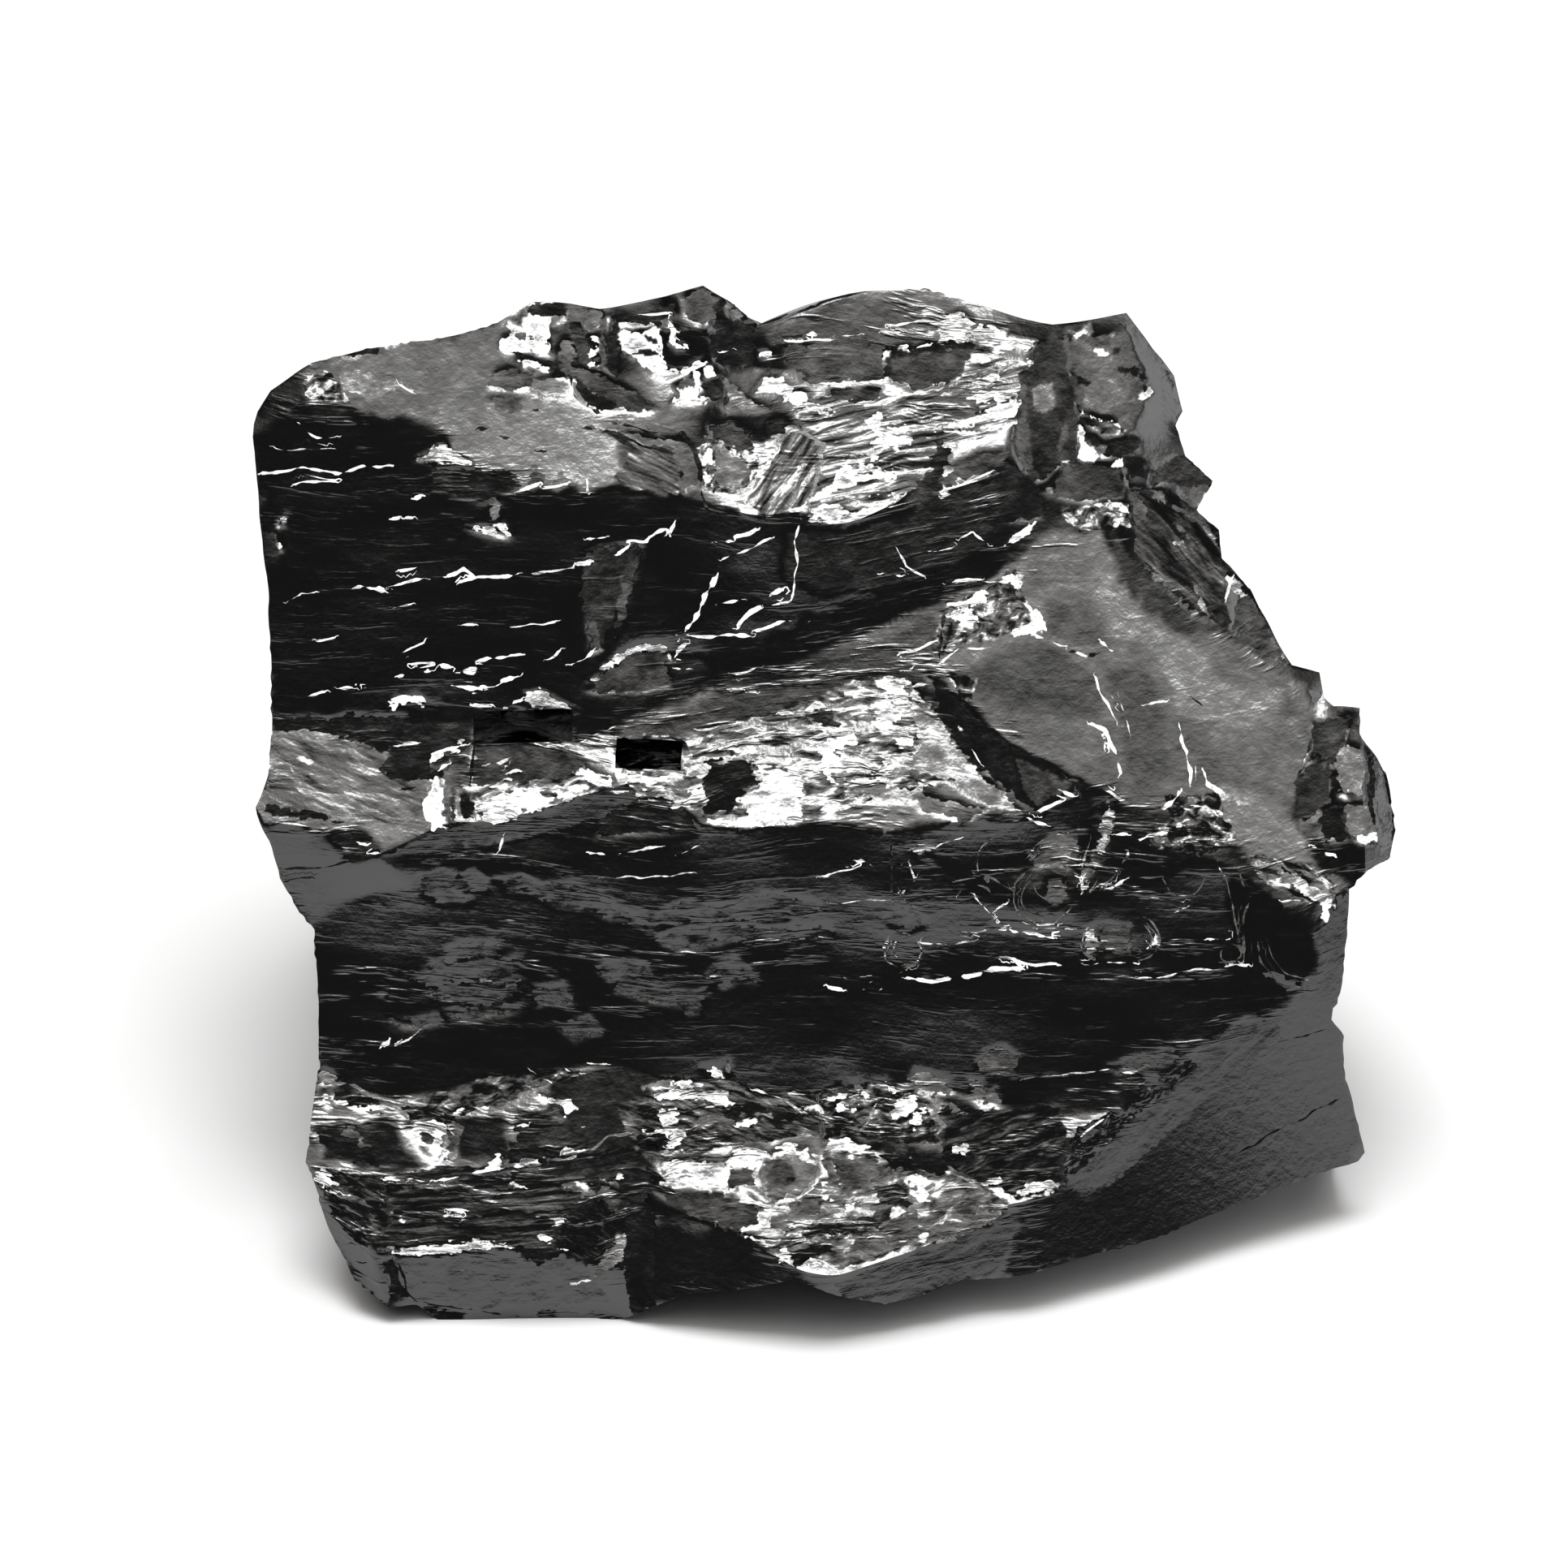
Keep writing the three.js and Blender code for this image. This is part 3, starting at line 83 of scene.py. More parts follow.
# Chips of the front by the part they lie on: how far each leans up, and its outline as across, up pairs in
# mm. A chip that also leans to the right has both angles.
CHIPS = [
    # Bevel
    (ROOM, (-10.9, 17.2, -10.2, 17.75, -9.3, 17.9, -8.7, 17.8, -8.9, 17.3, -9.6, 17.25, -10.3, 17.25)),
    (LAMP, (-11.1, 17.2, -10.4, 17.2, -9.5, 17.2, -9.7, 16.9, -9.75, 16.4, -9.6, 15.85, -10.1, 15.95,
     -10.4, 16.15, -10.9, 16.1, -11.35, 16.1, -11.3, 16.5, -11, 16.6, -11.15, 16.9)),
    (9, (-10.9, 16.65, -10.3, 16.75, -10.1, 16.5, -10.8, 16.45)),
    (ROOM, (-10.2, 16.35, -9.75, 16.35, -9.75, 16.15)),
    (LAMP, (-10.85, 15.75, -10.5, 15.7, -9.7, 15.35, -9.9, 15.3, -10.6, 15.5)),
    (LAMP, (-9.4, 15.2, -9.15, 15.2, -9.2, 14.95, -9.45, 15)),
    (17, (-10.3, 15, -9.6, 15.1, -9.1, 14.95, -9.1, 14.5, -9.8, 14.5, -10.2, 14.7)),
    (9, (-11.7, 15.2, -11.2, 15.4, -10.3, 15.2, -10.3, 14.9, -11.2, 14.6, -11.8, 14.8)),
    (9, (-11.7, 14.3, -11.2, 14.45, -10.6, 14.2, -10.7, 13.95, -11.4, 13.9)),
    (ROOM, (-16.9, 15.95, -15.8, 16.2, -15.7, 15.95, -16.6, 15.8)),
    (15.5, (-17.1, 15.3, -16, 15.3, -15, 14.9, -14.5, 14.6, -15.2, 14.6, -16, 14.3, -16.8, 14.6)),
    (17, (-14.4, 12.2, -13.6, 12.65, -12.9, 12.55, -12.4, 12.15, -13.2, 12.1, -13.9, 12.1)),
    (11, (-10.5, 11.3, -10, 11.35, -9.85, 11.7, -10.2, 11.9)),
    (11, (-9.6, 11.2, -9.1, 11.35, -9, 11.6, -9.4, 11.8)),
    # Dark face
    (LAMP, (-19.65, 9.2, -19.2, 9.4, -19.1, 9.05, -19.5, 8.95)),
    (SOFT, (-19.4, 9.9, -19, 10.2, -18.95, 9.9, -19.3, 9.75)),
    (LAMP, (-11.6, 9.9, -11.3, 9.98, -11, 9.6, -11.1, 9.42, -11.5, 9.65)),
    (18, (-12.6, 9.8, -11.9, 9.9, -11.5, 9.75, -11.3, 9.5, -12, 9.58)),
    (DIM, (-11.9, 11.9, -11.5, 11.6, -11.4, 10.4, -11.65, 10.1)),
    (18, (-8.3, 4.5, -7.4, 4.78, -6.8, 4.6, -7.5, 4.38)),
    ((3, 8), (-8.5, 8.8, -7.9, 9.1, -6.7, 9.2, -6.4, 9, -7.2, 7.2, -7.9, 5.6, -8.3, 5.5, -8.55, 7)),
    ((8, 6), (-8.4, 6.6, -8.1, 6.7, -7.95, 5.6, -8.25, 5.45)),
    ((6.5, 8), (-7.4, 6, -7.1, 6.6, -6.5, 9.1, -6.9, 9.1, -7.3, 7.4)),
    (ROOM, (-13.9, 12, -11, 11.8, -10.6, 11.2, -12, 10.8, -13.8, 11.2)),
    # Upper chips
    (4, (-8.95, 17.8, -8.5, 17.8, -8.45, 16.8, -8.3, 16.2, -8.3, 15.7, -8.7, 15.8, -8.85, 16.4, -9, 17)),
    (11, (-8.4, 17.5, -8.1, 17.6, -7.9, 17.3, -7.95, 17, -8.2, 16.7, -8.45, 16.8, -8.5, 17.2)),
    (LAMP, (-8.2, 16.5, -8, 16.6, -7.9, 16.2, -8.1, 16.1)), (LAMP, (-8.3, 16.05, -7.9, 16.05, -8.3, 15.9)),
    (LAMP, (-8.3, 15.6, -8.05, 15.65, -8.1, 15.5)),
    ((9, -5), (-7.95, 17.3, -7.75, 17.2, -7.75, 15.5, -7.95, 15.4)),
    (ROOM, (-7.75, 16.2, -7.35, 17.1, -7.2, 17.2, -7.35, 15.2, -7.75, 15.5)),
    (11, (-9.3, 16.1, -9, 16.5, -8.85, 16.4, -8.8, 15.7, -9.1, 15.7, -9.35, 15.9)),
    (7, (-9.3, 15.9, -8.5, 15.4, -7.4, 15, -6.6, 14.5, -6, 14, -6.6, 13.9, -7.6, 14.2, -8.6, 14.9,
     -9.2, 15.4)),
    (ROOM, (-9, 15.25, -8.2, 14.6, -7.2, 14.1, -7.8, 13.95, -8.4, 14.2, -8.8, 14.7)),
    (ROOM, (-7.6, 17.3, -6.8, 17.65, -5.4, 17.75, -5.2, 17.3, -5.9, 17, -7.2, 16.9)),
    (LAMP, (-7.3, 16.6, -7.1, 16.8, -6.8, 16.6, -6.2, 16.75, -6, 16.9, -5.8, 16.7, -5.75, 16.2, -5.7, 15.7,
     -5.3, 15.4, -4.9, 15.5, -4.3, 15.75, -4.4, 15.5, -4.9, 15.2, -5.6, 15.2, -6.1, 15.4, -6.5, 15.6,
     -6.7, 15.8, -7.1, 16, -7.2, 16.3)),
    (LAMP, (-5.4, 17, -5.2, 16.9, -5.2, 16.4, -4.9, 16.1, -5.2, 16.1, -5.5, 16.4)),
    (LAMP, (-5.3, 14.8, -4.9, 15, -4.5, 15.35, -4.4, 15, -4.5, 14.5, -4.1, 14.45, -4.3, 14.25, -5.4, 14.25,
     -5.1, 14.5)),
    (LAMP, (-4.2, 15.4, -3.9, 15.5, -3.8, 15.3, -4.2, 15.1)),
    (ROOM, (-6.9, 16, -6.3, 16.1, -5.8, 15.9, -6.4, 15.85)),
    (ROOM, (-6.5, 16.65, -6, 16.5, -5.8, 16.15, -6.3, 16.4)),
    (8, (-5.3, 14.85, -4.7, 15.15, -4.6, 14.9, -5.1, 14.7)),
    (ROOM, (-4.4, 15, -3.6, 15, -3.6, 14.2, -4.2, 14.4)),
    (ROOM, (-3.9, 17.2, -2.6, 17, -2.5, 15.5, -3.6, 15.5, -4.1, 16.2)),
    (7, (-5, 17.9, -4.3, 18.3, -3.9, 17.9, -3.8, 17.2, -4.4, 17, -4.9, 17.2)),
    (11, (-3.5, 17.9, -2.9, 17.3, -3.2, 17.2, -3.6, 17.6)),
    (11, (-3.5, 15.1, -2.9, 14.5, -2.1, 14, -3.5, 13.95)),
    (13, (-6.9, 13.1, -5.9, 12.9, -5.2, 12.9, -5.1, 12.8, -6.2, 12.6)),
    (9, (-5.4, 12.5, -5.1, 12.9, -4.7, 12.6, -4.5, 11.9, -4.6, 11.3, -4.9, 11.1, -5.2, 11.4, -5, 11.8,
     -5.3, 12.1)),
    (13, (-3.9, 12.7, -2.8, 12.4, -2.6, 11.8, -3, 11.2, -3.8, 11.2)),
    (4, (-4.1, 13.4, -3.3, 13.6, -2.6, 13.1, -2.6, 12.6, -3.9, 12.9)),
    (LAMP, (-4.4, 12.4, -4.2, 12.6, -4, 12.5, -3.95, 12.1, -4.3, 12.1)),
    (LAMP, (-4.35, 11.7, -4.1, 11.7, -4.1, 11.4, -3.9, 11.3, -4.3, 11.3)),
    (ROOM, (-2.1, 13, -1.1, 13.4, -1.5, 13.7, -2, 13.5)),
    # Dome
    (6.8, (-1.4, 16.3, 2, 16.4, 2.05, 15.9, 2, 15.1, 0.3, 14.9, -0.6, 15, -1.3, 15.6)),
    (15, (3.5, 17.7, 4.1, 17.6, 4.3, 17.2, 3.9, 16.9, 3.6, 16.9, 3.4, 17.3)),
    (LAMP, (4.2, 17.1, 4.3, 17.4, 4.8, 17.5, 5, 17.3, 5.2, 17.1, 5.1, 16.7, 5.05, 16.5, 4.6, 16.35,
     4.1, 16.4, 3.85, 16.7, 4, 16.9)),
    (LAMP, (5.15, 16.75, 5.4, 16.95, 6.6, 16.85, 6.8, 17, 6.95, 17.1, 7.2, 16.9, 7.5, 17.05, 7.7, 16.9,
     7.65, 16.6, 7.3, 16.3, 7.2, 16.05, 6.7, 16.1, 6, 16.05, 5.9, 16.15, 5.7, 16.4, 5.2, 16.45)),
    (LAMP, (5.1, 15.75, 5.6, 15.95, 5.7, 15.8, 5.3, 15.7)),
    (LAMP, (7, 15.7, 7.2, 15.9, 7.3, 15.75, 7.15, 15.6)),
    (4.8, (2.2, 15.9, 5.2, 16.3, 4.9, 15.5, 4.5, 15, 3.2, 14.7, 2.3, 15)),
    (ROOM, (2.1, 15.95, 2.15, 16.1, 3.4, 16.2, 4.5, 16.35, 5.3, 16.4, 5.2, 16.25, 3.4, 16, 2.35, 15.85,
     2.3, 15.2, 2.1, 15.2)),
    (BRIGHT, (2, 15.9, 2.1, 16.1, 2.4, 16.3, 2.4, 16.15, 2.1, 15.8)),
    (LAMP, (2.5, 16.15, 2.9, 16.3, 3, 16.1)), (5, (0.2, 14.8, 1.9, 14.9, 1.9, 14.4, 0.2, 14.4)),
    (LAMP, (-2.35, 16.1, -1.95, 16.1, -1.8, 15.9, -2, 15.75, -2.3, 15.8)),
    (LAMP, (-2.55, 14.65, -2.1, 15.1, -1.6, 15.2, -1.5, 15, -1.2, 14.8, -0.7, 14.7, -0.5, 14.4, -0.8, 14.2,
     -1.3, 14.3, -1.6, 14.6, -2.1, 14.6)),
    (LAMP, (-0.9, 14, 0.3, 14.25, 0.7, 14.2, 0.3, 14)),
    (LAMP, (1.2, 13.5, 1.7, 13.7, 1.9, 13.9, 2, 13.5, 2.5, 13.4, 3, 13.2, 1.8, 13.15, 1.4, 13.3)),
    (LAMP, (1.3, 12.9, 2, 13, 2.9, 13, 3, 12.7, 2.2, 12.6, 1.6, 12.75)),
    (LAMP, (1, 12.2, 1.8, 12.3, 1.8, 12.1, 1.2, 12)),
    (LAMP, (0.5, 12, 0.9, 12.1, 1.3, 11.7, 2.2, 11.9, 2.9, 11.85, 2.2, 11.5, 1.2, 11.35, 0.5, 11.2,
     -0.3, 10.9, -0.1, 11.2, 0.4, 11.6)),
    (LAMP, (-0.5, 10.4, 0, 10.8, 0.5, 10.8, 0.8, 10.4, 0.5, 10, 0, 10, -0.4, 10.1)),
    (LAMP, (3.5, 13.3, 4, 13.4, 5, 13.7, 6.5, 14.2, 6.9, 14.3, 6.9, 13.9, 5.8, 13.6, 4.6, 13.3)),
    (LAMP, (4.9, 14.4, 5.4, 14.3, 6.7, 14.6, 6.8, 14.2)),
    (LAMP, (5, 14.9, 5.4, 15.1, 5.6, 15.5, 6.3, 15.6, 6.2, 15.2, 5.9, 14.9)),
    (LAMP, (4.2, 12.7, 4.5, 12.75, 4.5, 12.6)),
    (BRIGHT, (1.1, 11, 2, 11.05, 2.8, 11.05, 2.4, 10.9, 1.1, 10.8)),
    (BRIGHT, (4.3, 14.8, 4.5, 15.1, 4.8, 15.1, 4.5, 14.8)), (BRIGHT, (4.1, 14.6, 4.7, 14.65, 4.4, 14.5)),
    (BRIGHT, (3.8, 11.4, 4.1, 11.2, 4.2, 11, 4, 10.95)),
    (8, (3.6, 14.3, 4.4, 14.5, 5.2, 14.35, 5.3, 13.8, 4.4, 13.6, 3.7, 13.8)),
    (2, (3.95, 12.9, 4.3, 12.6, 4.3, 11.8, 4, 11.1, 3.3, 10.7, 2.9, 10.8, 3.3, 11.5, 3.7, 12.1)),
    (6, (4.3, 12, 6.3, 12.6, 6.3, 12, 5.8, 11.7, 4.3, 11.2, 3.9, 11.5)),
    # Fin
    (3.9, (7.95, 16.75, 8.2, 16.6, 8.55, 15.8, 8.75, 14.8, 8.85, 13.6, 8.85, 12.1, 8, 12, 7.4, 11.4,
     6.9, 12, 6.6, 12.9, 6.8, 13.9, 7, 14.8, 6.7, 15.2, 7.3, 15.6, 7.6, 16.3)),
    (ROOM, (6.3, 12.2, 7.4, 11.4, 7.7, 10.9, 7.6, 10.2, 5, 10, 5.9, 11.6)),
    (3.4, (7.6, 16.4, 7.3, 15.6, 6.7, 15.2, 8.1, 15, 8.5, 15.6, 8.2, 16.3)),
    (ROOM, (6.75, 15.3, 7, 15.5, 7.6, 15.4, 7.5, 15.1, 7.1, 14.9)),
    (ROOM, (7.1, 12.2, 7.5, 12.7, 8, 12.2, 8.3, 12, 7.6, 11.5)),
    (12, (7.35, 14.8, 8.1, 14.9, 8.05, 14, 7.7, 13.75, 7.35, 13.95)),
    ((12, 12), (8.3, 16.6, 8.55, 16.5, 8.75, 15.6, 9, 14.8, 8.95, 13.9, 8.85, 13.9, 8.7, 15, 8.5, 15.9)),
    ((9, -6), (6.95, 14.9, 7.15, 14.9, 7.1, 13.6, 7.25, 12.6, 7.25, 11.9, 6.95, 11.85, 6.75, 12.4,
     6.7, 13.2, 6.95, 14)),
    (8, (8.15, 12.6, 8.25, 13.3, 8.45, 13.6, 8.5, 13.1, 8.3, 12.5)),
    # Block
    (10, (8.7, 16.5, 10.4, 16.7, 10.5, 15.5, 9, 15.4)),
    (5, (8, 16.95, 9, 17.05, 10.6, 17.35, 10.4, 16.9, 9.7, 17.1, 9.2, 16.8, 8.2, 16.75)),
    (15, (9, 16.9, 9.3, 17.15, 9.8, 17.2, 9.6, 16.8, 9.3, 16.6)),
    (LAMP, (8.7, 16.75, 9.1, 16.85, 9.3, 16.75, 9, 16.6)),
    (4, (9.2, 16.45, 9.6, 16.6, 10.1, 16.45, 10, 16.25, 9.4, 16.3)),
    (LAMP, (9.5, 16.1, 9.7, 16.2, 9.95, 16.05, 9.75, 15.9)), (BRIGHT, (10, 16.65, 10.3, 16.65, 10.2, 16.5)),
    (SOFT, (9.6, 15.8, 10.1, 15.9, 9.9, 15.65)),
    (ROOM, (10.1, 16.2, 10.4, 16.2, 10.35, 15.9, 10.15, 15.95)),
    (12, (9.05, 15.1, 9.7, 15.5, 10.4, 15.3, 11.1, 15, 11.3, 14.7, 10.9, 14.3, 10, 14, 9.1, 14)),
    (8, (10.6, 15.2, 11.2, 15, 11.3, 14.6, 10.7, 14.3)),
    (ROOM, (10.3, 15.45, 10.9, 15.5, 11.25, 15.1, 10.7, 15.25)),
    (ROOM, (9, 15.2, 9.4, 15.15, 9.4, 14.95, 9, 14.9)),
    (BRIGHT, (11, 14.4, 11.5, 14.9, 11.55, 14.7, 11.3, 14.4)),
    (LAMP, (9.05, 13.9, 9.4, 13.8, 9.8, 13.55, 10.3, 13.4, 10.1, 13.65, 9.5, 13.65)),
    (LAMP, (8.95, 13.4, 9.2, 13.2, 9.1, 12.9, 9.3, 12.7, 9.6, 12.6, 9.5, 12.2, 9.1, 12.1, 8.9, 12.3)),
    (LAMP, (9.9, 12.1, 10.1, 12.25, 10.6, 12.3, 10.5, 12.1, 10, 12)),
    (LAMP, (8.2, 12.1, 8.6, 12.15, 8.7, 12.02)), (ROOM, (9.05, 13.65, 9.5, 13.5, 9.7, 13.4, 9.2, 13.35)),
    (ROOM, (9.2, 12.95, 9.5, 13.05, 9.85, 12.85, 9.5, 12.7)), (ROOM, (9.8, 13.25, 10.4, 13.3, 10.3, 13.15)),
    (ROOM, (10, 12.9, 10.9, 12.95, 11, 12.5, 9.9, 12.3, 9.7, 12.5)),
    (12, (10.3, 13.7, 10.7, 13.8, 10.8, 13.4, 10.3, 13.3)),
    (5.7, (8, 11.4, 8.6, 12, 10.4, 12, 10.45, 11.3, 10.5, 10.95, 9.6, 10.8, 8.9, 10.85, 8.2, 11)),
    (SOFT, (7.7, 11.1, 8, 11.25, 8, 11.05)), (LAMP, (9.5, 10.65, 10, 10.7, 9.9, 10.6)),
    (LAMP, (10.2, 10.6, 10.6, 10.65, 10.65, 10.4, 10.3, 10.45)),
    (BRIGHT, (10.15, 10.1, 10.35, 10.2, 10.35, 9.95, 10.1, 9.9)),
    (12, (10.45, 12, 10.6, 12, 10.6, 11.4, 10.5, 11.3)),
    (ROOM, (10.6, 12.2, 10.9, 12.3, 11.2, 12, 11.2, 11.6, 10.8, 11.6)),
    (ROOM, (11.5, 11.7, 11.9, 11.5, 11.6, 11.3)),
    # Leaves
    (11, (11.2, 8.5, 11.6, 8.3, 12.4, 7.6, 12.3, 7.5, 11.5, 8)),
    (13, (12.2, 7.5, 12.5, 7.4, 13.3, 6.7, 12.9, 6.8)), (15, (13, 7.8, 13.15, 7.7, 13.6, 6.65, 13.2, 7.2)),
    (11, (11.5, 11.2, 11.8, 11.1, 12.1, 10.75, 11.7, 10.8)),
    (9, (10.7, 11.2, 11, 11.1, 11.3, 10.4, 11, 9.9, 10.8, 10.5)),
    (8, (12.3, 10.6, 12.8, 10.5, 13.3, 10, 12.9, 10.1)), (10, (12.2, 10, 12.6, 9.9, 12.9, 9.5)),
    (17, (12.3, 9.3, 12.6, 9.4, 12.6, 9.2)), (19, (14.2, 8.2, 14.5, 8.1, 14.9, 7.6, 14.6, 7.4, 14.35, 7.5)),
    (7, (14.4, 7.4, 15.1, 7.5, 15.9, 6, 16.3, 5.1, 15.6, 5.3, 14.4, 6.3)),
    (3.5, (12.6, 12.4, 13.2, 12.1, 13.7, 11.5, 13, 11.3, 11.5, 11.4, 11.7, 11.9)),
    ((11, 8), (12.5, 11.25, 13, 11.35, 13.7, 11.3, 13.2, 10.5, 12.7, 10.8)),
    # Left flare
    (ROOM, (-20.3, 3.2, -20.3, 2.9, -19, 2.75, -17.8, 2.7, -16.6, 2.4, -15.7, 1.9, -15.1, 2.2, -14.8, 3.2)),
    (LAMP, (-18.8, 1.8, -18.3, 1.85, -18.1, 1.65, -18.3, 1.55)),
    (ROOM, (-15, 2.1, -13.9, 1.9, -13.8, 1.3, -13.3, 1, -15.3, 1, -15.7, 1.4)),
    (LAMP, (-13.9, 1.6, -13.9, 1.9, -13.2, 2.15, -12.7, 2.35, -12.9, 2.1, -13.5, 1.8)),
    (LAMP, (-13.75, 1.1, -13.5, 1.1, -13.45, 0.5, -13.3, -0.1, -13.25, -0.5, -13.8, -0.75, -14, -0.4,
     -14.15, 0.2, -13.9, 0.7)),
    (9, (-13.4, 1, -13, 1.7, -12.5, 2.2, -12.5, 0.8, -13.3, 0.8)),
    (12, (-13.4, 0.6, -13.2, 0.6, -13.2, -0.5, -13.35, -0.5)),
    (5, (-13.15, 0.6, -12.98, 0.6, -12.95, -0.5, -13.15, -0.5)),
    (17, (-12.97, 0.6, -12.8, 0.6, -12.78, -0.4, -12.92, -0.4)),
    (ROOM, (-12.75, 0.5, -12.4, 0.4, -12.3, -0.4, -12.7, -0.5)),
    (ROOM, (-19.6, 0.1, -19.3, 0.15, -17.9, -0.2, -17, -0.5, -18.3, -0.35, -19.4, -0.3)),
    (ROOM, (-17.5, -0.85, -16.5, -0.75, -15.9, -1.2, -15.6, -1.7, -16.6, -1.9, -17, -1.4)),
    # Ledge
    (6, (-12.3, 2.1, -9.3, 2.1, -8.4, 1.5, -9, 1, -12.4, 0.8)),
    (LAMP, (-12.1, -0.1, -11.6, 0.3, -11.3, 0.5, -11, 0.3, -10.9, 0.65, -10.2, 0.65, -9.7, 0.35, -9.4, 0.75,
     -8.9, 0.8, -8.2, 0.9, -8.7, 1.15, -8.4, 1.4, -8, 1.2, -7.4, 0.95, -7.6, 0.75, -8.6, 0.55, -9.1, 0.3,
     -9.8, 0.05, -10.8, -0.3, -11.5, -0.5, -11.9, -0.4)),
    (18, (-10.6, 4, -10.1, 4.1, -9.2, 3.75, -8.6, 3.4, -9.4, 3.5, -10.2, 3.5, -10.6, 3.75)),
    (LAMP, (-15.1, 3.85, -14.5, 3.9, -14, 3.7, -13.6, 3.65, -14.3, 3.6, -14.9, 3.75)),
    (LAMP, (-3.8, 2.1, -3.4, 2.4, -2.7, 2.35, -2.5, 1.9, -3.2, 1.8, -3.6, 1.9)),
    (4, (-0.7, 3.1, -0.2, 3.4, 0.3, 3.3, 0.4, 3, 0, 2.85, -0.6, 2.9)),
    (LAMP, (-0.15, 2.1, 0, 2.4, 0.6, 2.55, 1, 2.65, 1, 2.3, 0.4, 2, 1.2, 1.9, 1.4, 1.4, 1.4, 1.25, 0.3, 1.1,
     0.6, 0.8, 0.2, 0.9, -0.2, 1.3, -0.2, 1.7)),
    (LAMP, (1.1, 4.2, 1.3, 4.2, 1.35, 3.8, 1.1, 3.9)),
    (LAMP, (1.8, 4.3, 2.3, 4.4, 2.7, 4.3, 2.9, 3.8, 2.5, 3.7, 2.3, 4, 1.9, 4.1)),
    (LAMP, (1.85, 3.4, 2.1, 3.5, 2.6, 3.4, 2.7, 3.1, 2.3, 2.9, 2.6, 2.7, 3.1, 2.5, 3, 2.2, 2.6, 2.1,
     2.3, 2.6, 1.9, 2.8, 1.7, 2.9, 2, 3.1)),
    (LAMP, (1.9, 1.7, 2.4, 1.9, 3, 1.9, 2.8, 1.65, 2.1, 1.5)),
    (LAMP, (0, 0.3, 0.3, 0.3, 0.45, 0, 0.2, -0.25, -0.2, 0)),
    (ROOM, (-4.4, 1.7, -2.6, 1.6, -2.6, 1.2, -2.2, 0.9, -3.2, 0.4, -3.2, -0.2, -4.2, -0.2, -4.2, 0.6)),
    (ROOM, (-6.5, 0.3, -5.6, 0.4, -4.8, -0.2, -4.5, -0.9, -8, -1, -8, -0.4)),
    (LAMP, (-2.5, 1.3, -2.2, 1.5, -1.2, 1.45, -0.8, 1.1, -0.75, 0.5, -0.9, 0.3, -1.1, 0.3, -0.75, 0,
     -0.8, -0.3, -1.2, -0.5, -2.5, -0.6, -3.6, -0.65, -4.2, -0.5, -3.2, -0.45, -2.7, -0.2, -3, 0.3,
     -2.4, 0.7, -2, 1.1, -2.4, 1.2)),
    (LAMP, (-5.4, 0, -5, 0.2, -4.7, 0.6, -4.3, 0.6, -4.3, 0.3, -4.8, -0.05, -5.2, -0.1)),
    (LAMP, (-6.7, 0.9, -6.1, 1.05, -5.5, 1, -5.9, 0.75, -6.5, 0.75)),
    (LAMP, (-4.9, 1.2, -4.3, 1.6, -4, 1.4, -4.4, 1.1)),
    (18.6, (2.9, 4.2, 3.4, 3.7, 4.2, 2.8, 4.8, 1.9, 5.5, 1, 6.6, 0.2, 6.8, -0.2, 5.5, 0.2, 4.4, 1, 3, 1.3,
     3.3, 2.2)),
    (14, (3, 0.4, 3.8, 0.3, 5.6, -0.1, 4.8, -0.4, 3.4, -0.1)),
    (18.5, (0.5, 0.7, 3.4, 0.7, 3, 0.2, 0.8, 0.3)),
    (19, (-7.9, 4.9, -7.3, 5.4, -6.7, 5.7, -6, 5.75, -5.6, 5.6, -5.4, 5.2, -5.7, 5.35, -6.1, 5.5,
     -6.7, 5.45, -7.2, 5.15, -7.7, 4.85)),
    (4.5, (-7.8, 4.8, -7.2, 5.1, -6.7, 5.4, -6.1, 5.45, -5.7, 5.3, -5.5, 4.4, -6.5, 4, -8.3, 4.1)),
    # Groove
    (-2, (3.6, 4.5, 4.2, 4.2, 4.9, 3.5, 6.3, 2.3, 7.6, 1.6, 8.9, 0.9, 8.8, 0.6, 8.3, 0.3, 7.3, -0.2,
     6.7, 0.3, 5.9, 1.1, 5.2, 1.4, 4.6, 2.2, 4.1, 3)),
    (DUSK, (6.6, 1.8, 7.2, 1.5, 8.7, 0.9, 8.4, 0.6, 7.4, 0.1, 6.9, 0.8)),
    (LAMP, (4.6, 2.85, 4.85, 2.75, 4.75, 2.62)),
    # Sail
    (LAMP, (4.4, 7.1, 5.2, 7.15, 5.1, 7.5, 5.6, 7.8, 5.6, 7.2, 5.5, 7.05, 4.6, 7)),
    (LAMP, (4.4, 6.7, 4.6, 6.9, 5.2, 6.9, 5.4, 6.6, 5.2, 6.3, 4.8, 6.4)),
    (LAMP, (6.1, 8, 6.5, 8.3, 6.9, 8.1, 6.8, 7.7)),
    (LAMP, (6.6, 6.2, 7.2, 6.4, 7.2, 6.8, 7.5, 6.9, 7.7, 6.3, 7.3, 6.05, 6.7, 6.02)),
    (16, (14.3, 0.7, 14.5, 0.7, 14.6, -0.9, 14.4, -1)),
    (17, (13.9, 0.6, 14.1, 0.6, 14.15, -0.6, 13.95, -0.6)),
    # Knob
    (5, (16.5, 0.9, 17.1, 1.5, 17.9, 1.3, 17.7, 0.2, 17.2, -0.3, 16.7, -0.4)),
    (5, (17.2, 3, 18.4, 3.2, 18.3, 2.4, 17.9, 1.6, 17.2, 2)),
    (SOFT, (18, 2, 18.4, 2.2, 18.8, 2, 18.95, 1, 18.9, 0.35, 18.2, 0.5, 18, 1.2)),
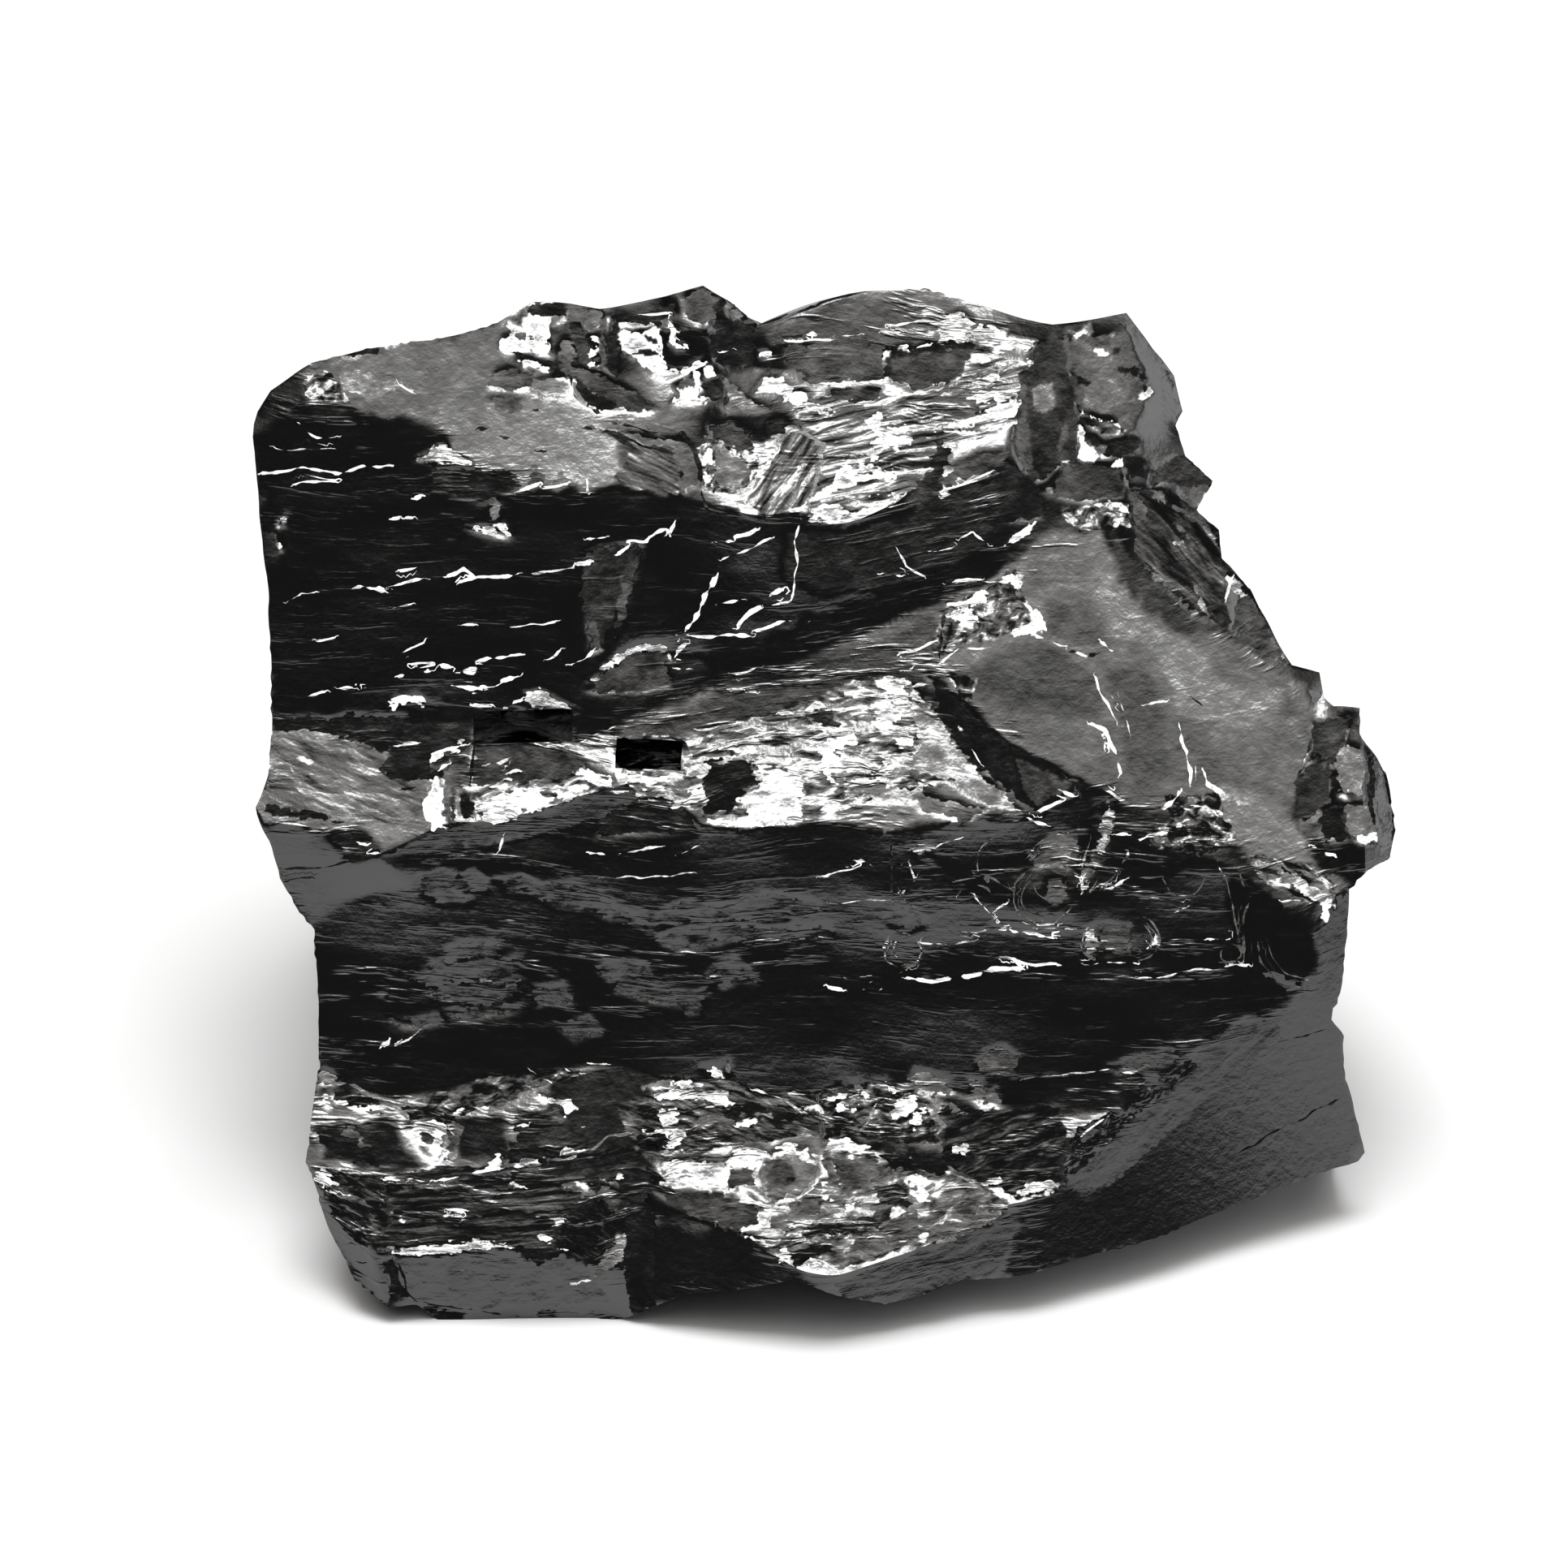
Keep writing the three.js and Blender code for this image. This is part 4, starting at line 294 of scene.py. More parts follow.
    (SOFT, (18.2, -0.1, 18.7, 0.1, 19.1, 0, 19.3, -0.7, 19.25, -1.1, 18.7, -1.1, 18.4, -0.6)),
    (LAMP, (18.7, -1.05, 19.4, -0.9, 19.5, -1.15, 18.8, -1.3)),
    (LAMP, (18.2, 0.5, 18.5, 0.55, 18.45, 0.35)),
    (ROOM, (18.95, 2.2, 19.3, 2.2, 19.4, 0.5, 19.3, -0.8, 19.15, 0.2, 19.1, 1.3)),
    ((6, 38), (19.4, 2, 19.6, 2.1, 19.95, 0.5, 20, -1, 19.7, -1.8, 19.5, -1.4, 19.45, 0.5)),
    (ROOM, (17.4, 0, 18, 0, 18.4, -0.7, 18.4, -1.1, 17.6, -1.2, 17.4, -0.7)),
    ((4, 38), (17.1, 4.1, 17.5, 4.6, 17.55, 3.8, 17.3, 3.6)),
    (LAMP, (16.9, 4.85, 17.15, 4.8, 17.1, 4.65, 16.9, 4.7)),
    # Band
    (-18, (-14.2, -2.4, -13, -2.3, -13.3, -2.9, -12.5, -3.2, -13.4, -3.3, -14.2, -3)),
    (PAPER, (-12.8, -2.4, -12.3, -2.2, -11.9, -2.6, -11.9, -2.9, -12.6, -2.8)),
    (PAPER, (-11.6, -2.5, -10.8, -2.4, -10, -2.8, -9, -2.7, -8, -2.9, -7.7, -3.3, -7.2, -3.7, -6.3, -3.9,
     -6.4, -4.2, -8, -3.75, -9.6, -3.4, -10.3, -3, -11.2, -2.95)),
    (PAPER, (-5.8, -3.7, -5, -3.4, -3, -3.4, -2.9, -3.1, -2.2, -3, -0.6, -3.2, -0.2, -3.5, -1.2, -3.6,
     -1.4, -3.9, -2.3, -3.9, -3, -3.85, -5, -4.1, -5.9, -4.1)),
    (PAPER, (-5.9, -4.6, -5.2, -4.35, -4.2, -4.2, -2.4, -4.1, -1.6, -4.25, 0, -4.25, 0.2, -4.4, -0.5, -4.6,
     -1.3, -4.7, -1.7, -4.55, -3, -4.6, -4.2, -4.85, -4.9, -5, -5.5, -4.8)),
    (PAPER, (-14.4, -6, -13.9, -5.5, -12.2, -5.5, -10.7, -5.4, -10.6, -6, -11.5, -6.1, -12.2, -6.1,
     -13.2, -6.1, -13.8, -6.3)),
    (PAPER, (-14.1, -6.4, -12.8, -6.2, -11.6, -6.5, -10.8, -6.2, -11.2, -6.9, -12.5, -6.95, -13.3, -6.7)),
    (PAPER, (-13.4, -7.1, -12.2, -7, -10.6, -7.05, -11.2, -7.3, -12.8, -7.4)),
    (PAPER, (-10.3, -6.3, -9.2, -6.2, -8.9, -6.85, -10.2, -6.95)),
    (-19, (-13.2, -4.9, -12.6, -4.75, -11.4, -4.85, -11.5, -5.3, -12.6, -5.35, -13.5, -5.4)),
    (PAPER, (-8.1, -5.7, -7.7, -5.4, -6.9, -5.4, -6.3, -5.5, -6, -5.9, -6.7, -6, -6, -6.2, -5.6, -6.4,
     -4.1, -6.45, -4.4, -7.2, -4.9, -7.3, -5.3, -6.9, -6.2, -6.9, -7.4, -6.4, -7.5, -6.1)),
    (-18, (-9.4, -7.8, -8.4, -7.4, -7.8, -7.9, -8.8, -8.2)),
    (PAPER, (-4.2, -5.9, -3.7, -5.4, -3.2, -5.2, -2.6, -5.8, -2.4, -6.2, -3, -6, -3.6, -6.3, -3.8, -5.9)),
    (-18, (-15.4, -7.45, -14.3, -7.45, -13.6, -7.3, -13.4, -7.55, -14.3, -7.75)),
    (PAPER, (2.1, -3.9, 2.7, -3.5, 3.3, -3.6, 3.5, -4.1, 3, -4.3, 2.4, -4.1)),
    (15, (2.9, -1.45, 3.5, -1.3, 3.8, -1.5, 3.2, -1.65)),
    (11, (7.2, -2.1, 7.6, -1.4, 8.1, -0.9, 8.6, -0.95, 8.8, -1.5, 8.5, -2, 8, -1.9)),
    (9, (7.7, -2.6, 8.3, -2.5, 8.5, -3.1, 8, -3.4, 7.6, -3.1)),
    (9, (9.7, -4.1, 10.7, -4.2, 10.8, -5.1, 9.8, -5.2)), (19, (9.1, -4.3, 9.5, -4.2, 9.6, -5.1, 9.2, -5.1)),
    ((16, -6), (9.9, 0.2, 10.05, -0.8, 9.7, -1.8, 9.1, -2.5, 9, -2.3, 9.5, -1.6, 9.7, -0.6)),
    (18, (15.8, -2.1, 16.9, -2.6, 17.8, -3, 17.9, -3.4, 17, -3.3, 16.3, -2.8)),
    (LAMP, (17.5, -3.3, 17.8, -3.2, 17.8, -3.9, 17.4, -3.8)),
    (-20, (15.5, -5.8, 16, -5.85, 16.5, -6.1, 17, -6.6, 16.8, -6.7, 16.3, -6.3, 15.8, -6.05)),
    (PAPER, (9.9, -9.1, 10.8, -8.8, 11.6, -8.7, 12.2, -8.5, 12.3, -8.9, 11.5, -9.1, 10.2, -9.2)),
    (-20, (11.2, -9.5, 11.6, -9.4, 11.8, -9.8, 11.4, -10.1)),
    # Foot
    (17, (-17.9, -9.4, -17.6, -9.2, -17.3, -9.4, -17.2, -9.8, -17.8, -9.7)),
    (ROOM, (-17.5, -9.95, -17, -9.9, -16, -10.4, -15.5, -10.6, -16.5, -10.5, -17.3, -10.3)),
    (LAMP, (-17.7, -10, -17.5, -10.2, -17.5, -10.5, -17.8, -10.4)),
    (ROOM, (-17.9, -11.3, -17, -11.7, -16, -12, -15.7, -12.6, -16.6, -12.5, -17.6, -12.2)),
    (13, (-17.2, -11.2, -16.7, -11.3, -16, -11.9, -16.3, -11.9, -17, -11.5)),
    (LAMP, (-18, -12.8, -17.6, -12.8, -17.2, -13.2, -17.7, -13.4, -18, -13.1)),
    (LAMP, (-14.8, -11.25, -14.2, -11, -13.8, -11, -13.5, -11.1, -13.4, -11.5, -13.5, -11.9, -13.6, -12.4,
     -13.8, -12.3, -14.2, -12, -14.5, -11.7)),
    (9, (-14.25, -11.4, -14, -11.4, -13.8, -11.7, -14, -12, -14.2, -11.7)),
    (12, (-13.3, -11, -12.8, -11.1, -12.7, -11.5, -13, -12, -13.4, -12.4, -13.3, -11.8)),
    (LAMP, (-13.1, -10.8, -12.4, -10.55, -11.8, -10.55, -11.9, -10.7, -12.6, -10.8)),
    (3, (-10.8, -10.9, -8.6, -11, -8.3, -12, -11, -12.5)),
    (ROOM, (-11.15, -11.85, -9.8, -11.85, -9.8, -12.4, -11.1, -12.5)),
    (LAMP, (-10.1, -10.2, -9.6, -10.25, -9, -10.3, -8.85, -10.7, -9.1, -10.85, -9.3, -10.5, -9.7, -10.4)),
    (9, (-9.6, -10.5, -9.25, -10.5, -9.2, -10.85, -9.5, -10.85)),
    (LAMP, (-11.4, -12.1, -11.4, -12.6, -12, -12.75, -11.8, -12.5)),
    (2, (-11.1, -12.8, -8, -12.2, -7, -11.8, -6.2, -12.6, -6.1, -13.4, -6.5, -14.5, -7, -14.4, -7.4, -13.2,
     -8.3, -13, -11.1, -13)),
    (14, (-9.3, -13.3, -8.5, -13.1, -8, -13.6, -8.2, -13.7, -9.4, -13.5)),
    (LAMP, (-8.8, -13.15, -8.3, -13.35, -8.35, -13.5, -8.8, -13.3)),
    (11, (-8, -13.2, -7.6, -13.4, -7, -13.9, -7.5, -14, -8, -13.7)),
    (LAMP, (-7.4, -12.9, -7.2, -13, -7.3, -13.15)),
    (LAMP, (-10.1, -14.5, -9.5, -14.5, -9, -14.2, -9.2, -14.5, -9.3, -14.6)),
    (LAMP, (-10.1, -15, -9.8, -15.1, -9.6, -15.3, -9.1, -15.45, -9.8, -15.45, -10, -15.2)),
    (ROOM, (-10.7, -15.4, -10.2, -15.6, -9.4, -15.6, -9.6, -15.9, -10.2, -16, -10.6, -15.7)),
    (17, (-7, -14.9, -7.05, -15.9, -7.3, -16.1, -7.8, -16.3, -8.1, -16.6, -8.1, -16.3, -7.7, -15.6,
     -7.3, -15.1)),
    (ROOM, (-7, -14.6, -6.3, -13.6, -6, -14.5, -6, -17.6, -6.8, -17.9, -7.05, -16.5)),
    (-8, (-15.6, -16, -15.2, -15.9, -14.9, -16.6, -14.6, -17.3, -15.5, -17.4, -15.3, -16.7)),
    (-8, (-14.2, -17.6, -11.5, -17.95, -9, -17.7, -7, -18, -7, -18.4, -14, -18.4)),
    (LAMP, (-15.6, -15.64, -13.5, -15.3, -12, -15.3, -11.1, -15.42, -12.5, -15.54, -13.5, -15.62,
     -15.2, -15.76)),
    (LAMP, (-6.1, -10, -5.2, -10, -4.4, -10.05, -3.5, -10.1, -3.3, -10.4, -3.9, -10.45, -4.5, -10.25,
     -5.4, -10.25, -6, -10.2)),
    (LAMP, (-5.4, -9.65, -4.8, -9.65, -4.7, -9.9, -5.2, -9.85)),
    (LAMP, (-4.3, -9.2, -4, -9.05, -3.7, -9.2, -3.6, -9.5, -4, -9.45)),
    (LAMP, (-5.9, -10.7, -5.3, -10.6, -5.1, -11.1, -5.8, -11.2)),
    (LAMP, (-6.4, -11.35, -5.6, -11.3, -4.9, -11.4, -5.1, -11.9, -5.7, -11.9, -5.4, -11.6, -6.3, -11.5)),
    (LAMP, (-3.2, -11.15, -2.4, -11, -2.4, -11.15, -3.1, -11.25)),
    (SOFT, (-6.4, -9.6, -5.6, -9.6, -5.6, -9.85, -6.3, -9.85)),
    (SOFT, (-3.7, -9.05, -3.4, -8.95, -3.3, -9.3, -3.5, -9.4)),
    (11, (-4.6, -10.8, -3.4, -10.8, -3.2, -11.1, -4.6, -11.3)),
    (ROOM, (-3.3, -10.5, -2.4, -10.6, -1, -10.7, -0.4, -10.8, -1.4, -11, -2.6, -10.9, -3.6, -10.8)),
    (ROOM, (-6.5, -11.55, -5.7, -11.6, -5.6, -11.85, -6.3, -12, -6.8, -11.9)),
    (13, (2.9, -9.6, 3.2, -9.25, 3.8, -9.35, 4.3, -9.5, 4.4, -10, 3.7, -10.05, 3.2, -9.9)),
    (13, (3.6, -10.1, 4.6, -10.4, 5.2, -10.6, 4.7, -10.85, 4.2, -10.5)),
    (13, (5.2, -9.6, 5.5, -9.6, 5.7, -10.1, 6.1, -10, 6.15, -10.4, 5.7, -10.4, 5.2, -10.2)),
    (8, (5.3, -9, 5.6, -8.6, 6.3, -8.45, 6.8, -8.8, 6.7, -9.3, 6.1, -9.5, 5.5, -9.3)),
    (LAMP, (0, -10.2, 0.5, -10.1, 1.5, -10.05, 1.6, -10.2, 0.4, -10.3, -0.3, -10.55, -0.9, -10.65,
     -0.3, -10.35)),
    (LAMP, (0.35, -10.4, 0.7, -10.35, 0.8, -10.6, 0.6, -10.75)),
    (LAMP, (0.85, -10.65, 1.2, -10.35, 1.2, -10.55, 0.95, -10.75)),
    (LAMP, (2.3, -10.9, 2.5, -10.3, 3.1, -10.1, 3.2, -10.5, 2.8, -10.9, 2.5, -11)),
    (LAMP, (3, -11.3, 3.2, -10.8, 3.5, -10.45, 3.6, -10.6, 3.3, -11.1, 3.1, -11.4)),
    (LAMP, (2.2, -9.8, 2.5, -9.8, 2.4, -10.05)),
    (LAMP, (4.3, -12, 4.6, -11.9, 5, -12, 4.9, -12.3, 4.5, -12.2)),
    (LAMP, (5.7, -13.1, 6.2, -13, 6.1, -13.2)),
    (LAMP, (6.8, -13.45, 7.3, -13.2, 7.8, -13.15, 8.2, -13.35, 8, -13.45, 7.3, -13.4, 7, -13.6)),
    (SOFT, (0.9, -9.7, 1.2, -9.7, 1.4, -10, 1, -9.95)),
    (SOFT, (1.7, -9.7, 2.1, -9.65, 2.2, -9.9, 1.8, -9.9)),
    # Nose
    (11, (0.3, -12.3, 1.2, -12.3, 1.8, -12.1, 1.85, -13, 1.4, -13.3, 0.8, -13.3)),
    (7.5, (-6, -13.4, -4.6, -13.45, -3.4, -13.5, -2.6, -13.9, -2.2, -14.1, -2.4, -14.6, -3.2, -14.8,
     -4.4, -14.4, -5.4, -13.9)),
    (LAMP, (-5.6, -12.5, -5, -12.35, -4.2, -12.5, -3.6, -12.55, -3, -12, -2.4, -11.95, -2, -12.1,
     -1.4, -11.8, -0.6, -11.9, -0.3, -12.35, -0.6, -12.3, -1.2, -12.05, -2, -12.4, -2.5, -12.55,
     -3.3, -12.6, -3.5, -12.8, -3.4, -13.3, -4, -13.5, -4.6, -13.2, -5.8, -13.15, -4.4, -13.05,
     -4.5, -12.95, -5.6, -12.8)),
    (7, (-3.4, -12.7, -2.5, -12.6, -2.3, -13.3, -2.9, -13.4, -3.4, -13.1)),
    (15, (-2.3, -12.9, -2, -12.4, -1.2, -12.1, -0.5, -12.35, -0.2, -12.7, -0.4, -13.2, -1, -13.6,
     -1.8, -13.75, -2.2, -13.4)),
    (8, (-2, -12.9, -1.7, -12.5, -1.3, -12.5, -1.1, -12.8, -1.1, -13.1, -1.5, -13.4, -2, -13.35)),
    (ROOM, (-1.5, -13, -1.1, -13, -1.2, -13.15)),
    (LAMP, (-3, -13.5, -2.6, -13.6, -2.2, -13.9, -2.6, -13.85)),
    (LAMP, (-2.4, -14.1, -2, -13.95, -1.4, -13.95, -1.3, -14.2, -1.6, -14.35, -1.8, -14.3)),
    (17, (-2.2, -14.3, -1.4, -14.3, -1.2, -14, -0.5, -14.5, -0.8, -14.8, -1.6, -14.8)),
    (9, (-0.9, -13.8, -0.2, -13.6, -0.3, -14.1, -0.9, -14.1)),
    (LAMP, (-0.1, -13.15, 0.2, -13.15, 0.3, -13.3, 0, -13.25)),
    (LAMP, (-0.15, -13.6, 0.2, -13.5, 0.4, -13.7, -0.1, -13.75)),
    (LAMP, (0.5, -13.1, 0.7, -13.4, 0.75, -13.5, 0.5, -13.3)),
    (LAMP, (0.7, -14.1, 1, -13.6, 1.15, -13.7, 0.85, -14.15)),
    (LAMP, (0.1, -11.75, 0.4, -11.6, 0.9, -11.65, 1.2, -11.9, 1.85, -12, 1.85, -12.3, 1.7, -12.1, 1, -12)),
    (ROOM, (2, -12.1, 4.2, -12.2, 4.2, -12.9, 3, -12.7, 2.2, -12.7)),
    (LAMP, (3, -12.85, 3.5, -12.95, 3.6, -13.8, 3.3, -13.8, 3.1, -13.5, 3.4, -13.3, 3, -13.2)),
    (4, (1.7, -13.4, 2.5, -13.3, 3.1, -13.9, 2.5, -14, 1.9, -13.8)),
    (11, (2, -14.6, 3.2, -14.2, 3.3, -15, 2.6, -15.2, 2.2, -15)),
    (LAMP, (2.1, -14.3, 2.4, -14, 2.7, -13.95, 2.7, -14.2, 2.3, -14.35)),
    (LAMP, (3.1, -15, 3.6, -14.95, 3.4, -15.15)),
    (13, (3.6, -14.9, 4.3, -14.5, 5.2, -14.3, 5.6, -13.95, 6.3, -13.9, 6.4, -14.1, 5.8, -14.6, 5, -14.8,
     4.2, -15)),
    (17, (2.6, -15.2, 3.3, -15.35, 4, -15.1, 4.8, -14.95, 4.6, -15.1, 3.6, -15.3, 3.3, -15.5)),
    (3, (-0.8, -14.8, 0.4, -14.5, 2, -14.5, 2, -14.9, 0.6, -14.8, -0.6, -15.2)),
    (12, (1, -15, 2, -15.1, 2.6, -15.5, 1.4, -15.8, 1, -15.4)),
    (SOFT, (-1.1, -15.3, -0.4, -15, 0.4, -15, -0.2, -15.2, -0.9, -15.45)),
    (ROOM, (-1.3, -15.6, -0.6, -15.3, 0.2, -15.3, 0, -15.6, -1, -16)),
    (LAMP, (-0.5, -16, -0.2, -15.65, -0.1, -15.7, -0.3, -16.1)),
    (LAMP, (0.8, -15.95, 1.05, -15.85, 1.1, -16)), (LAMP, (-3, -15, -2.5, -15, -2.1, -15.3, -2.5, -15.2)),
    (LAMP, (-1.7, -15.6, -1.5, -15.3, -1.3, -15.7, -1.6, -15.9)),
]

# Ribs that run round: half their width, how far they lean up, the middle across and up, the radius, and the
# bearings where they start and end.
RIBS = [
    (0.06, 12, 7.6, -3.1, 1.05, 50, 330), (0.05, 10, 7.6, -3.1, 0.72, 110, 270),
    (0.05, 11, 7.8, -2.6, 0.5, 190, 340), (0.07, 14, 7.9, -2, 0.85, 30, 160),
    (0.05, 11, 7.9, -2.2, 0.75, 30, 150), (0.05, 10, 7.9, -2.35, 0.6, 30, 150),
    (0.05, 12, 2.7, -5, 0.68, 0, 350), (0.05, 10, 2.8, -5, 0.45, 90, 290),
    (0.06, 13, 9.5, -4.7, 0.55, 90, 260), (0.06, 13, 11, -4.6, 0.75, -80, 80),
    (0.05, 11, 10.9, -4.6, 0.55, -70, 80), (0.05, 11, 14.3, -5.1, 0.38, 0, 340),
    (0.05, 10, 16.9, -4.7, 1.7, 185, 265), (0.05, 11, 17.2, -4.4, 1.7, 190, 270),
    (0.05, 10, 3.2, -3, 0.5, 60, 290), (0.05, 11, 5.2, -3.4, 0.7, 20, 150),
    (0.05, 10, 12.6, -2.4, 0.7, 200, 350), (0.05, 10, 6.2, -1.9, 0.9, 110, 230),
]

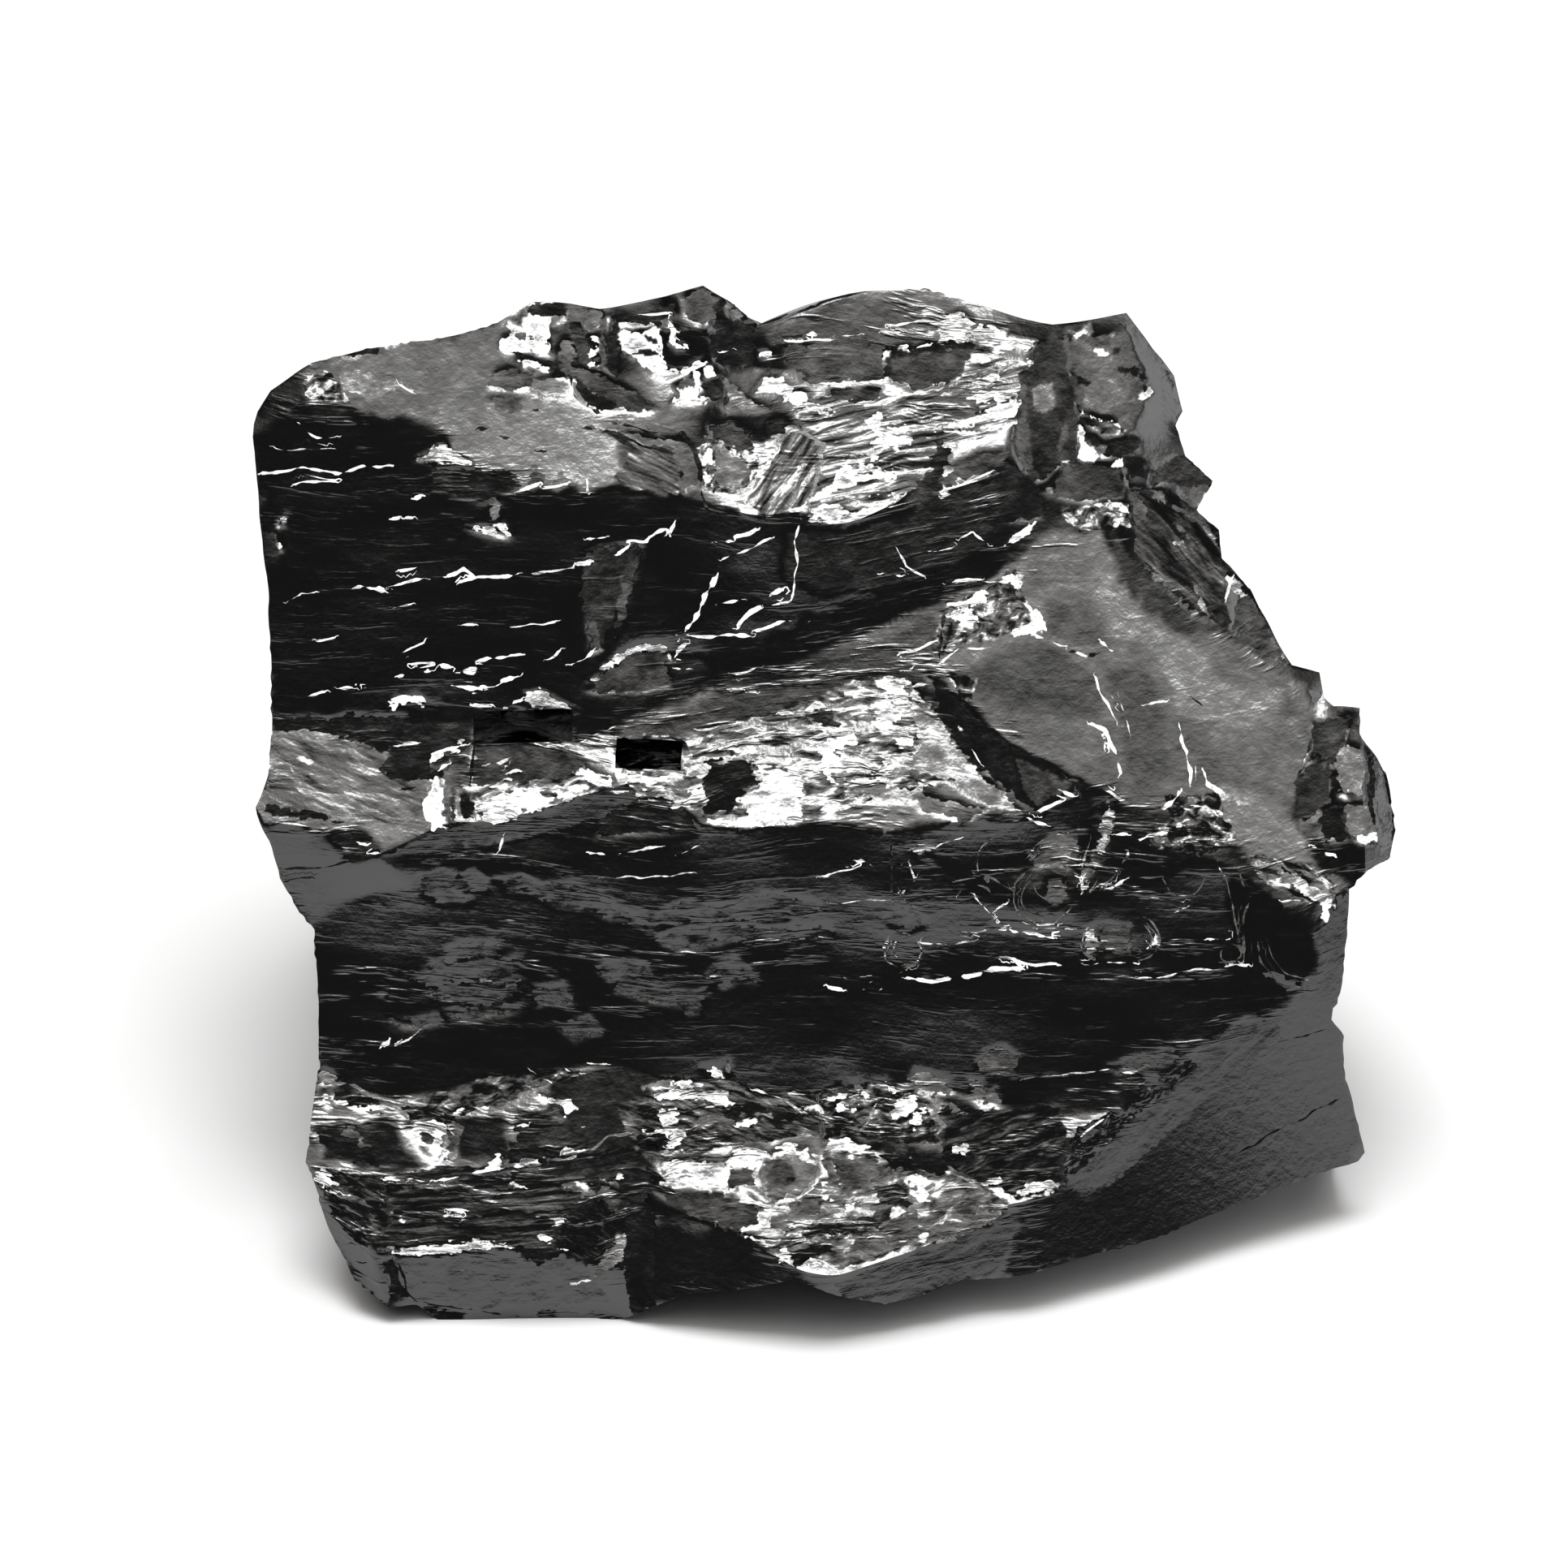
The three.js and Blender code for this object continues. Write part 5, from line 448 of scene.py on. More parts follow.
# Bright lines and beads: half their width, how far they lean up, and their run as across, up pairs in mm.
GLINTS = [
    # Bevel
    (0.09, 27, (-10.7, 11.15, -10, 11.35)), (0.09, 27, (-9.8, 11.2, -9.1, 11.35)),
    (0.08, 27, (-8.35, 11.05, -8.3, 11.5)), (0.06, 27, (-14.9, 14.9, -14.5, 14.6)),
    (0.08, 27, (-13.3, 12.3, -12.5, 12.1)), (0.07, 0, (-20, 13.95, -18.5, 14.1, -16.5, 14)),
    (0.10, 0, (-10.15, 13.95, -10.05, 13.95)), (0.12, 0, (-12.05, 13.3, -11.95, 13.3)),
    (0.10, 0, (-11.25, 12.95, -11.15, 12.95)), (0.10, 0, (-8.4, 13.35, -8.3, 13.35)),
    (0.10, 0, (-10.05, 12.55, -9.95, 12.55)),
    (0.09, 0, (-10.9, 15.95, -10, 15.7, -9.3, 15.65, -9, 15.3, -8.9, 14.9, -8.6, 14.3, -8, 13.9)),
    # Dark face
    (0.05, 25, (-18.4, 13.4, -17.8, 13, -17.2, 13)), (0.04, 20, (-19.3, 12.6, -17.3, 12.55)),
    (0.08, 27, (-19.8, 11.75, -18.3, 11.9, -17, 11.75, -16.3, 11.9, -15.3, 12)),
    (0.06, 24, (-18.6, 11.35, -17.8, 11.4, -17.2, 11.45)), (0.13, 27, (-14.4, 10.85, -14.2, 10.9)),
    (0.09, 27, (-15.2, 10.15, -15, 10.2)), (0.07, 26, (-14.7, 10.2, -14.5, 10.2)),
    (0.15, 27, (-17, 7.55, -16.2, 7.75, -15.5, 7.6)), (0.07, 27, (-15.5, 7.7, -14.8, 7.95, -14.1, 8.05)),
    (0.10, 27, (-13.2, 8.15, -12.7, 8.35, -12.4, 8.25)),
    (0.10, 27, (-12.8, 7.95, -12.2, 8.15, -11.5, 8.1, -10.9, 8.15)),
    (0.05, 20, (-10.8, 8.2, -9.6, 8.3, -8.8, 8.4)), (0.12, 27, (-8.7, 8.5, -8.3, 8.6)),
    (0.06, 26, (-14.9, 8.3, -14.3, 8.4)), (0.09, 27, (-18.9, 7.3, -18.5, 7.45)),
    (0.06, 27, (-18.2, 7.5, -18, 7.55)), (0.05, 24, (-15.2, 7, -14.5, 7.1)),
    (0.06, 26, (-12.8, 6.45, -12.4, 6.5)), (0.05, 25, (-10.9, 6.3, -10.1, 6.45, -9.5, 6.5)),
    (0.06, 24, (-14.8, 5.5, -14.1, 5.8)), (0.05, 24, (-17.9, 5.9, -17.3, 5.95)),
    (0.08, 27, (-12.2, 5.15, -11.4, 5.3, -10.7, 5.4)), (0.07, 26, (-18.5, 3.9, -17.6, 4.05)),
    (0.10, 27, (-17.1, 4.2, -16.6, 4.15)), (0.05, 26, (-16.6, 4.3, -15.9, 4.35)),
    (0.17, 27, (-15, 4.65, -14.7, 4.75)), (0.13, 27, (-14, 4.8, -13.8, 4.85)),
    (0.12, 27, (-13.4, 4.95, -13.2, 4.9)), (0.20, 27, (-12.8, 4.75, -12.4, 4.85)),
    (0.05, 27, (-14.6, 5.05, -13.7, 5.1)), (0.12, 27, (-13, 4.3, -12.4, 4.25)),
    (0.14, 27, (-12.1, 4.25, -11.4, 4.35, -10.8, 4.6)), (0.15, 27, (-15.1, 3.8, -14.5, 3.8, -13.7, 3.65)),
    (0.12, 27, (-12.3, 3.65, -11.8, 3.65)), (0.14, 27, (-11.5, 3.4, -11, 3.6, -10.7, 3.8)),
    (0.13, 27, (-15.3, 3.45, -15.15, 3.55)), (0.06, 26, (-8.3, 9.4, -7.7, 9.45)),
    (0.10, 27, (-7.2, 8.95, -6.9, 9.1)), (0.07, 26, (-6.9, 9.3, -6.2, 9.4)),
    (0.10, 27, (-6.2, 9.5, -5.7, 9.7)), (0.09, 27, (-5.5, 9.6, -5.35, 9.95)),
    (0.06, 26, (-9.8, 5.2, -9.3, 5.5)), (0.09, 27, (-9, 5.1, -8.5, 5.2, -8.2, 5.5)),
    (0.11, 27, (-3.8, 9.3, -3.3, 9.35)), (0.11, 27, (-3.2, 9.5, -2.5, 9.7)),
    (0.08, 27, (-0.9, 9.9, -1.1, 9.3, -1, 8.5, -1.1, 7.9, -1.2, 7.2, -2.2, 7.1)),
    (0.12, 27, (-1.5, 7.7, -2.3, 7.15, -3.1, 6.3)), (0.14, 27, (-3.9, 8, -4.3, 7.2, -4.9, 6.3)),
    (0.06, 25, (-2, 9.4, -3, 8.9, -3.6, 8.7)), (0.08, 27, (-3.7, 7.15, -3, 7.25)),
    (0.05, 25, (2.5, 9.1, 2.8, 8.5, 3.4, 8.15)), (0.06, 27, (2, 8.2, 2.6, 8.2)),
    (0.08, 27, (4.3, 7.95, 5.4, 8.05)), (0.06, 26, (3.8, 9.05, 4.4, 9.15)),
    (0.06, 26, (4.7, 9.5, 5.2, 9.7)), (0.06, 25, (5.3, 9.6, 5.7, 9.3)),
    (0.20, 27, (6.45, 9.35, 6.8, 9.6, 7.2, 9.9)), (0.09, 27, (-5.1, 6.05, -4, 6.05, -2.6, 6)),
    (0.09, 27, (-2.4, 6.2, -1.5, 6.5, -0.7, 6.55)), (0.08, 27, (-5.2, 4.85, -4.8, 4.85)),
    (0.09, 27, (-5.2, 5.4, -4.9, 5.7)),
    # Upper chips
    (0.15, 27, (-5.5, 17, -5.3, 16.5, -4.9, 16.2)), (0.12, 27, (-5.6, 15.4, -5, 15.3, -4.3, 15.55)),
    (0.07, 27, (-3.6, 16.05, -3.3, 16.1)), (0.06, 26, (-6.4, 17.35, -5.6, 17.45)),
    (0.07, 15, (-7.5, 13.6, -6.2, 13.6, -5.3, 13.3)), (0.07, 0, (-7.4, 13.5, -6.3, 13.2, -5.2, 13.1)),
    (0.07, 0, (-7.3, 13.1, -6.5, 12.7, -5.4, 12.5)),
    (0.10, 0, (-5, 13.15, -4.6, 12.6, -4.4, 11.9, -4.4, 11, -4.1, 10.4)),
    (0.07, 27, (-2.9, 10.8, -2.2, 11.6)), (0.12, 27, (-2.3, 11.8, -1.7, 12.5)),
    # Dome
    (0.05, 27, (0.2, 14.85, 1.2, 14.95, 1.9, 15.1)), (0.10, 27, (-0.6, 16.65, -0.5, 16.65)),
    (0.05, 27, (-1.4, 16.4, -0.8, 16.45, 0.2, 16.5)), (0.05, 27, (0.5, 16.65, 1.2, 16.68)),
    (0.05, 27, (2.1, 16.75, 2.6, 16.85)), (0.05, 27, (2.3, 17.05, 3.5, 17.2)),
    (0.07, 0, (-1.6, 16.55, -0.8, 16.65)), (0.06, 27, (3.1, 16.15, 3.6, 16.3)),
    (0.06, 24, (4.3, 11.2, 5.8, 11.7)), (0.07, 0, (0.2, 14.7, 1.9, 14.8)),
    # Left flare
    (0.09, 27, (-13.8, 1.85, -13.3, 2.1, -12.7, 2.2)), (0.07, 27, (-13.1, 1.8, -12.9, 1.95)),
    (0.07, 27, (-13.5, 1.4, -13.2, 1.6)), (0.13, 27, (-16.25, -1.2, -16.15, -1.2)),
    (0.10, 27, (-15.9, -1.55, -15.8, -1.55)), (0.07, 13, (-19.3, -0.5, -18, -0.6, -16.8, -0.6)),
    (0.05, 16, (-19.2, 1.8, -18.6, 1.2, -18, 0.9, -17.3, 0.7)), (0.07, 27, (-15, 2.15, -14.4, 2.25)),
    (0.07, 0, (-14.9, 0.65, -14.1, 0.75)), (0.06, 0, (-19, -2.15, -18, -2.1, -16.5, -1.9)),
    (0.06, 0, (-18.9, -2.5, -18.1, -2.45)),
    # Ledge
    (0.09, 20, (-3.3, 4.15, -3.1, 4.15)), (0.08, 20, (-2.7, 4.05, -2.5, 4.05)),
    (0.06, 24, (-3.2, 4.7, -2.4, 4.9)), (0.05, 24, (-4.5, 2.75, -3, 3)),
    (0.09, 27, (-12.5, 0.75, -11.2, 0.75)), (0.09, 27, (-11.1, 1.25, -10.9, 1.3)),
    (0.07, 20, (-11.9, 1.5, -11.2, 1.7)), (0.07, 27, (-9.8, 2.15, -9.2, 2.2)),
    (0.07, 27, (-8.6, 2, -8.1, 2)), (0.10, 27, (-15.35, 3.55, -15.25, 3.55)),
    (0.05, 24, (-8.6, 2.35, -7.6, 2.8, -7.1, 2.95)), (0.07, 27, (-7.4, 0.55, -7.1, 0.55)),
    (0.08, 26, (-1.5, 3.3, -0.9, 3.3)), (0.06, 26, (2.6, 5.4, 3.4, 5.6, 4, 5.9)),
    (0.10, 27, (2.8, 4.85, 3.1, 4.9)), (0.10, 27, (3.1, 4.3, 3.4, 4.35)),
    (0.08, 0, (0.5, 1.1, 1.8, 1.15, 3, 1, 3.8, 0.8)), (0.07, 27, (0.9, 0.85, 2, 1)),
    (0.07, 27, (5.1, 2, 5.4, 1.6)), (0.10, 27, (7.2, -0.4, 7.8, -0.65)), (0.09, 27, (7.4, -0.1, 8.2, 0.2)),
    (0.09, 27, (8.3, 0.5, 8.6, 0.4)), (0.08, 0, (-12.35, 2.1, -12.5, 0.8)), (0.07, 0, (2.25, -1, 2.3, -3)),
    (0.06, 0, (8.9, 0.8, 8.9, -2.3)),
    # Sail
    (0.10, 27, (7.1, 7.2, 7.3, 6.8, 7.6, 6.4)), (0.11, 27, (7.4, 6, 7.9, 5.8, 8.3, 5.75)),
    (0.08, 27, (8.9, 5.4, 9.2, 5.35)), (0.10, 27, (9.7, 5.8, 9.9, 5.6)),
    (0.10, 0, (8.65, 5.45, 8.75, 5.45)), (0.10, 0, (9.35, 5.4, 9.45, 5.4)),
    (0.07, 27, (9.5, 4.6, 9.6, 4.2, 9.9, 3.7, 10.2, 3.1)), (0.12, 27, (9.4, 2.95, 9.8, 2.75)),
    (0.09, 27, (9.85, 2.7, 9.95, 2.2, 10.2, 1.8, 10.35, 1.2, 10.2, 0.8)),
    (0.07, 27, (9.75, 2.5, 9.75, 2.1)), (0.09, 27, (9.9, 0.55, 10.3, 0.3)),
    (0.05, 22, (10.3, 3.9, 10.6, 3, 10.7, 2.4)), (0.09, 0, (4.15, 7, 4.15, 6.2, 4, 5.4)),
    (0.08, 27, (12.4, 3, 12.5, 2.4, 12.7, 1.9, 12.75, 1.3, 12.8, 0.9)), (0.05, 0, (13, 3.8, 13.6, 3.4)),
    (0.12, 27, (12, 0.1, 12.4, 0.5)), (0.12, 27, (13.3, 1.2, 13.4, 0.8, 13.8, 0.55)),
    (0.08, 27, (13, 0.1, 13.4, 0, 13.6, -0.2)), (0.08, 27, (10.2, -0.95, 10.6, -0.9)),
    (0.10, 27, (11.2, -1.1, 11.7, -0.9, 12.4, -0.7)), (0.10, 27, (17.2, -1.35, 17.9, -1.7)),
    (0.07, 24, (14.2, 7.4, 14.4, 8.2)), (0.07, 27, (4.1, 5.2, 4.4, 5.4)), (0.06, 24, (4.6, 5.5, 5.6, 5.6)),
    (0.06, 22, (11.3, 3.6, 11.9, 3.7)), (0.06, 0, (14.6, -12.2, 15.8, -11.6, 17, -11, 18.1, -10.4)),
    (0.05, 0, (16.2, -8.2, 17.6, -7.9)),
    # Band
    (0.08, 19, (9, -2.9, 9, -2, 9.3, -1.1)), (0.07, 14, (9.2, -2.8, 9.5, -1.9, 9.9, -1.2)),
    (0.05, 13, (9.3, -3, 10.2, -2.4, 10.6, -1.6)), (0.05, 11, (13.8, -2, 14.3, -3.2, 14.5, -4.6)),
    (0.05, 10, (14.5, -2.2, 14.9, -3.2, 14.6, -4.2, 14.8, -5.3)),
    (0.05, 10, (4.6, -2.6, 5.6, -2.4, 6.6, -2.9)), (0.09, 27, (-11.3, -1, -11.4, -1.45)),
    (0.10, 27, (-8.2, -1.65, -7.5, -1.7)), (0.07, 25, (-7.2, -1.6, -6, -1.4, -5.5, -1.3)),
    (0.05, 25, (-5.1, -1.55, -4.5, -1.35)), (0.05, 22, (-7.8, -2.5, -6, -2.4, -4.7, -2.35)),
    (0.11, 27, (1.1, -1.9, 1.5, -1.95)), (0.04, 22, (-0.1, -2.45, 0.6, -2.2, 1.2, -2.05)),
    (0.10, 27, (-0.2, -2.45, 0, -2.45)), (0.06, 22, (2.3, -1.6, 2.9, -1.45)),
    (0.05, 22, (3.9, -1.35, 4.7, -1.1)), (0.05, 20, (3, -2, 3.1, -2.5, 2.7, -2.95)),
    (0.04, 22, (0.2, -3.4, 1.5, -3.3, 2.2, -3.2)), (0.05, 25, (5.2, -3.1, 5.8, -3.7, 6.2, -4.1)),
    (0.09, 27, (6.05, -3.5, 6.2, -3.4)), (0.11, 27, (5.9, -4.2, 6.3, -4.1)),
    (0.09, 26, (6.6, -4.3, 7.4, -4.4, 8, -4.6)), (0.10, 27, (8, -4.35, 8.6, -4.3)),
    (0.05, 22, (3.4, -4.75, 4.4, -4.8, 5.2, -4.7)), (0.04, 22, (4.9, -4.4, 6.3, -4.3)),
    (0.08, 27, (6.3, -5.25, 7, -5.5, 8.1, -5.5)), (0.06, 27, (9.1, -5.5, 10, -5.5, 10.9, -5.5)),
    (0.13, 27, (2.9, -5.95, 3.8, -6.15, 4.6, -5.95, 5.3, -5.85, 5.9, -5.7, 6.9, -5.7)),
    (0.06, 25, (11, -6, 12.5, -5.8, 13.2, -5.7, 14.9, -5.55)), (0.09, 27, (0.1, -6.3, 0.5, -6.4)),
    (0.08, 27, (0.8, -6, 1.4, -6)), (0.12, 27, (1.5, -6.45, 1.75, -6.45)),
    (0.10, 27, (8.95, -2.4, 9.05, -2.4)), (0.07, 26, (12.3, -3.6, 12.6, -3.5)),
    (0.09, 27, (13.5, -4.65, 14.1, -4.6)), (0.06, 26, (11.6, -4.5, 11.6, -4.7, 11.2, -5)),
    (0.06, 27, (16.1, -3.3, 17.2, -3.2, 17.6, -3.1)), (0.08, 26, (10, -2.8, 10.5, -2.55)),
    (0.13, 27, (-15.6, -8.4, -15.45, -8.25)), (0.04, 22, (-15.3, -8.4, -14.7, -8.2, -14.3, -7.9)),
    (0.08, 27, (10.55, -9.3, 10.75, -9.3)), (0.04, 22, (7, -9.6, 8.5, -9.4, 10, -9.2)),
    # Foot
    (0.10, 17, (-17.2, -9.75, -16.5, -9.9, -15.9, -10.2, -15.3, -10.45, -14.8, -10.45)),
    (0.07, 17, (-17.6, -10.3, -16.9, -10.6, -16, -10.75, -15.2, -10.6, -14.8, -10.5)),
    (0.07, 27, (-18, -10.7, -17.3, -10.85)), (0.10, 27, (-17.3, -13.5, -17.2, -13.5)),
    (0.14, 27, (-16.75, -13.6, -16.65, -13.6)), (0.17, 27, (-15.85, -13.75, -15.75, -13.75)),
    (0.18, 27, (-15.55, -14.45, -15.45, -14.45)), (0.13, 27, (-14.9, -14.45, -14.8, -14.45)),
    (0.08, 20, (-16.6, -14.8, -16.4, -14.8)), (0.06, 27, (-13.4, -10.95, -13.2, -11.3)),
    (0.10, 27, (-10.35, -10.55, -10.25, -10.55)), (0.10, 27, (-10.7, -11.1, -10.6, -11.1)),
    (0.10, 27, (-8.7, -11.2, -8.6, -11.2)),
    (0.08, 17, (-11, -12.6, -10.2, -12.55, -9, -12.3, -8.2, -12, -7.6, -11.6, -6.9, -11.5)),
    (0.08, 27, (-10.9, -12.65, -10.3, -12.65)),
    (0.08, 27, (-15.5, -13.1, -14, -13.1, -13.1, -13, -12.2, -12.8, -11.5, -12.7)),
    (0.08, 0, (-7.3, -14.9, -8.2, -16.2)), (0.07, 27, (-13.2, -14.1, -12.7, -14.1)),
    (0.07, 27, (-13.3, -14.3, -12.8, -14.3)), (0.07, 27, (-11, -13.2, -10.6, -13.3)),
    (0.10, 27, (-8.85, -16.8, -8.75, -16.8)), (0.08, 27, (-8.45, -16.7, -8.35, -16.7)),
    (0.08, 0, (-15, -16.2, -14.7, -17, -14.5, -17.3)), (0.08, 0, (-15.6, -13.4, -13, -13.35, -11, -13.4)),
    (0.08, 0, (-15.6, -14.4, -13.4, -14.4)), (0.09, 0, (-15.4, -15, -12.6, -14.95, -10.6, -15)),
    (0.08, 9, (-12.65, -16.3, -12.55, -16.3)), (0.07, 9, (-11.2, -15.9, -11.1, -15.9)),
    (0.07, 9, (-11.65, -16.6, -11.55, -16.6)), (0.07, 9, (-9.55, -16.05, -9.45, -16.05)),
    (0.07, 9, (-10.05, -17.3, -9.95, -17.3)), (0.07, 0, (-14, -17.5, -11.5, -17.9)),
    (0.06, 0, (-12.5, -17.85, -9, -18)), (0.10, 0, (-16.8, -15.4, -16.7, -15.4)),
    (0.10, 0, (-16.45, -16.05, -16.35, -16.05)), (0.10, 0, (-17.55, -13.9, -17.45, -13.9)),
    (0.07, 26, (-9, -9.3, -8.6, -9.35)), (0.07, 26, (-8.2, -9, -7.8, -9.1)),
    (0.07, 26, (-10.3, -9.3, -9.8, -9.6)),
    # Nose
    (0.08, 17, (1.35, -11.2, 1.6, -10.8, 1.8, -10.4, 2.4, -10.2)),
    (0.06, 26, (9.1, -11.4, 9.7, -11, 10, -10.8)), (0.06, 22, (-2.5, -9.9, -1.6, -10.2, -0.9, -10.6)),
]


def linear(code):
    """Turns an sRGB hex colour into linear red, green and blue."""
    parts = [int(code[i:i + 2], 16) / 255 for i in (0, 2, 4)]
    return tuple(v / 12.92 if v <= 0.04045 else ((v + 0.055) / 1.055) ** 2.4 for v in parts)


# ---- repeatable noise --------

TEN_BITS = 1023
NOISE_GAIN = 1.5


def scatter(i, j, k, seed):
    """A scattered whole number for each whole-numbered place. The large numbers only mix its bits."""
    with np.errstate(over="ignore"):
        n = (i.astype(np.uint32) * np.uint32(374761393) ^ j.astype(np.uint32) * np.uint32(668265263)
             ^ k.astype(np.uint32) * np.uint32(2246822519) ^ np.uint32(seed) * np.uint32(3266489917))
        n = (n ^ (n >> np.uint32(13))) * np.uint32(1274126177)
        n = (n ^ (n >> np.uint32(16))) * np.uint32(2654435761)
        return n ^ (n >> np.uint32(15))


def ten_bits(n, shift):
    """Ten bits of a scattered number, as a whole number from 0 to 1023."""
    return (n >> np.uint32(shift)) & np.uint32(TEN_BITS)


def noise(x, y, z, seed):
    """Smooth noise from about -1 to 1, with lumps about one unit across."""
    x, y, z = np.broadcast_arrays(x, y, z)
    floors = [np.floor(v).astype(np.int64) for v in (x, y, z)]
    parts = [v - f for v, f in zip((x, y, z), floors)]
    ease = [t * t * t * (t * (t * 6 - 15) + 10) for t in parts]
    total = np.zeros(x.shape)
    for corner in range(8):
        step = [(corner >> axis) & 1 for axis in range(3)]
        n = scatter(*[f + s for f, s in zip(floors, step)], seed)
        weight = np.ones(x.shape)
        slope = np.zeros(x.shape)
        for axis in range(3):
            weight = weight * (ease[axis] if step[axis] else 1 - ease[axis])
            lean = 2 * ten_bits(n, 10 * axis) / TEN_BITS - 1
            slope = slope + lean * (parts[axis] - step[axis])
        total += weight * slope
    return NOISE_GAIN * total


def smoothstep(low, high, value):
    """Eases from 0 at the low value to 1 at the high one."""
    t = np.clip((value - low) / (high - low), 0, 1)
    return t * t * (3 - 2 * t)


def flakes(x, y, seed):
    """Splits a plane into cells about one unit across. Gives the place inside the cell, and two numbers
    from -1 to 1 for the cell."""
    i, j = np.floor(x).astype(np.int64), np.floor(y).astype(np.int64)
    nearest = np.full(x.shape, np.inf)
    dx, dy, first, second = (np.zeros(x.shape) for _ in range(4))
    for di in (-1, 0, 1):
        for dj in (-1, 0, 1):
            n = scatter(i + di, j + dj, np.zeros_like(i), seed)
            px = i + di + ten_bits(n, 0) / TEN_BITS
            py = j + dj + ten_bits(n, 10) / TEN_BITS
            m = scatter(i + di, j + dj, np.ones_like(i), seed)
            gap = (x - px) ** 2 + (y - py) ** 2
            near = gap < nearest
            nearest = np.where(near, gap, nearest)
            dx, dy = np.where(near, x - px, dx), np.where(near, y - py, dy)
            first = np.where(near, 2 * ten_bits(m, 0) / TEN_BITS - 1, first)
            second = np.where(near, 2 * ten_bits(m, 10) / TEN_BITS - 1, second)
    return dx, dy, first, second


# ---- mesh work --------

# Points of the CAD node that agree to this many digits of a millimetre are welded into one.
WELD_DIGITS = 3


def read_node(name):
    """The welded points, in mm, and the triangles of a CAD node."""
    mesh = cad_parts[name].data
    mesh.calc_loop_triangles()
    places = np.zeros(len(mesh.vertices) * 3)
    mesh.vertices.foreach_get("co", places)
    corners = np.zeros(len(mesh.loop_triangles) * 3, np.int64)
    mesh.loop_triangles.foreach_get("vertices", corners)
    places = places.reshape(-1, 3) / MM
    _, first, weld = np.unique(np.round(places, WELD_DIGITS), axis=0, return_index=True, return_inverse=True)
    faces = weld.reshape(-1)[corners].reshape(-1, 3)
    return places[first], faces


def edges_of(faces, count):
    """Each edge once, as a key and its two ends, and the edge along each side of each face."""
    sides = np.stack([faces, np.roll(faces, -1, axis=1)], axis=2).reshape(-1, 2)
    sides.sort(axis=1)
    keys, along = np.unique(sides[:, 0] * count + sides[:, 1], return_inverse=True)
    return keys, np.stack([keys // count, keys % count], axis=1), along.reshape(-1, 3)


def add_up(numbers, vectors, count):
    """The sum of the vectors that carry each number."""
    return np.stack([np.bincount(numbers, vectors[:, axis], count) for axis in range(3)], axis=1)


def face_normals(points, faces):
    """The direction that each face faces."""
    p, q, r = (points[faces[:, n]] for n in range(3))
    normals = np.cross(q - p, r - p)
    return normals / np.maximum(np.linalg.norm(normals, axis=1), TINY)[:, None]


def point_normals(points, faces):
    """The direction that the surface faces at each point."""
    p, q, r = (points[faces[:, n]] for n in range(3))
    area = np.cross(q - p, r - p)
    total = add_up(faces.reshape(-1), np.repeat(area, 3, axis=0), len(points))
    return total / np.maximum(np.linalg.norm(total, axis=1), TINY)[:, None]


def crease_keys(points, faces, angle):
    """The keys of the edges where the stone turns by more than the angle."""
    keys, _, along = edges_of(faces, len(points))
    normals = face_normals(points, faces)
    total = add_up(along.reshape(-1), np.repeat(normals, 3, axis=0), len(keys))
    return keys[np.linalg.norm(total, axis=1) < 2 * math.cos(angle / 2)]


def refine(points, faces, creases, front, settings):
    """Splits each edge that is longer than its step, so that all faces still share it. The step is coarse
    on the back, plain on the front, and fine round the chips and the bright lines. Creases are carried
    along."""
    fine = detail_map()
    creases = np.stack([creases // len(points), creases % len(points)], axis=1)
    while True:
        count = len(points)
        keys, ends, along = edges_of(faces, count)
        across, up, _ = to_map(points)
        near = fine[map_cell(across, MAP_ACROSS), map_cell(up, MAP_UP)]
        step = np.where(near, settings.fine_step, settings.plain_step)
        step = np.where(front, step, settings.coarse_step)[ends].max(axis=1)
        long = np.linalg.norm(points[ends[:, 0]] - points[ends[:, 1]], axis=1) > step
        if not long.any():
            return points, faces, creases, front
        middle = np.full(len(keys), -1)
        middle[long] = count + np.arange(long.sum())
        points = np.vstack([points, points[ends[long]].mean(axis=1)])
        front = np.concatenate([front, front[ends[long]].all(axis=1)])
        crease_at = middle[np.searchsorted(keys, creases.min(axis=1) * count + creases.max(axis=1))]
        split = crease_at >= 0
        halves = [np.stack([creases[split, n], crease_at[split]], axis=1) for n in (0, 1)]
        creases = np.vstack([creases[~split], *halves])
        faces = split_faces(points, faces, middle[along])


def split_faces(points, faces, middles):
    """Cuts each face at the middles of its sides, where they have one. A face cut twice is split the short
    way."""
    cut = middles >= 0
    count = cut.sum(axis=1)
    parts = [faces[count == 0]]
    for turn in range(3):
        i, j, k = (np.roll(faces, -turn, axis=1)[:, n] for n in range(3))
        m, n, o = (np.roll(middles, -turn, axis=1)[:, n] for n in range(3))
        one = (count == 1) & (m >= 0)
        parts += [np.stack([i, m, k], 1)[one], np.stack([m, j, k], 1)[one]]
        two = (count == 2) & (m < 0)
        first = np.linalg.norm(points[i] - points[n], axis=1) < np.linalg.norm(points[j] - points[o], axis=1)
        parts += [np.stack([o, n, k], 1)[two]]
        parts += [np.stack([i, j, n], 1)[two & first], np.stack([i, n, o], 1)[two & first]]
        parts += [np.stack([i, j, o], 1)[two & ~first], np.stack([j, n, o], 1)[two & ~first]]
    i, j, k = (faces[count == 3, n] for n in range(3))
    m, n, o = (middles[count == 3, n] for n in range(3))
    parts += [np.stack(corners, 1) for corners in ((i, m, o), (m, j, n), (o, n, k), (m, n, o))]
    return np.vstack(parts)


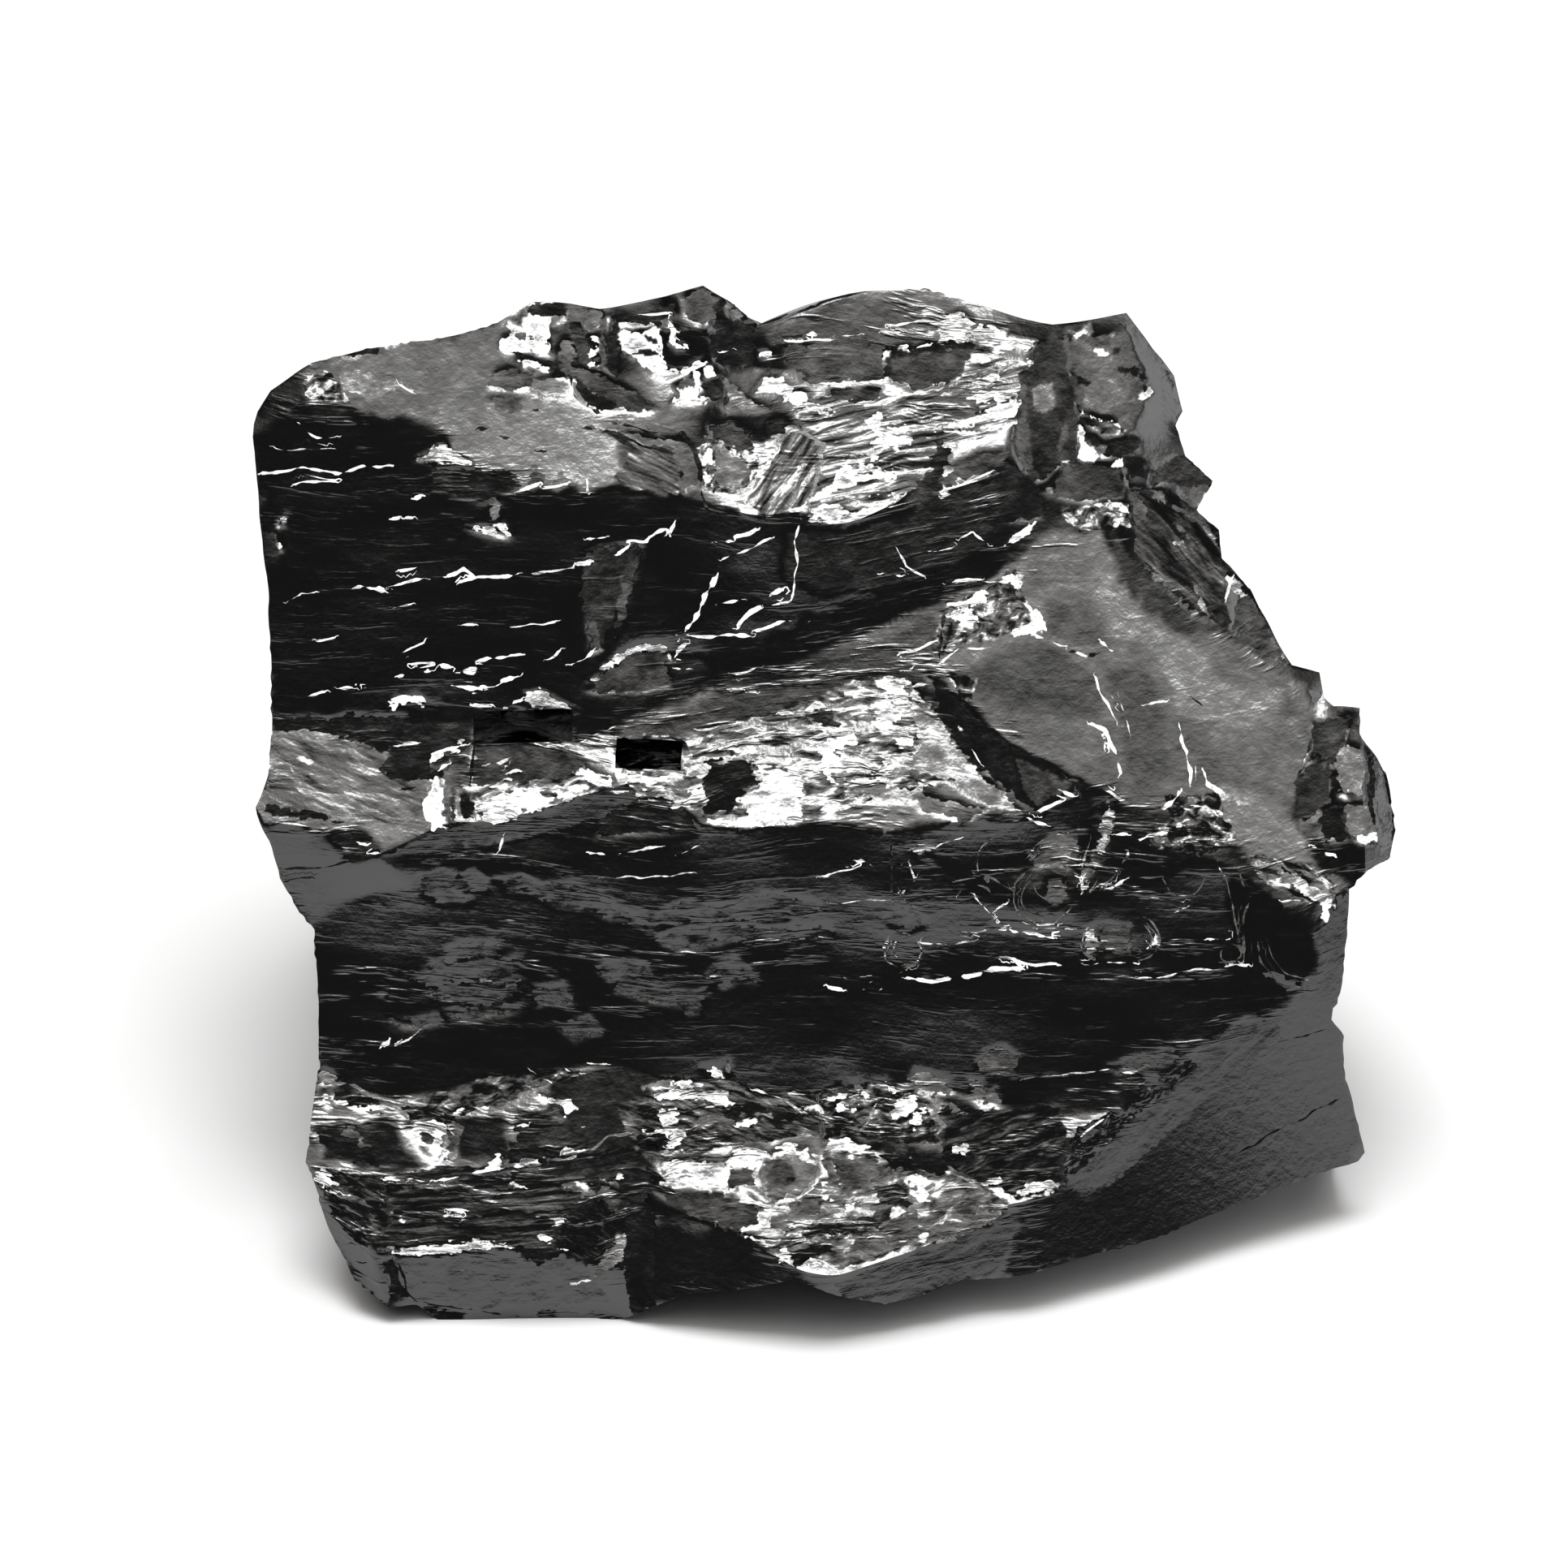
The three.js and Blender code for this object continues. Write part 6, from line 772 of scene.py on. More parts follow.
def smooth(points, faces, creases, held, rounds, crease_rounds):
    """Eases the points between creases, and the creases along themselves. Crease ends and held points
    stay."""
    count = len(points)
    _, ends, _ = edges_of(faces, count)
    meets = np.bincount(creases.reshape(-1), minlength=count)
    plain = (meets == 0) & ~held
    running = (meets == 2) & ~held
    for moved, pairs, times in ((running, creases, crease_rounds), (plain, ends, rounds)):
        pairs = np.vstack([pairs, pairs[:, ::-1]])
        pairs = pairs[moved[pairs[:, 0]]]
        number = np.maximum(np.bincount(pairs[:, 0], minlength=count), 1)
        for _ in range(times):
            around = add_up(pairs[:, 0], points[pairs[:, 1]], count) / number[:, None]
            points = np.where(moved[:, None], 0.5 * (points + around), points)
    return points


def to_map(points):
    """Each point's place across, up and out of the front, in mm."""
    shifted = points - FACE_ORIGIN
    return shifted @ ACROSS, shifted @ UP, shifted @ OUT


def outside(across, up, outline):
    """How far each place is outside an outline, in mm. It is negative inside."""
    gap = np.full(across.shape, np.inf)
    within = np.zeros(across.shape, bool)
    for (ax, ay), (bx, by) in zip(outline, np.roll(outline, -1, axis=0)):
        dx, dy = bx - ax, by - ay
        t = np.clip(((across - ax) * dx + (up - ay) * dy) / (dx * dx + dy * dy), 0, 1)
        gap = np.minimum(gap, np.hypot(across - ax - t * dx, up - ay - t * dy))
        crosses = ((ay > up) != (by > up)) & (across < ax + (up - ay) * dx / (dy or TINY))
        within ^= crosses
    return np.where(within, -gap, gap)


def near_outline(across, up, outline, reach):
    """The numbers of the places within reach of an outline's box."""
    low, high = outline.min(axis=0) - reach, outline.max(axis=0) + reach
    return np.flatnonzero((across > low[0]) & (across < high[0]) & (up > low[1]) & (up < high[1]))


# ---- the stone --------

# A map of the front in square cells. It reaches this far from its middle, in mm.
MAP_ACROSS = 23.0
MAP_UP = 21.0
MAP_STEP = 0.1
MAP_SHAPE = (int(2 * MAP_ACROSS / MAP_STEP), int(2 * MAP_UP / MAP_STEP))
FINE_CELLS = 2
RIB_POINTS = 9


def map_cell(place, half):
    """The cell of the map that a place falls in."""
    return np.clip(((place + half) / MAP_STEP).astype(int), 0, int(2 * half / MAP_STEP) - 1)


def pairs(run):
    """A run of across, up pairs, one pair to a row."""
    return np.array(run, float).reshape(-1, 2)


def lines():
    """Every bright line: half its width, how far it leans up, and its run."""
    drawn = [(half, lean, pairs(run)) for half, lean, run in GLINTS]
    for half, lean, across, up, radius, start, end in RIBS:
        bearing = np.radians(np.linspace(start, end, RIB_POINTS))
        run = np.stack([across + radius * np.cos(bearing), up + radius * np.sin(bearing)], axis=1)
        drawn.append((half, lean, run))
    return drawn


def detail_map():
    """Marks the cells of the front where a chip has its edge or a bright line runs."""
    fine = np.zeros(MAP_SHAPE, bool)
    outlines = [pairs(outline) for _, outline in CHIPS]
    runs = [np.vstack([outline, outline[:1]]) for outline in outlines]
    runs += [run for _, _, run in lines()]
    reach = range(-FINE_CELLS, FINE_CELLS + 1)
    for run in runs:
        for start, end in zip(run[:-1], run[1:]):
            number = max(2, int(np.linalg.norm(end - start) / (0.5 * MAP_STEP)))
            places = start + (end - start) * np.linspace(0, 1, number)[:, None]
            i, j = map_cell(places[:, 0], MAP_ACROSS), map_cell(places[:, 1], MAP_UP)
            for di in reach:
                for dj in reach:
                    fine[i + di, j + dj] = True
    return fine


class StoneSettings(bpy.types.PropertyGroup):
    fine_step: bpy.props.FloatProperty(
        name="Fine step", description="Longest edge round chips and bright lines, in mm", default=0.152,
        min=0.05)
    plain_step: bpy.props.FloatProperty(
        name="Plain step", description="Longest edge on the rest of the front, in mm", default=0.32, min=0.1)
    coarse_step: bpy.props.FloatProperty(
        name="Coarse step", description="Longest edge on the sides and the back, in mm", default=0.7,
        min=0.2, max=4.0)
    crease_angle: bpy.props.FloatProperty(
        name="Crease angle", description="Edges that turn by more than this stay sharp",
        default=math.radians(17), subtype="ANGLE")
    body_colour: bpy.props.FloatVectorProperty(
        name="Body colour", description="Colour of the carbon under its gloss", default=linear("080707"),
        subtype="COLOR", size=3, min=0.0, max=1.0)


# Seeds of the noise, so that each run gives the same stone.
SEED = {"roll": 3, "beds": 21, "shells": 22, "chips": 31, "lines": 33, "grounds": 35, "swell": 36,
        "bend": 41, "rank": 51, "flakes": 61}

# Relief of the front, in mm: the most that a chip or a flake is cut, how softly a chip's cut ends, and a low
# roll with the size of its lumps. A flake also turns sideways, by this slope.
CHIP_DEPTH = 0.10
CHIP_SOFTNESS = 0.22
FLAKE_DEPTH = 0.08
FLAKE_TURN = 0.1
ROLL_DEPTH = 0.02
ROLL_ACROSS = 1.6
ROLL_UP = 0.8

# How far outlines wander, and over what length, in mm.
WANDER = 0.12
LINE_WANDER = 0.9 * WANDER
GROUND_WANDER = 2 * WANDER
WANDER_LENGTH = 0.7
STREAK_WANDER = 0.25
STREAK_WANDER_LENGTH = 1.4

# How far round an outline places are worked out, in mm. Beyond it they count as far away.
REACH = 0.6
LINE_REACH = 0.5
BEDDING_REACH = 0.8
FAR = 3.0

# Where each kind of ground fades out, in mm from its outline. Inside is negative. Chips closer than the
# margin count as overlapping, and each streaked ground starts this far on in the pattern.
GROUND_EDGE = (-0.18, 0.12)
STREAK_EDGE = (-0.3, 0.2)
BEDDING_EDGE = (-0.5, 0.3)
CHIP_MARGIN = 0.15
STREAK_APART = 40

# Bright lines swell and thin by this share of their width, over these lengths in mm.
LINE_SWELL = 0.45
SWELL_ACROSS = 0.8
SWELL_UP = 0.3

# Relief of the sides and the back, in mm: the depth of the beds and of the shells, and their sizes.
BED_DEPTH = 0.12
BED_LENGTH = 6.0
BED_HEIGHT = 0.9
SHELL_DEPTH = 0.10
SHELL_LENGTH = 3.5

# The values kept on the mesh's points for the stone's finish to read.
CHIP_LAYERS = 4
FIELDS = ["front", "ground", "bedding", "streak_place", "streak_lean", "glint", "glint_near", "glint_lean",
          *(f"chip_{layer}_{part}" for layer in range(1, CHIP_LAYERS + 1) for part in ("edge", "lean"))]


def wander(across, up, amount, seed):
    """Moves places a little, so that straight outlines run unevenly."""
    a, b = across / WANDER_LENGTH, up / WANDER_LENGTH
    return across + amount * noise(a, b, 0.5, seed), up + amount * noise(a, b, 7.5, seed + 1)


def lay_chips(across, up, height, looks):
    """Sets, for each place, the chip that it lies on: how far the place is outside the chip and how the
    chip leans. Chips that overlap go into layers of their own. Each chip also turns the ground a little."""
    wide, tall = wander(across, up, WANDER, SEED["chips"])
    taken = np.zeros((CHIP_LAYERS, *MAP_SHAPE), bool)
    edge = np.full((CHIP_LAYERS, len(across)), FAR)
    lean = np.zeros((CHIP_LAYERS, len(across), 3))
    cells_a, cells_b = map_cell(across, MAP_ACROSS), map_cell(up, MAP_UP)
    for tilt, outline in CHIPS:
        tilt = tilt if isinstance(tilt, tuple) else (tilt, 0)
        corners = pairs(outline)
        near = near_outline(across, up, corners, REACH)
        gap = outside(wide[near], tall[near], corners)
        close = near[gap < CHIP_MARGIN]
        if not len(close):
            continue
        here = cells_a[close], cells_b[close]
        below = [n for n in range(CHIP_LAYERS) if taken[n][here].any()]
        layer = min(max(below, default=-1) + 1, CHIP_LAYERS - 1)
        taken[layer][here] = True
        won = (gap < edge[layer, near]) | (gap < 0)
        edge[layer, near] = np.minimum(edge[layer, near], gap)
        lean[layer, near[won]] = (*np.tan(np.radians(tilt)), 0.0)
        within = 1 - smoothstep(-CHIP_SOFTNESS, CHIP_SOFTNESS, gap)
        rise, turn = np.tan(np.radians(tilt))
        middle = corners.mean(axis=0)
        level = np.average(height[near], weights=within + SMALL)
        depth = level - rise * (up[near] - middle[1]) - turn * (across[near] - middle[0]) - height[near]
        height[near] += within * np.clip(depth, -CHIP_DEPTH, CHIP_DEPTH)
    for n in range(CHIP_LAYERS):
        looks[f"chip_{n + 1}_edge"] = edge[n]
        looks[f"chip_{n + 1}_lean"] = lean[n]


def lay_glints(across, up, looks):
    """Sets how many half widths each place is from the nearest bright line, with a sign that tells its two
    sides apart, how far that is in mm, and how the line leans."""
    wide, tall = wander(across, up, LINE_WANDER, SEED["lines"])
    swell = 1 + LINE_SWELL * noise(across / SWELL_ACROSS, up / SWELL_UP, 0.0, SEED["swell"])
    looks["glint"] = np.full(len(across), FAR * 10)
    looks["glint_near"] = np.full(len(across), FAR)
    looks["glint_lean"] = np.zeros(len(across))
    for half, lean, run in lines():
        near = near_outline(across, up, run, LINE_REACH)
        x, y = wide[near], tall[near]
        best = np.full(len(near), np.inf)
        side = np.ones(len(near))
        for start, end in zip(run[:-1], run[1:]):
            along = end - start
            length = np.linalg.norm(along)
            dx, dy = x - start[0], y - start[1]
            t = (dx * along[0] + dy * along[1]) / length
            off = (dx * along[1] - dy * along[0]) / length
            past = np.maximum(np.maximum(-t, t - length), 0)
            gap = np.hypot(off, past) / (half * swell[near])
            won = gap < best
            best[won], side[won] = gap[won], np.sign(off[won])
        won = best < np.abs(looks["glint"][near])
        looks["glint"][near[won]] = (side * best)[won]
        looks["glint_near"][near[won]] = half * best[won]
        looks["glint_lean"][near[won]] = math.tan(math.radians(lean))


# Wide, smooth grounds of the front: how far each leans up, and its outline. Where a ground curves, it has
# two leans instead, each with the across and up place where it is met.
GROUNDS = {
    "flare": (15, (-20.4, 3, -15.6, 2.6, -15.2, 1.4, -12.4, 0.8, -14, -0.9, -17, -0.8, -20.4, -0.5)),
    "flare corner": (1, (-15.7, 3.1, -12.4, 3, -12.5, 1.9, -13.6, 1.4, -15.3, 1.6)),
    "dark slope": (0.5, (-1.5, 9.7, 0.6, 9.8, 3, 10.4, 4.4, 11.2, 6.3, 11.6, 6.6, 10.2, 5, 8.6, 3.2, 7.8,
     0, 7.4, -1.5, 8)),
    "dark foot": (-4, (-2, 5.2, 0, 5.85, 2, 6.55, 4.1, 7.3, 4.5, 8.2, 3.5, 8.2, 1, 7.2, -2, 6)),
    "block top": (8.5, (8.7, 17, 10.5, 17.2, 11.3, 15.4, 11.2, 14, 10.9, 13.4, 10, 13.9, 8.9, 14,
     8.7, 15.5)),
    "bevel upper": (12, (-18.6, 15.2, -16, 15.9, -12, 16.7, -11.4, 16, -11.8, 14.4, -13.5, 13.8, -15, 13.7,
     -18, 14)),
    "bevel lower": (((16.7, -8, 11.5), (13.4, -12, 14.5)), (-13.5, 13.8, -12, 14.2, -10, 14.4, -8.2, 13.9,
     -7.5, 13.1, -6.9, 12.4, -7.4, 11.7, -6.8, 11.2, -9, 11.15, -11, 11.15, -12.2, 11.6, -13, 12.6)),
    "under bowl": (9, (-7.3, 12.7, -5.4, 12.5, -5.2, 11.4, -5.6, 10.8, -7.2, 11.2)),
    "dome top": (((7.5, 0, 17), (9.5, 3, 17.5)), (-2.3, 16.7, 0, 17.8, 3, 18.3, 5, 17.9, 4, 17.3, 3.6, 16.5,
     2.2, 16.3, -1.8, 16.2)),
    "sail": (((14, 9, 9), (11, 12, 1)), (8, 9.9, 9.6, 9.7, 10.6, 8, 11.4, 6.9, 12.8, 6.2, 14.2, 6.1,
     15.6, 5, 16.4, 4.6, 17, 3.2, 17.2, 2.2, 16.7, 0.8, 16.4, -0.3, 17.2, -2, 15, -1.7, 13.9, -0.9,
     12.6, -0.4, 11, -0.1, 9.9, 0.5, 9, 0.95, 7.4, 1.8, 6.2, 2.6, 5, 3.7, 4.3, 4.3, 4.1, 5.4, 4.2, 7,
     5, 7.7, 6, 8.2, 7.3, 9.1)),
    "sail left": (8.3, (4.4, 4.6, 5.5, 5, 6, 5.4, 7.2, 6, 8, 5.6, 9.2, 5.2, 9.6, 4.5, 9.8, 3.6, 9.6, 3.1,
     8, 3.1, 6.3, 3.4, 5, 3.8)),
    "sail low": (12, (5.2, 3.6, 8, 3, 9.6, 2.9, 10.2, 1.8, 10.2, 1, 9, 1, 7.2, 2, 6.2, 2.7)),
    "sail middle": (8.8, (9.9, 4.9, 11.2, 5, 11.9, 3.2, 12, 1, 11.6, 0.3, 10.9, 0.2, 10.5, 0.8, 10.4, 2.6,
     10, 3.9)),
    "sail light": (((15.4, 11, 7), (15.4, 14, 3)), (9.2, 8.6, 10, 8.2, 10.6, 7.2, 11.6, 6.4, 12.9, 5.9,
     13.4, 5.3, 14, 4.6, 14.9, 4.2, 16.2, 4.3, 16, 3.2, 14.6, 2.6, 13.6, 2.9, 12.4, 3.4, 12, 4.6, 11.2, 5.6,
     10.2, 6.3, 9.4, 7.6)),
    "sail right": (13, (13.6, 2.8, 16.6, 3.2, 17, 2, 16.5, 0.2, 15.2, 0.8, 14.2, 1.6, 13.2, 2.4)),
    "sail lobe": (15.5, (13.7, 0.7, 14.7, 0.8, 15.2, 0.5, 16.6, -0.5, 17, -1.4, 17.4, -2.1, 16, -1.9,
     14.6, -1.3, 13.8, -0.9)),
    "sail peak": (12.5, (7.2, 9.2, 8.4, 9.6, 9.2, 9, 9.2, 8, 9, 6.4, 8.2, 6.4, 7.8, 7.2, 7, 8.2)),
    "sail waist": (9.5, (7.8, 7.2, 9, 7.4, 9.8, 6.8, 9.9, 5.9, 9, 5.7, 8.2, 6, 7.8, 6.4)),
    "sail ridge": (5.5, (9.9, 9.7, 10.5, 9.2, 11.2, 8.5, 12.2, 7.3, 13.4, 6.4, 12.4, 6.5, 11.6, 6.9,
     11, 7.4, 10.5, 8.2, 10, 8.9)),
    "flare low": (((8, -18, 1), (8.5, -18, 1)), (-19.7, 1.6, -19.2, 1.5, -18.2, 0.8, -17.2, 0.5, -17, 0,
     -18.3, -0.1, -19.3, 0.15, -19.8, 0.3)),
    "flare lobe": (15.8, (-17.2, 0.6, -15, 0.8, -14.1, 0.4, -14.1, -0.7, -15.2, -1.5, -16, -0.9,
     -16.5, -0.5, -17.3, -0.3)),
    "flare middle": (15.6, (-17.6, 1.8, -15.6, 1.6, -15.3, 1.1, -16.4, 1.1, -17.4, 1.4)),
    "flare top": (17, (-19.4, 2.3, -19.2, 2.7, -18.2, 2.7, -17, 2.5, -16.5, 2.2, -17.5, 1.9, -18.6, 2.2)),
    "lip": (-18.2, (-15.7, -1.75, -13.9, -0.85, -13.3, -0.55, -11.6, -0.6, -10.8, -0.45, -8.6, 0.35,
     -7.4, 0.75, -6.5, 0.6, -6, 0.2, -8, -0.35, -10, -0.95, -11.3, -1.1, -13.5, -1.4, -15.5, -1.9)),
    "ledge band": (7, (-8, 2.3, -3.5, 4, -1, 4.6, 1.5, 5.4, 3.8, 6.8, 4.2, 5.6, 1.5, 4.8, -0.5, 3.9,
     -2.2, 3.4, -4.2, 2.7, -7, 2.2)),
    "ledge light": (18, (-2.4, 2.9, -1, 2.6, -0.8, 2.1, -1.6, 1.8, -2.6, 1.9)),
    "shoulder": (((-22.5, 17.5, -8), (-11, 10.6, -14)), (6.8, -14, 8.6, -13, 10.4, -11.4, 12, -9.9,
     13, -8.5, 15, -7, 17.4, -5.6, 20.4, -7, 20.6, -12.5, 16, -14.6, 11, -15.8, 6, -16.8)),
    "end face": (-9, (-6.9, -14.6, -3.4, -14.9, -1.6, -16.3, -3, -17.2, -7, -17.6)),
    "band end": (-6, (14.2, -2.5, 15.6, -3.2, 17.2, -4, 17.3, -5.6, 16.6, -6.6, 15.4, -7.3, 14.2, -7)),
    "foot left": (2, (-17.6, -11.2, -15.2, -10.9, -14.7, -12.1, -13.9, -12.6, -15, -12.9, -17.7, -12.5)),
    "foot ring": (2, (-13.1, -11, -11.2, -10.9, -11, -12.4, -12.8, -12.6)),
    "foot hollow": (3.5, (-9.7, -9.3, -6.2, -9.2, -6, -10.2, -6.5, -11.9, -8.4, -12.1, -8.8, -11,
     -10, -10.6)),
    "shoulder edge": (-18.4, (8.3, -13.4, 9, -12.2, 11, -10.5, 13.2, -8.7, 15, -7.3, 15.5, -8, 13.5, -9.8,
     11.2, -11.7, 9.2, -13.7)),
    "right strip": (-19.5, (17.4, -3.6, 19, -2.8, 19.2, -6.4, 17.6, -6.2)),
    "nose underside": (-17.2, (0.4, -16.6, 3.4, -15.5, 5, -15.1, 7, -14.1, 6.2, -16.2, 5, -17.3, 1, -17.8)),
}

# Streaked grounds of the front: the length and the thickness of the streaks, how far the streaks rise to the
# right, their mean lean up and the spread of it, and the outline.
STREAKS = {
    "dome": (1.6, 0.22, 12, 14.5, 12, (-0.6, 9.9, -0.3, 12.5, -1.4, 14.4, 0.5, 14.5, 2.2, 14.6, 4.4, 14.7,
     5.2, 16.2, 7.4, 15.6, 7, 13.6, 5.6, 13, 4.2, 12.7, 3, 11, 0.5, 10.1)),
    "under bowl": (1.3, 0.2, -25, 9, 7, (-8.3, 13.5, -5.2, 12.7, -4.9, 11, -6.7, 11, -7.4, 11.6, -6.9, 12.4,
     -7.4, 12.9)),
    "dome left": (1.4, 0.24, 55, 13, 9, (-2.9, 10.8, -1.4, 13.2, 0.2, 13, -0.5, 10.6, -2, 10.2)),
    "ledge left": (0.7, 0.25, 10, 17.5, 12, (-12.3, 0.8, -8.2, 1.2, -7.4, 0.8, -9.6, 0, -11.7, -0.6,
     -12.4, 0)),
    "ledge": (0.9, 0.3, 3, 17.9, 13.5, (-7.9, 2.4, -4.8, 2.6, -1, 3.6, 1, 4.6, 3, 4.5, 4.2, 2.8, 5.4, 1.2,
     3, 0.7, 0.2, -0.2, -3.6, -0.6, -6.5, 0.4)),
    "left flare": (1.5, 0.28, -18, 14.5, 6, (-19.9, 2.7, -15.6, 2.4, -15.2, 1.1, -13.9, 0.7, -13.8, -0.5,
     -16.5, -0.6, -19.8, 0.3)),
    "block face": (1, 0.25, 0, -20, 3, (-15.6, -15.9, -8.6, -15.8, -7.4, -17.6, -14.6, -17.6)),
    "upper left rim": (0.5, 0.35, 0, 12, 16, (-18.5, 14.9, -17.6, 15.4, -17, 14.8, -16.6, 14.2, -17.6, 14.1,
     -18.3, 14.3)),
    "bowl": (0.4, 0.3, 30, 15, 13, (-4.6, 12.7, -3.6, 13.1, -2.6, 12.6, -2.4, 11.6, -3.1, 10.9, -4.3, 11)),
    "right chips": (0.5, 0.35, 10, 12, 14, (7.8, 10.5, 10.7, 10.7, 10.9, 9.9, 9, 9.7)),
    "leaves": (1.6, 0.34, -44, 4.5, 7, (10.7, 11.2, 12.2, 11.3, 13.3, 10.3, 14.2, 8.4, 14.3, 6.4, 13.6, 6.3,
     10.8, 9)),
    "sail chips": (0.45, 0.3, 20, 11, 12, (4, 6.9, 5.4, 7.6, 6.7, 8.5, 7, 7.4, 7.8, 6.2, 6.4, 6, 4.4, 5.4,
     3.8, 5.4)),
    "groove bank": (0.5, 0.3, -40, 9, 14, (3.9, 5, 5.6, 4.6, 5, 3.6, 4.4, 4.2)),
    "sail foot": (0.45, 0.3, 0, 6, 15, (11.8, 0.4, 13.8, 0.6, 14.4, -1.2, 13, -1.7, 11, -1.2, 12, -0.5)),
    "rough bank": (0.6, 0.22, 15, 6, 12, (-14.9, -10.6, -13.8, -10.1, -12.4, -9.7, -10.6, -9.4, -8.6, -9.1,
     -8.6, -9.6, -10.3, -9.9, -11.8, -10.6, -13.4, -11, -14.6, -11)),
    "laminae": (1.8, 0.16, 4, 4, 8, (-16.2, -13, -14.5, -12.7, -11, -12.6, -8.2, -12.2, -7.2, -13.6,
     -9, -14.6, -9.5, -15.5, -16, -15.4, -15.2, -14.2)),
    "foot left": (0.7, 0.2, -20, 2, 10, (-18, -13.4, -17, -12.6, -15.4, -13, -15.2, -14.8, -16.2, -15.6)),
    "foot bank": (0.8, 0.18, -15, 8, 10, (-7.4, -10.4, -5, -9.7, -2.6, -9.7, -0.4, -10.2, 0, -11.6,
     -3, -11.9, -5, -12.4, -6.4, -12.2, -7.2, -11.2)),
    "foot middle": (0.55, 0.22, 10, 7, 12, (-0.4, -10, 2, -9.7, 3.4, -10.2, 4, -11.2, 4, -12, 3, -12,
     0, -11.6)),
    "foot right": (1, 0.2, 18, 1, 9, (4, -10.6, 8.4, -10.4, 8.6, -13.2, 6.6, -13.8, 4.2, -12.6)),
    "band left": (0.9, 0.2, 12, 13, 8, (-14.9, -10.4, -12.2, -9.7, -9.6, -9.4, -9.6, -9.8, -12.3, -10.3,
     -14, -10.9)),
    "nose": (0.8, 0.32, 15, 14.5, 9, (-0.2, -11.8, 2, -12.2, 4.4, -12.8, 6.4, -13.8, 3.4, -15.2, 0.4, -16.2,
     -1.6, -15.4, -1.4, -14, 0, -13)),
    "nose underside": (1.5, 0.25, 22, -16.9, 2.5, (0.4, -16.6, 3.4, -15.6, 6.9, -14.3, 6.2, -16.1, 5, -17.2,
     1, -17.6)),
    "wedge chips": (0.8, 0.22, -30, -1, 9, (-9.2, -13.2, -7.6, -12.9, -6.9, -14.4, -7, -16.2, -8.8, -16,
     -10, -15)),
    "right flare": (0.7, 0.22, -20, 13, 13, (14.6, -1.6, 17, -1.9, 17.9, -2.6, 17.8, -3.8, 16.4, -3.2,
     15.2, -2.6)),
    "shoulder edge": (0.6, 0.25, 35, -10, 16, (7.6, -12.6, 9, -11.2, 11, -10.2, 12.8, -8.8, 13.2, -9.2,
     10.8, -11, 9.2, -12.6, 8.4, -13.2)),
    "shoulder face": (1.8, 0.3, 38, -18.4, 2, (8.6, -13.4, 13.4, -9.2, 16, -7.4, 16.3, -8.4, 13.4, -10.4,
     10, -13.4)),
    "knob": (0.5, 0.35, 60, 6, 13, (16.6, 1.2, 17.4, 3, 18.6, 3.2, 18.4, 1.6, 17.6, 0.2, 16.8, -0.6)),
}

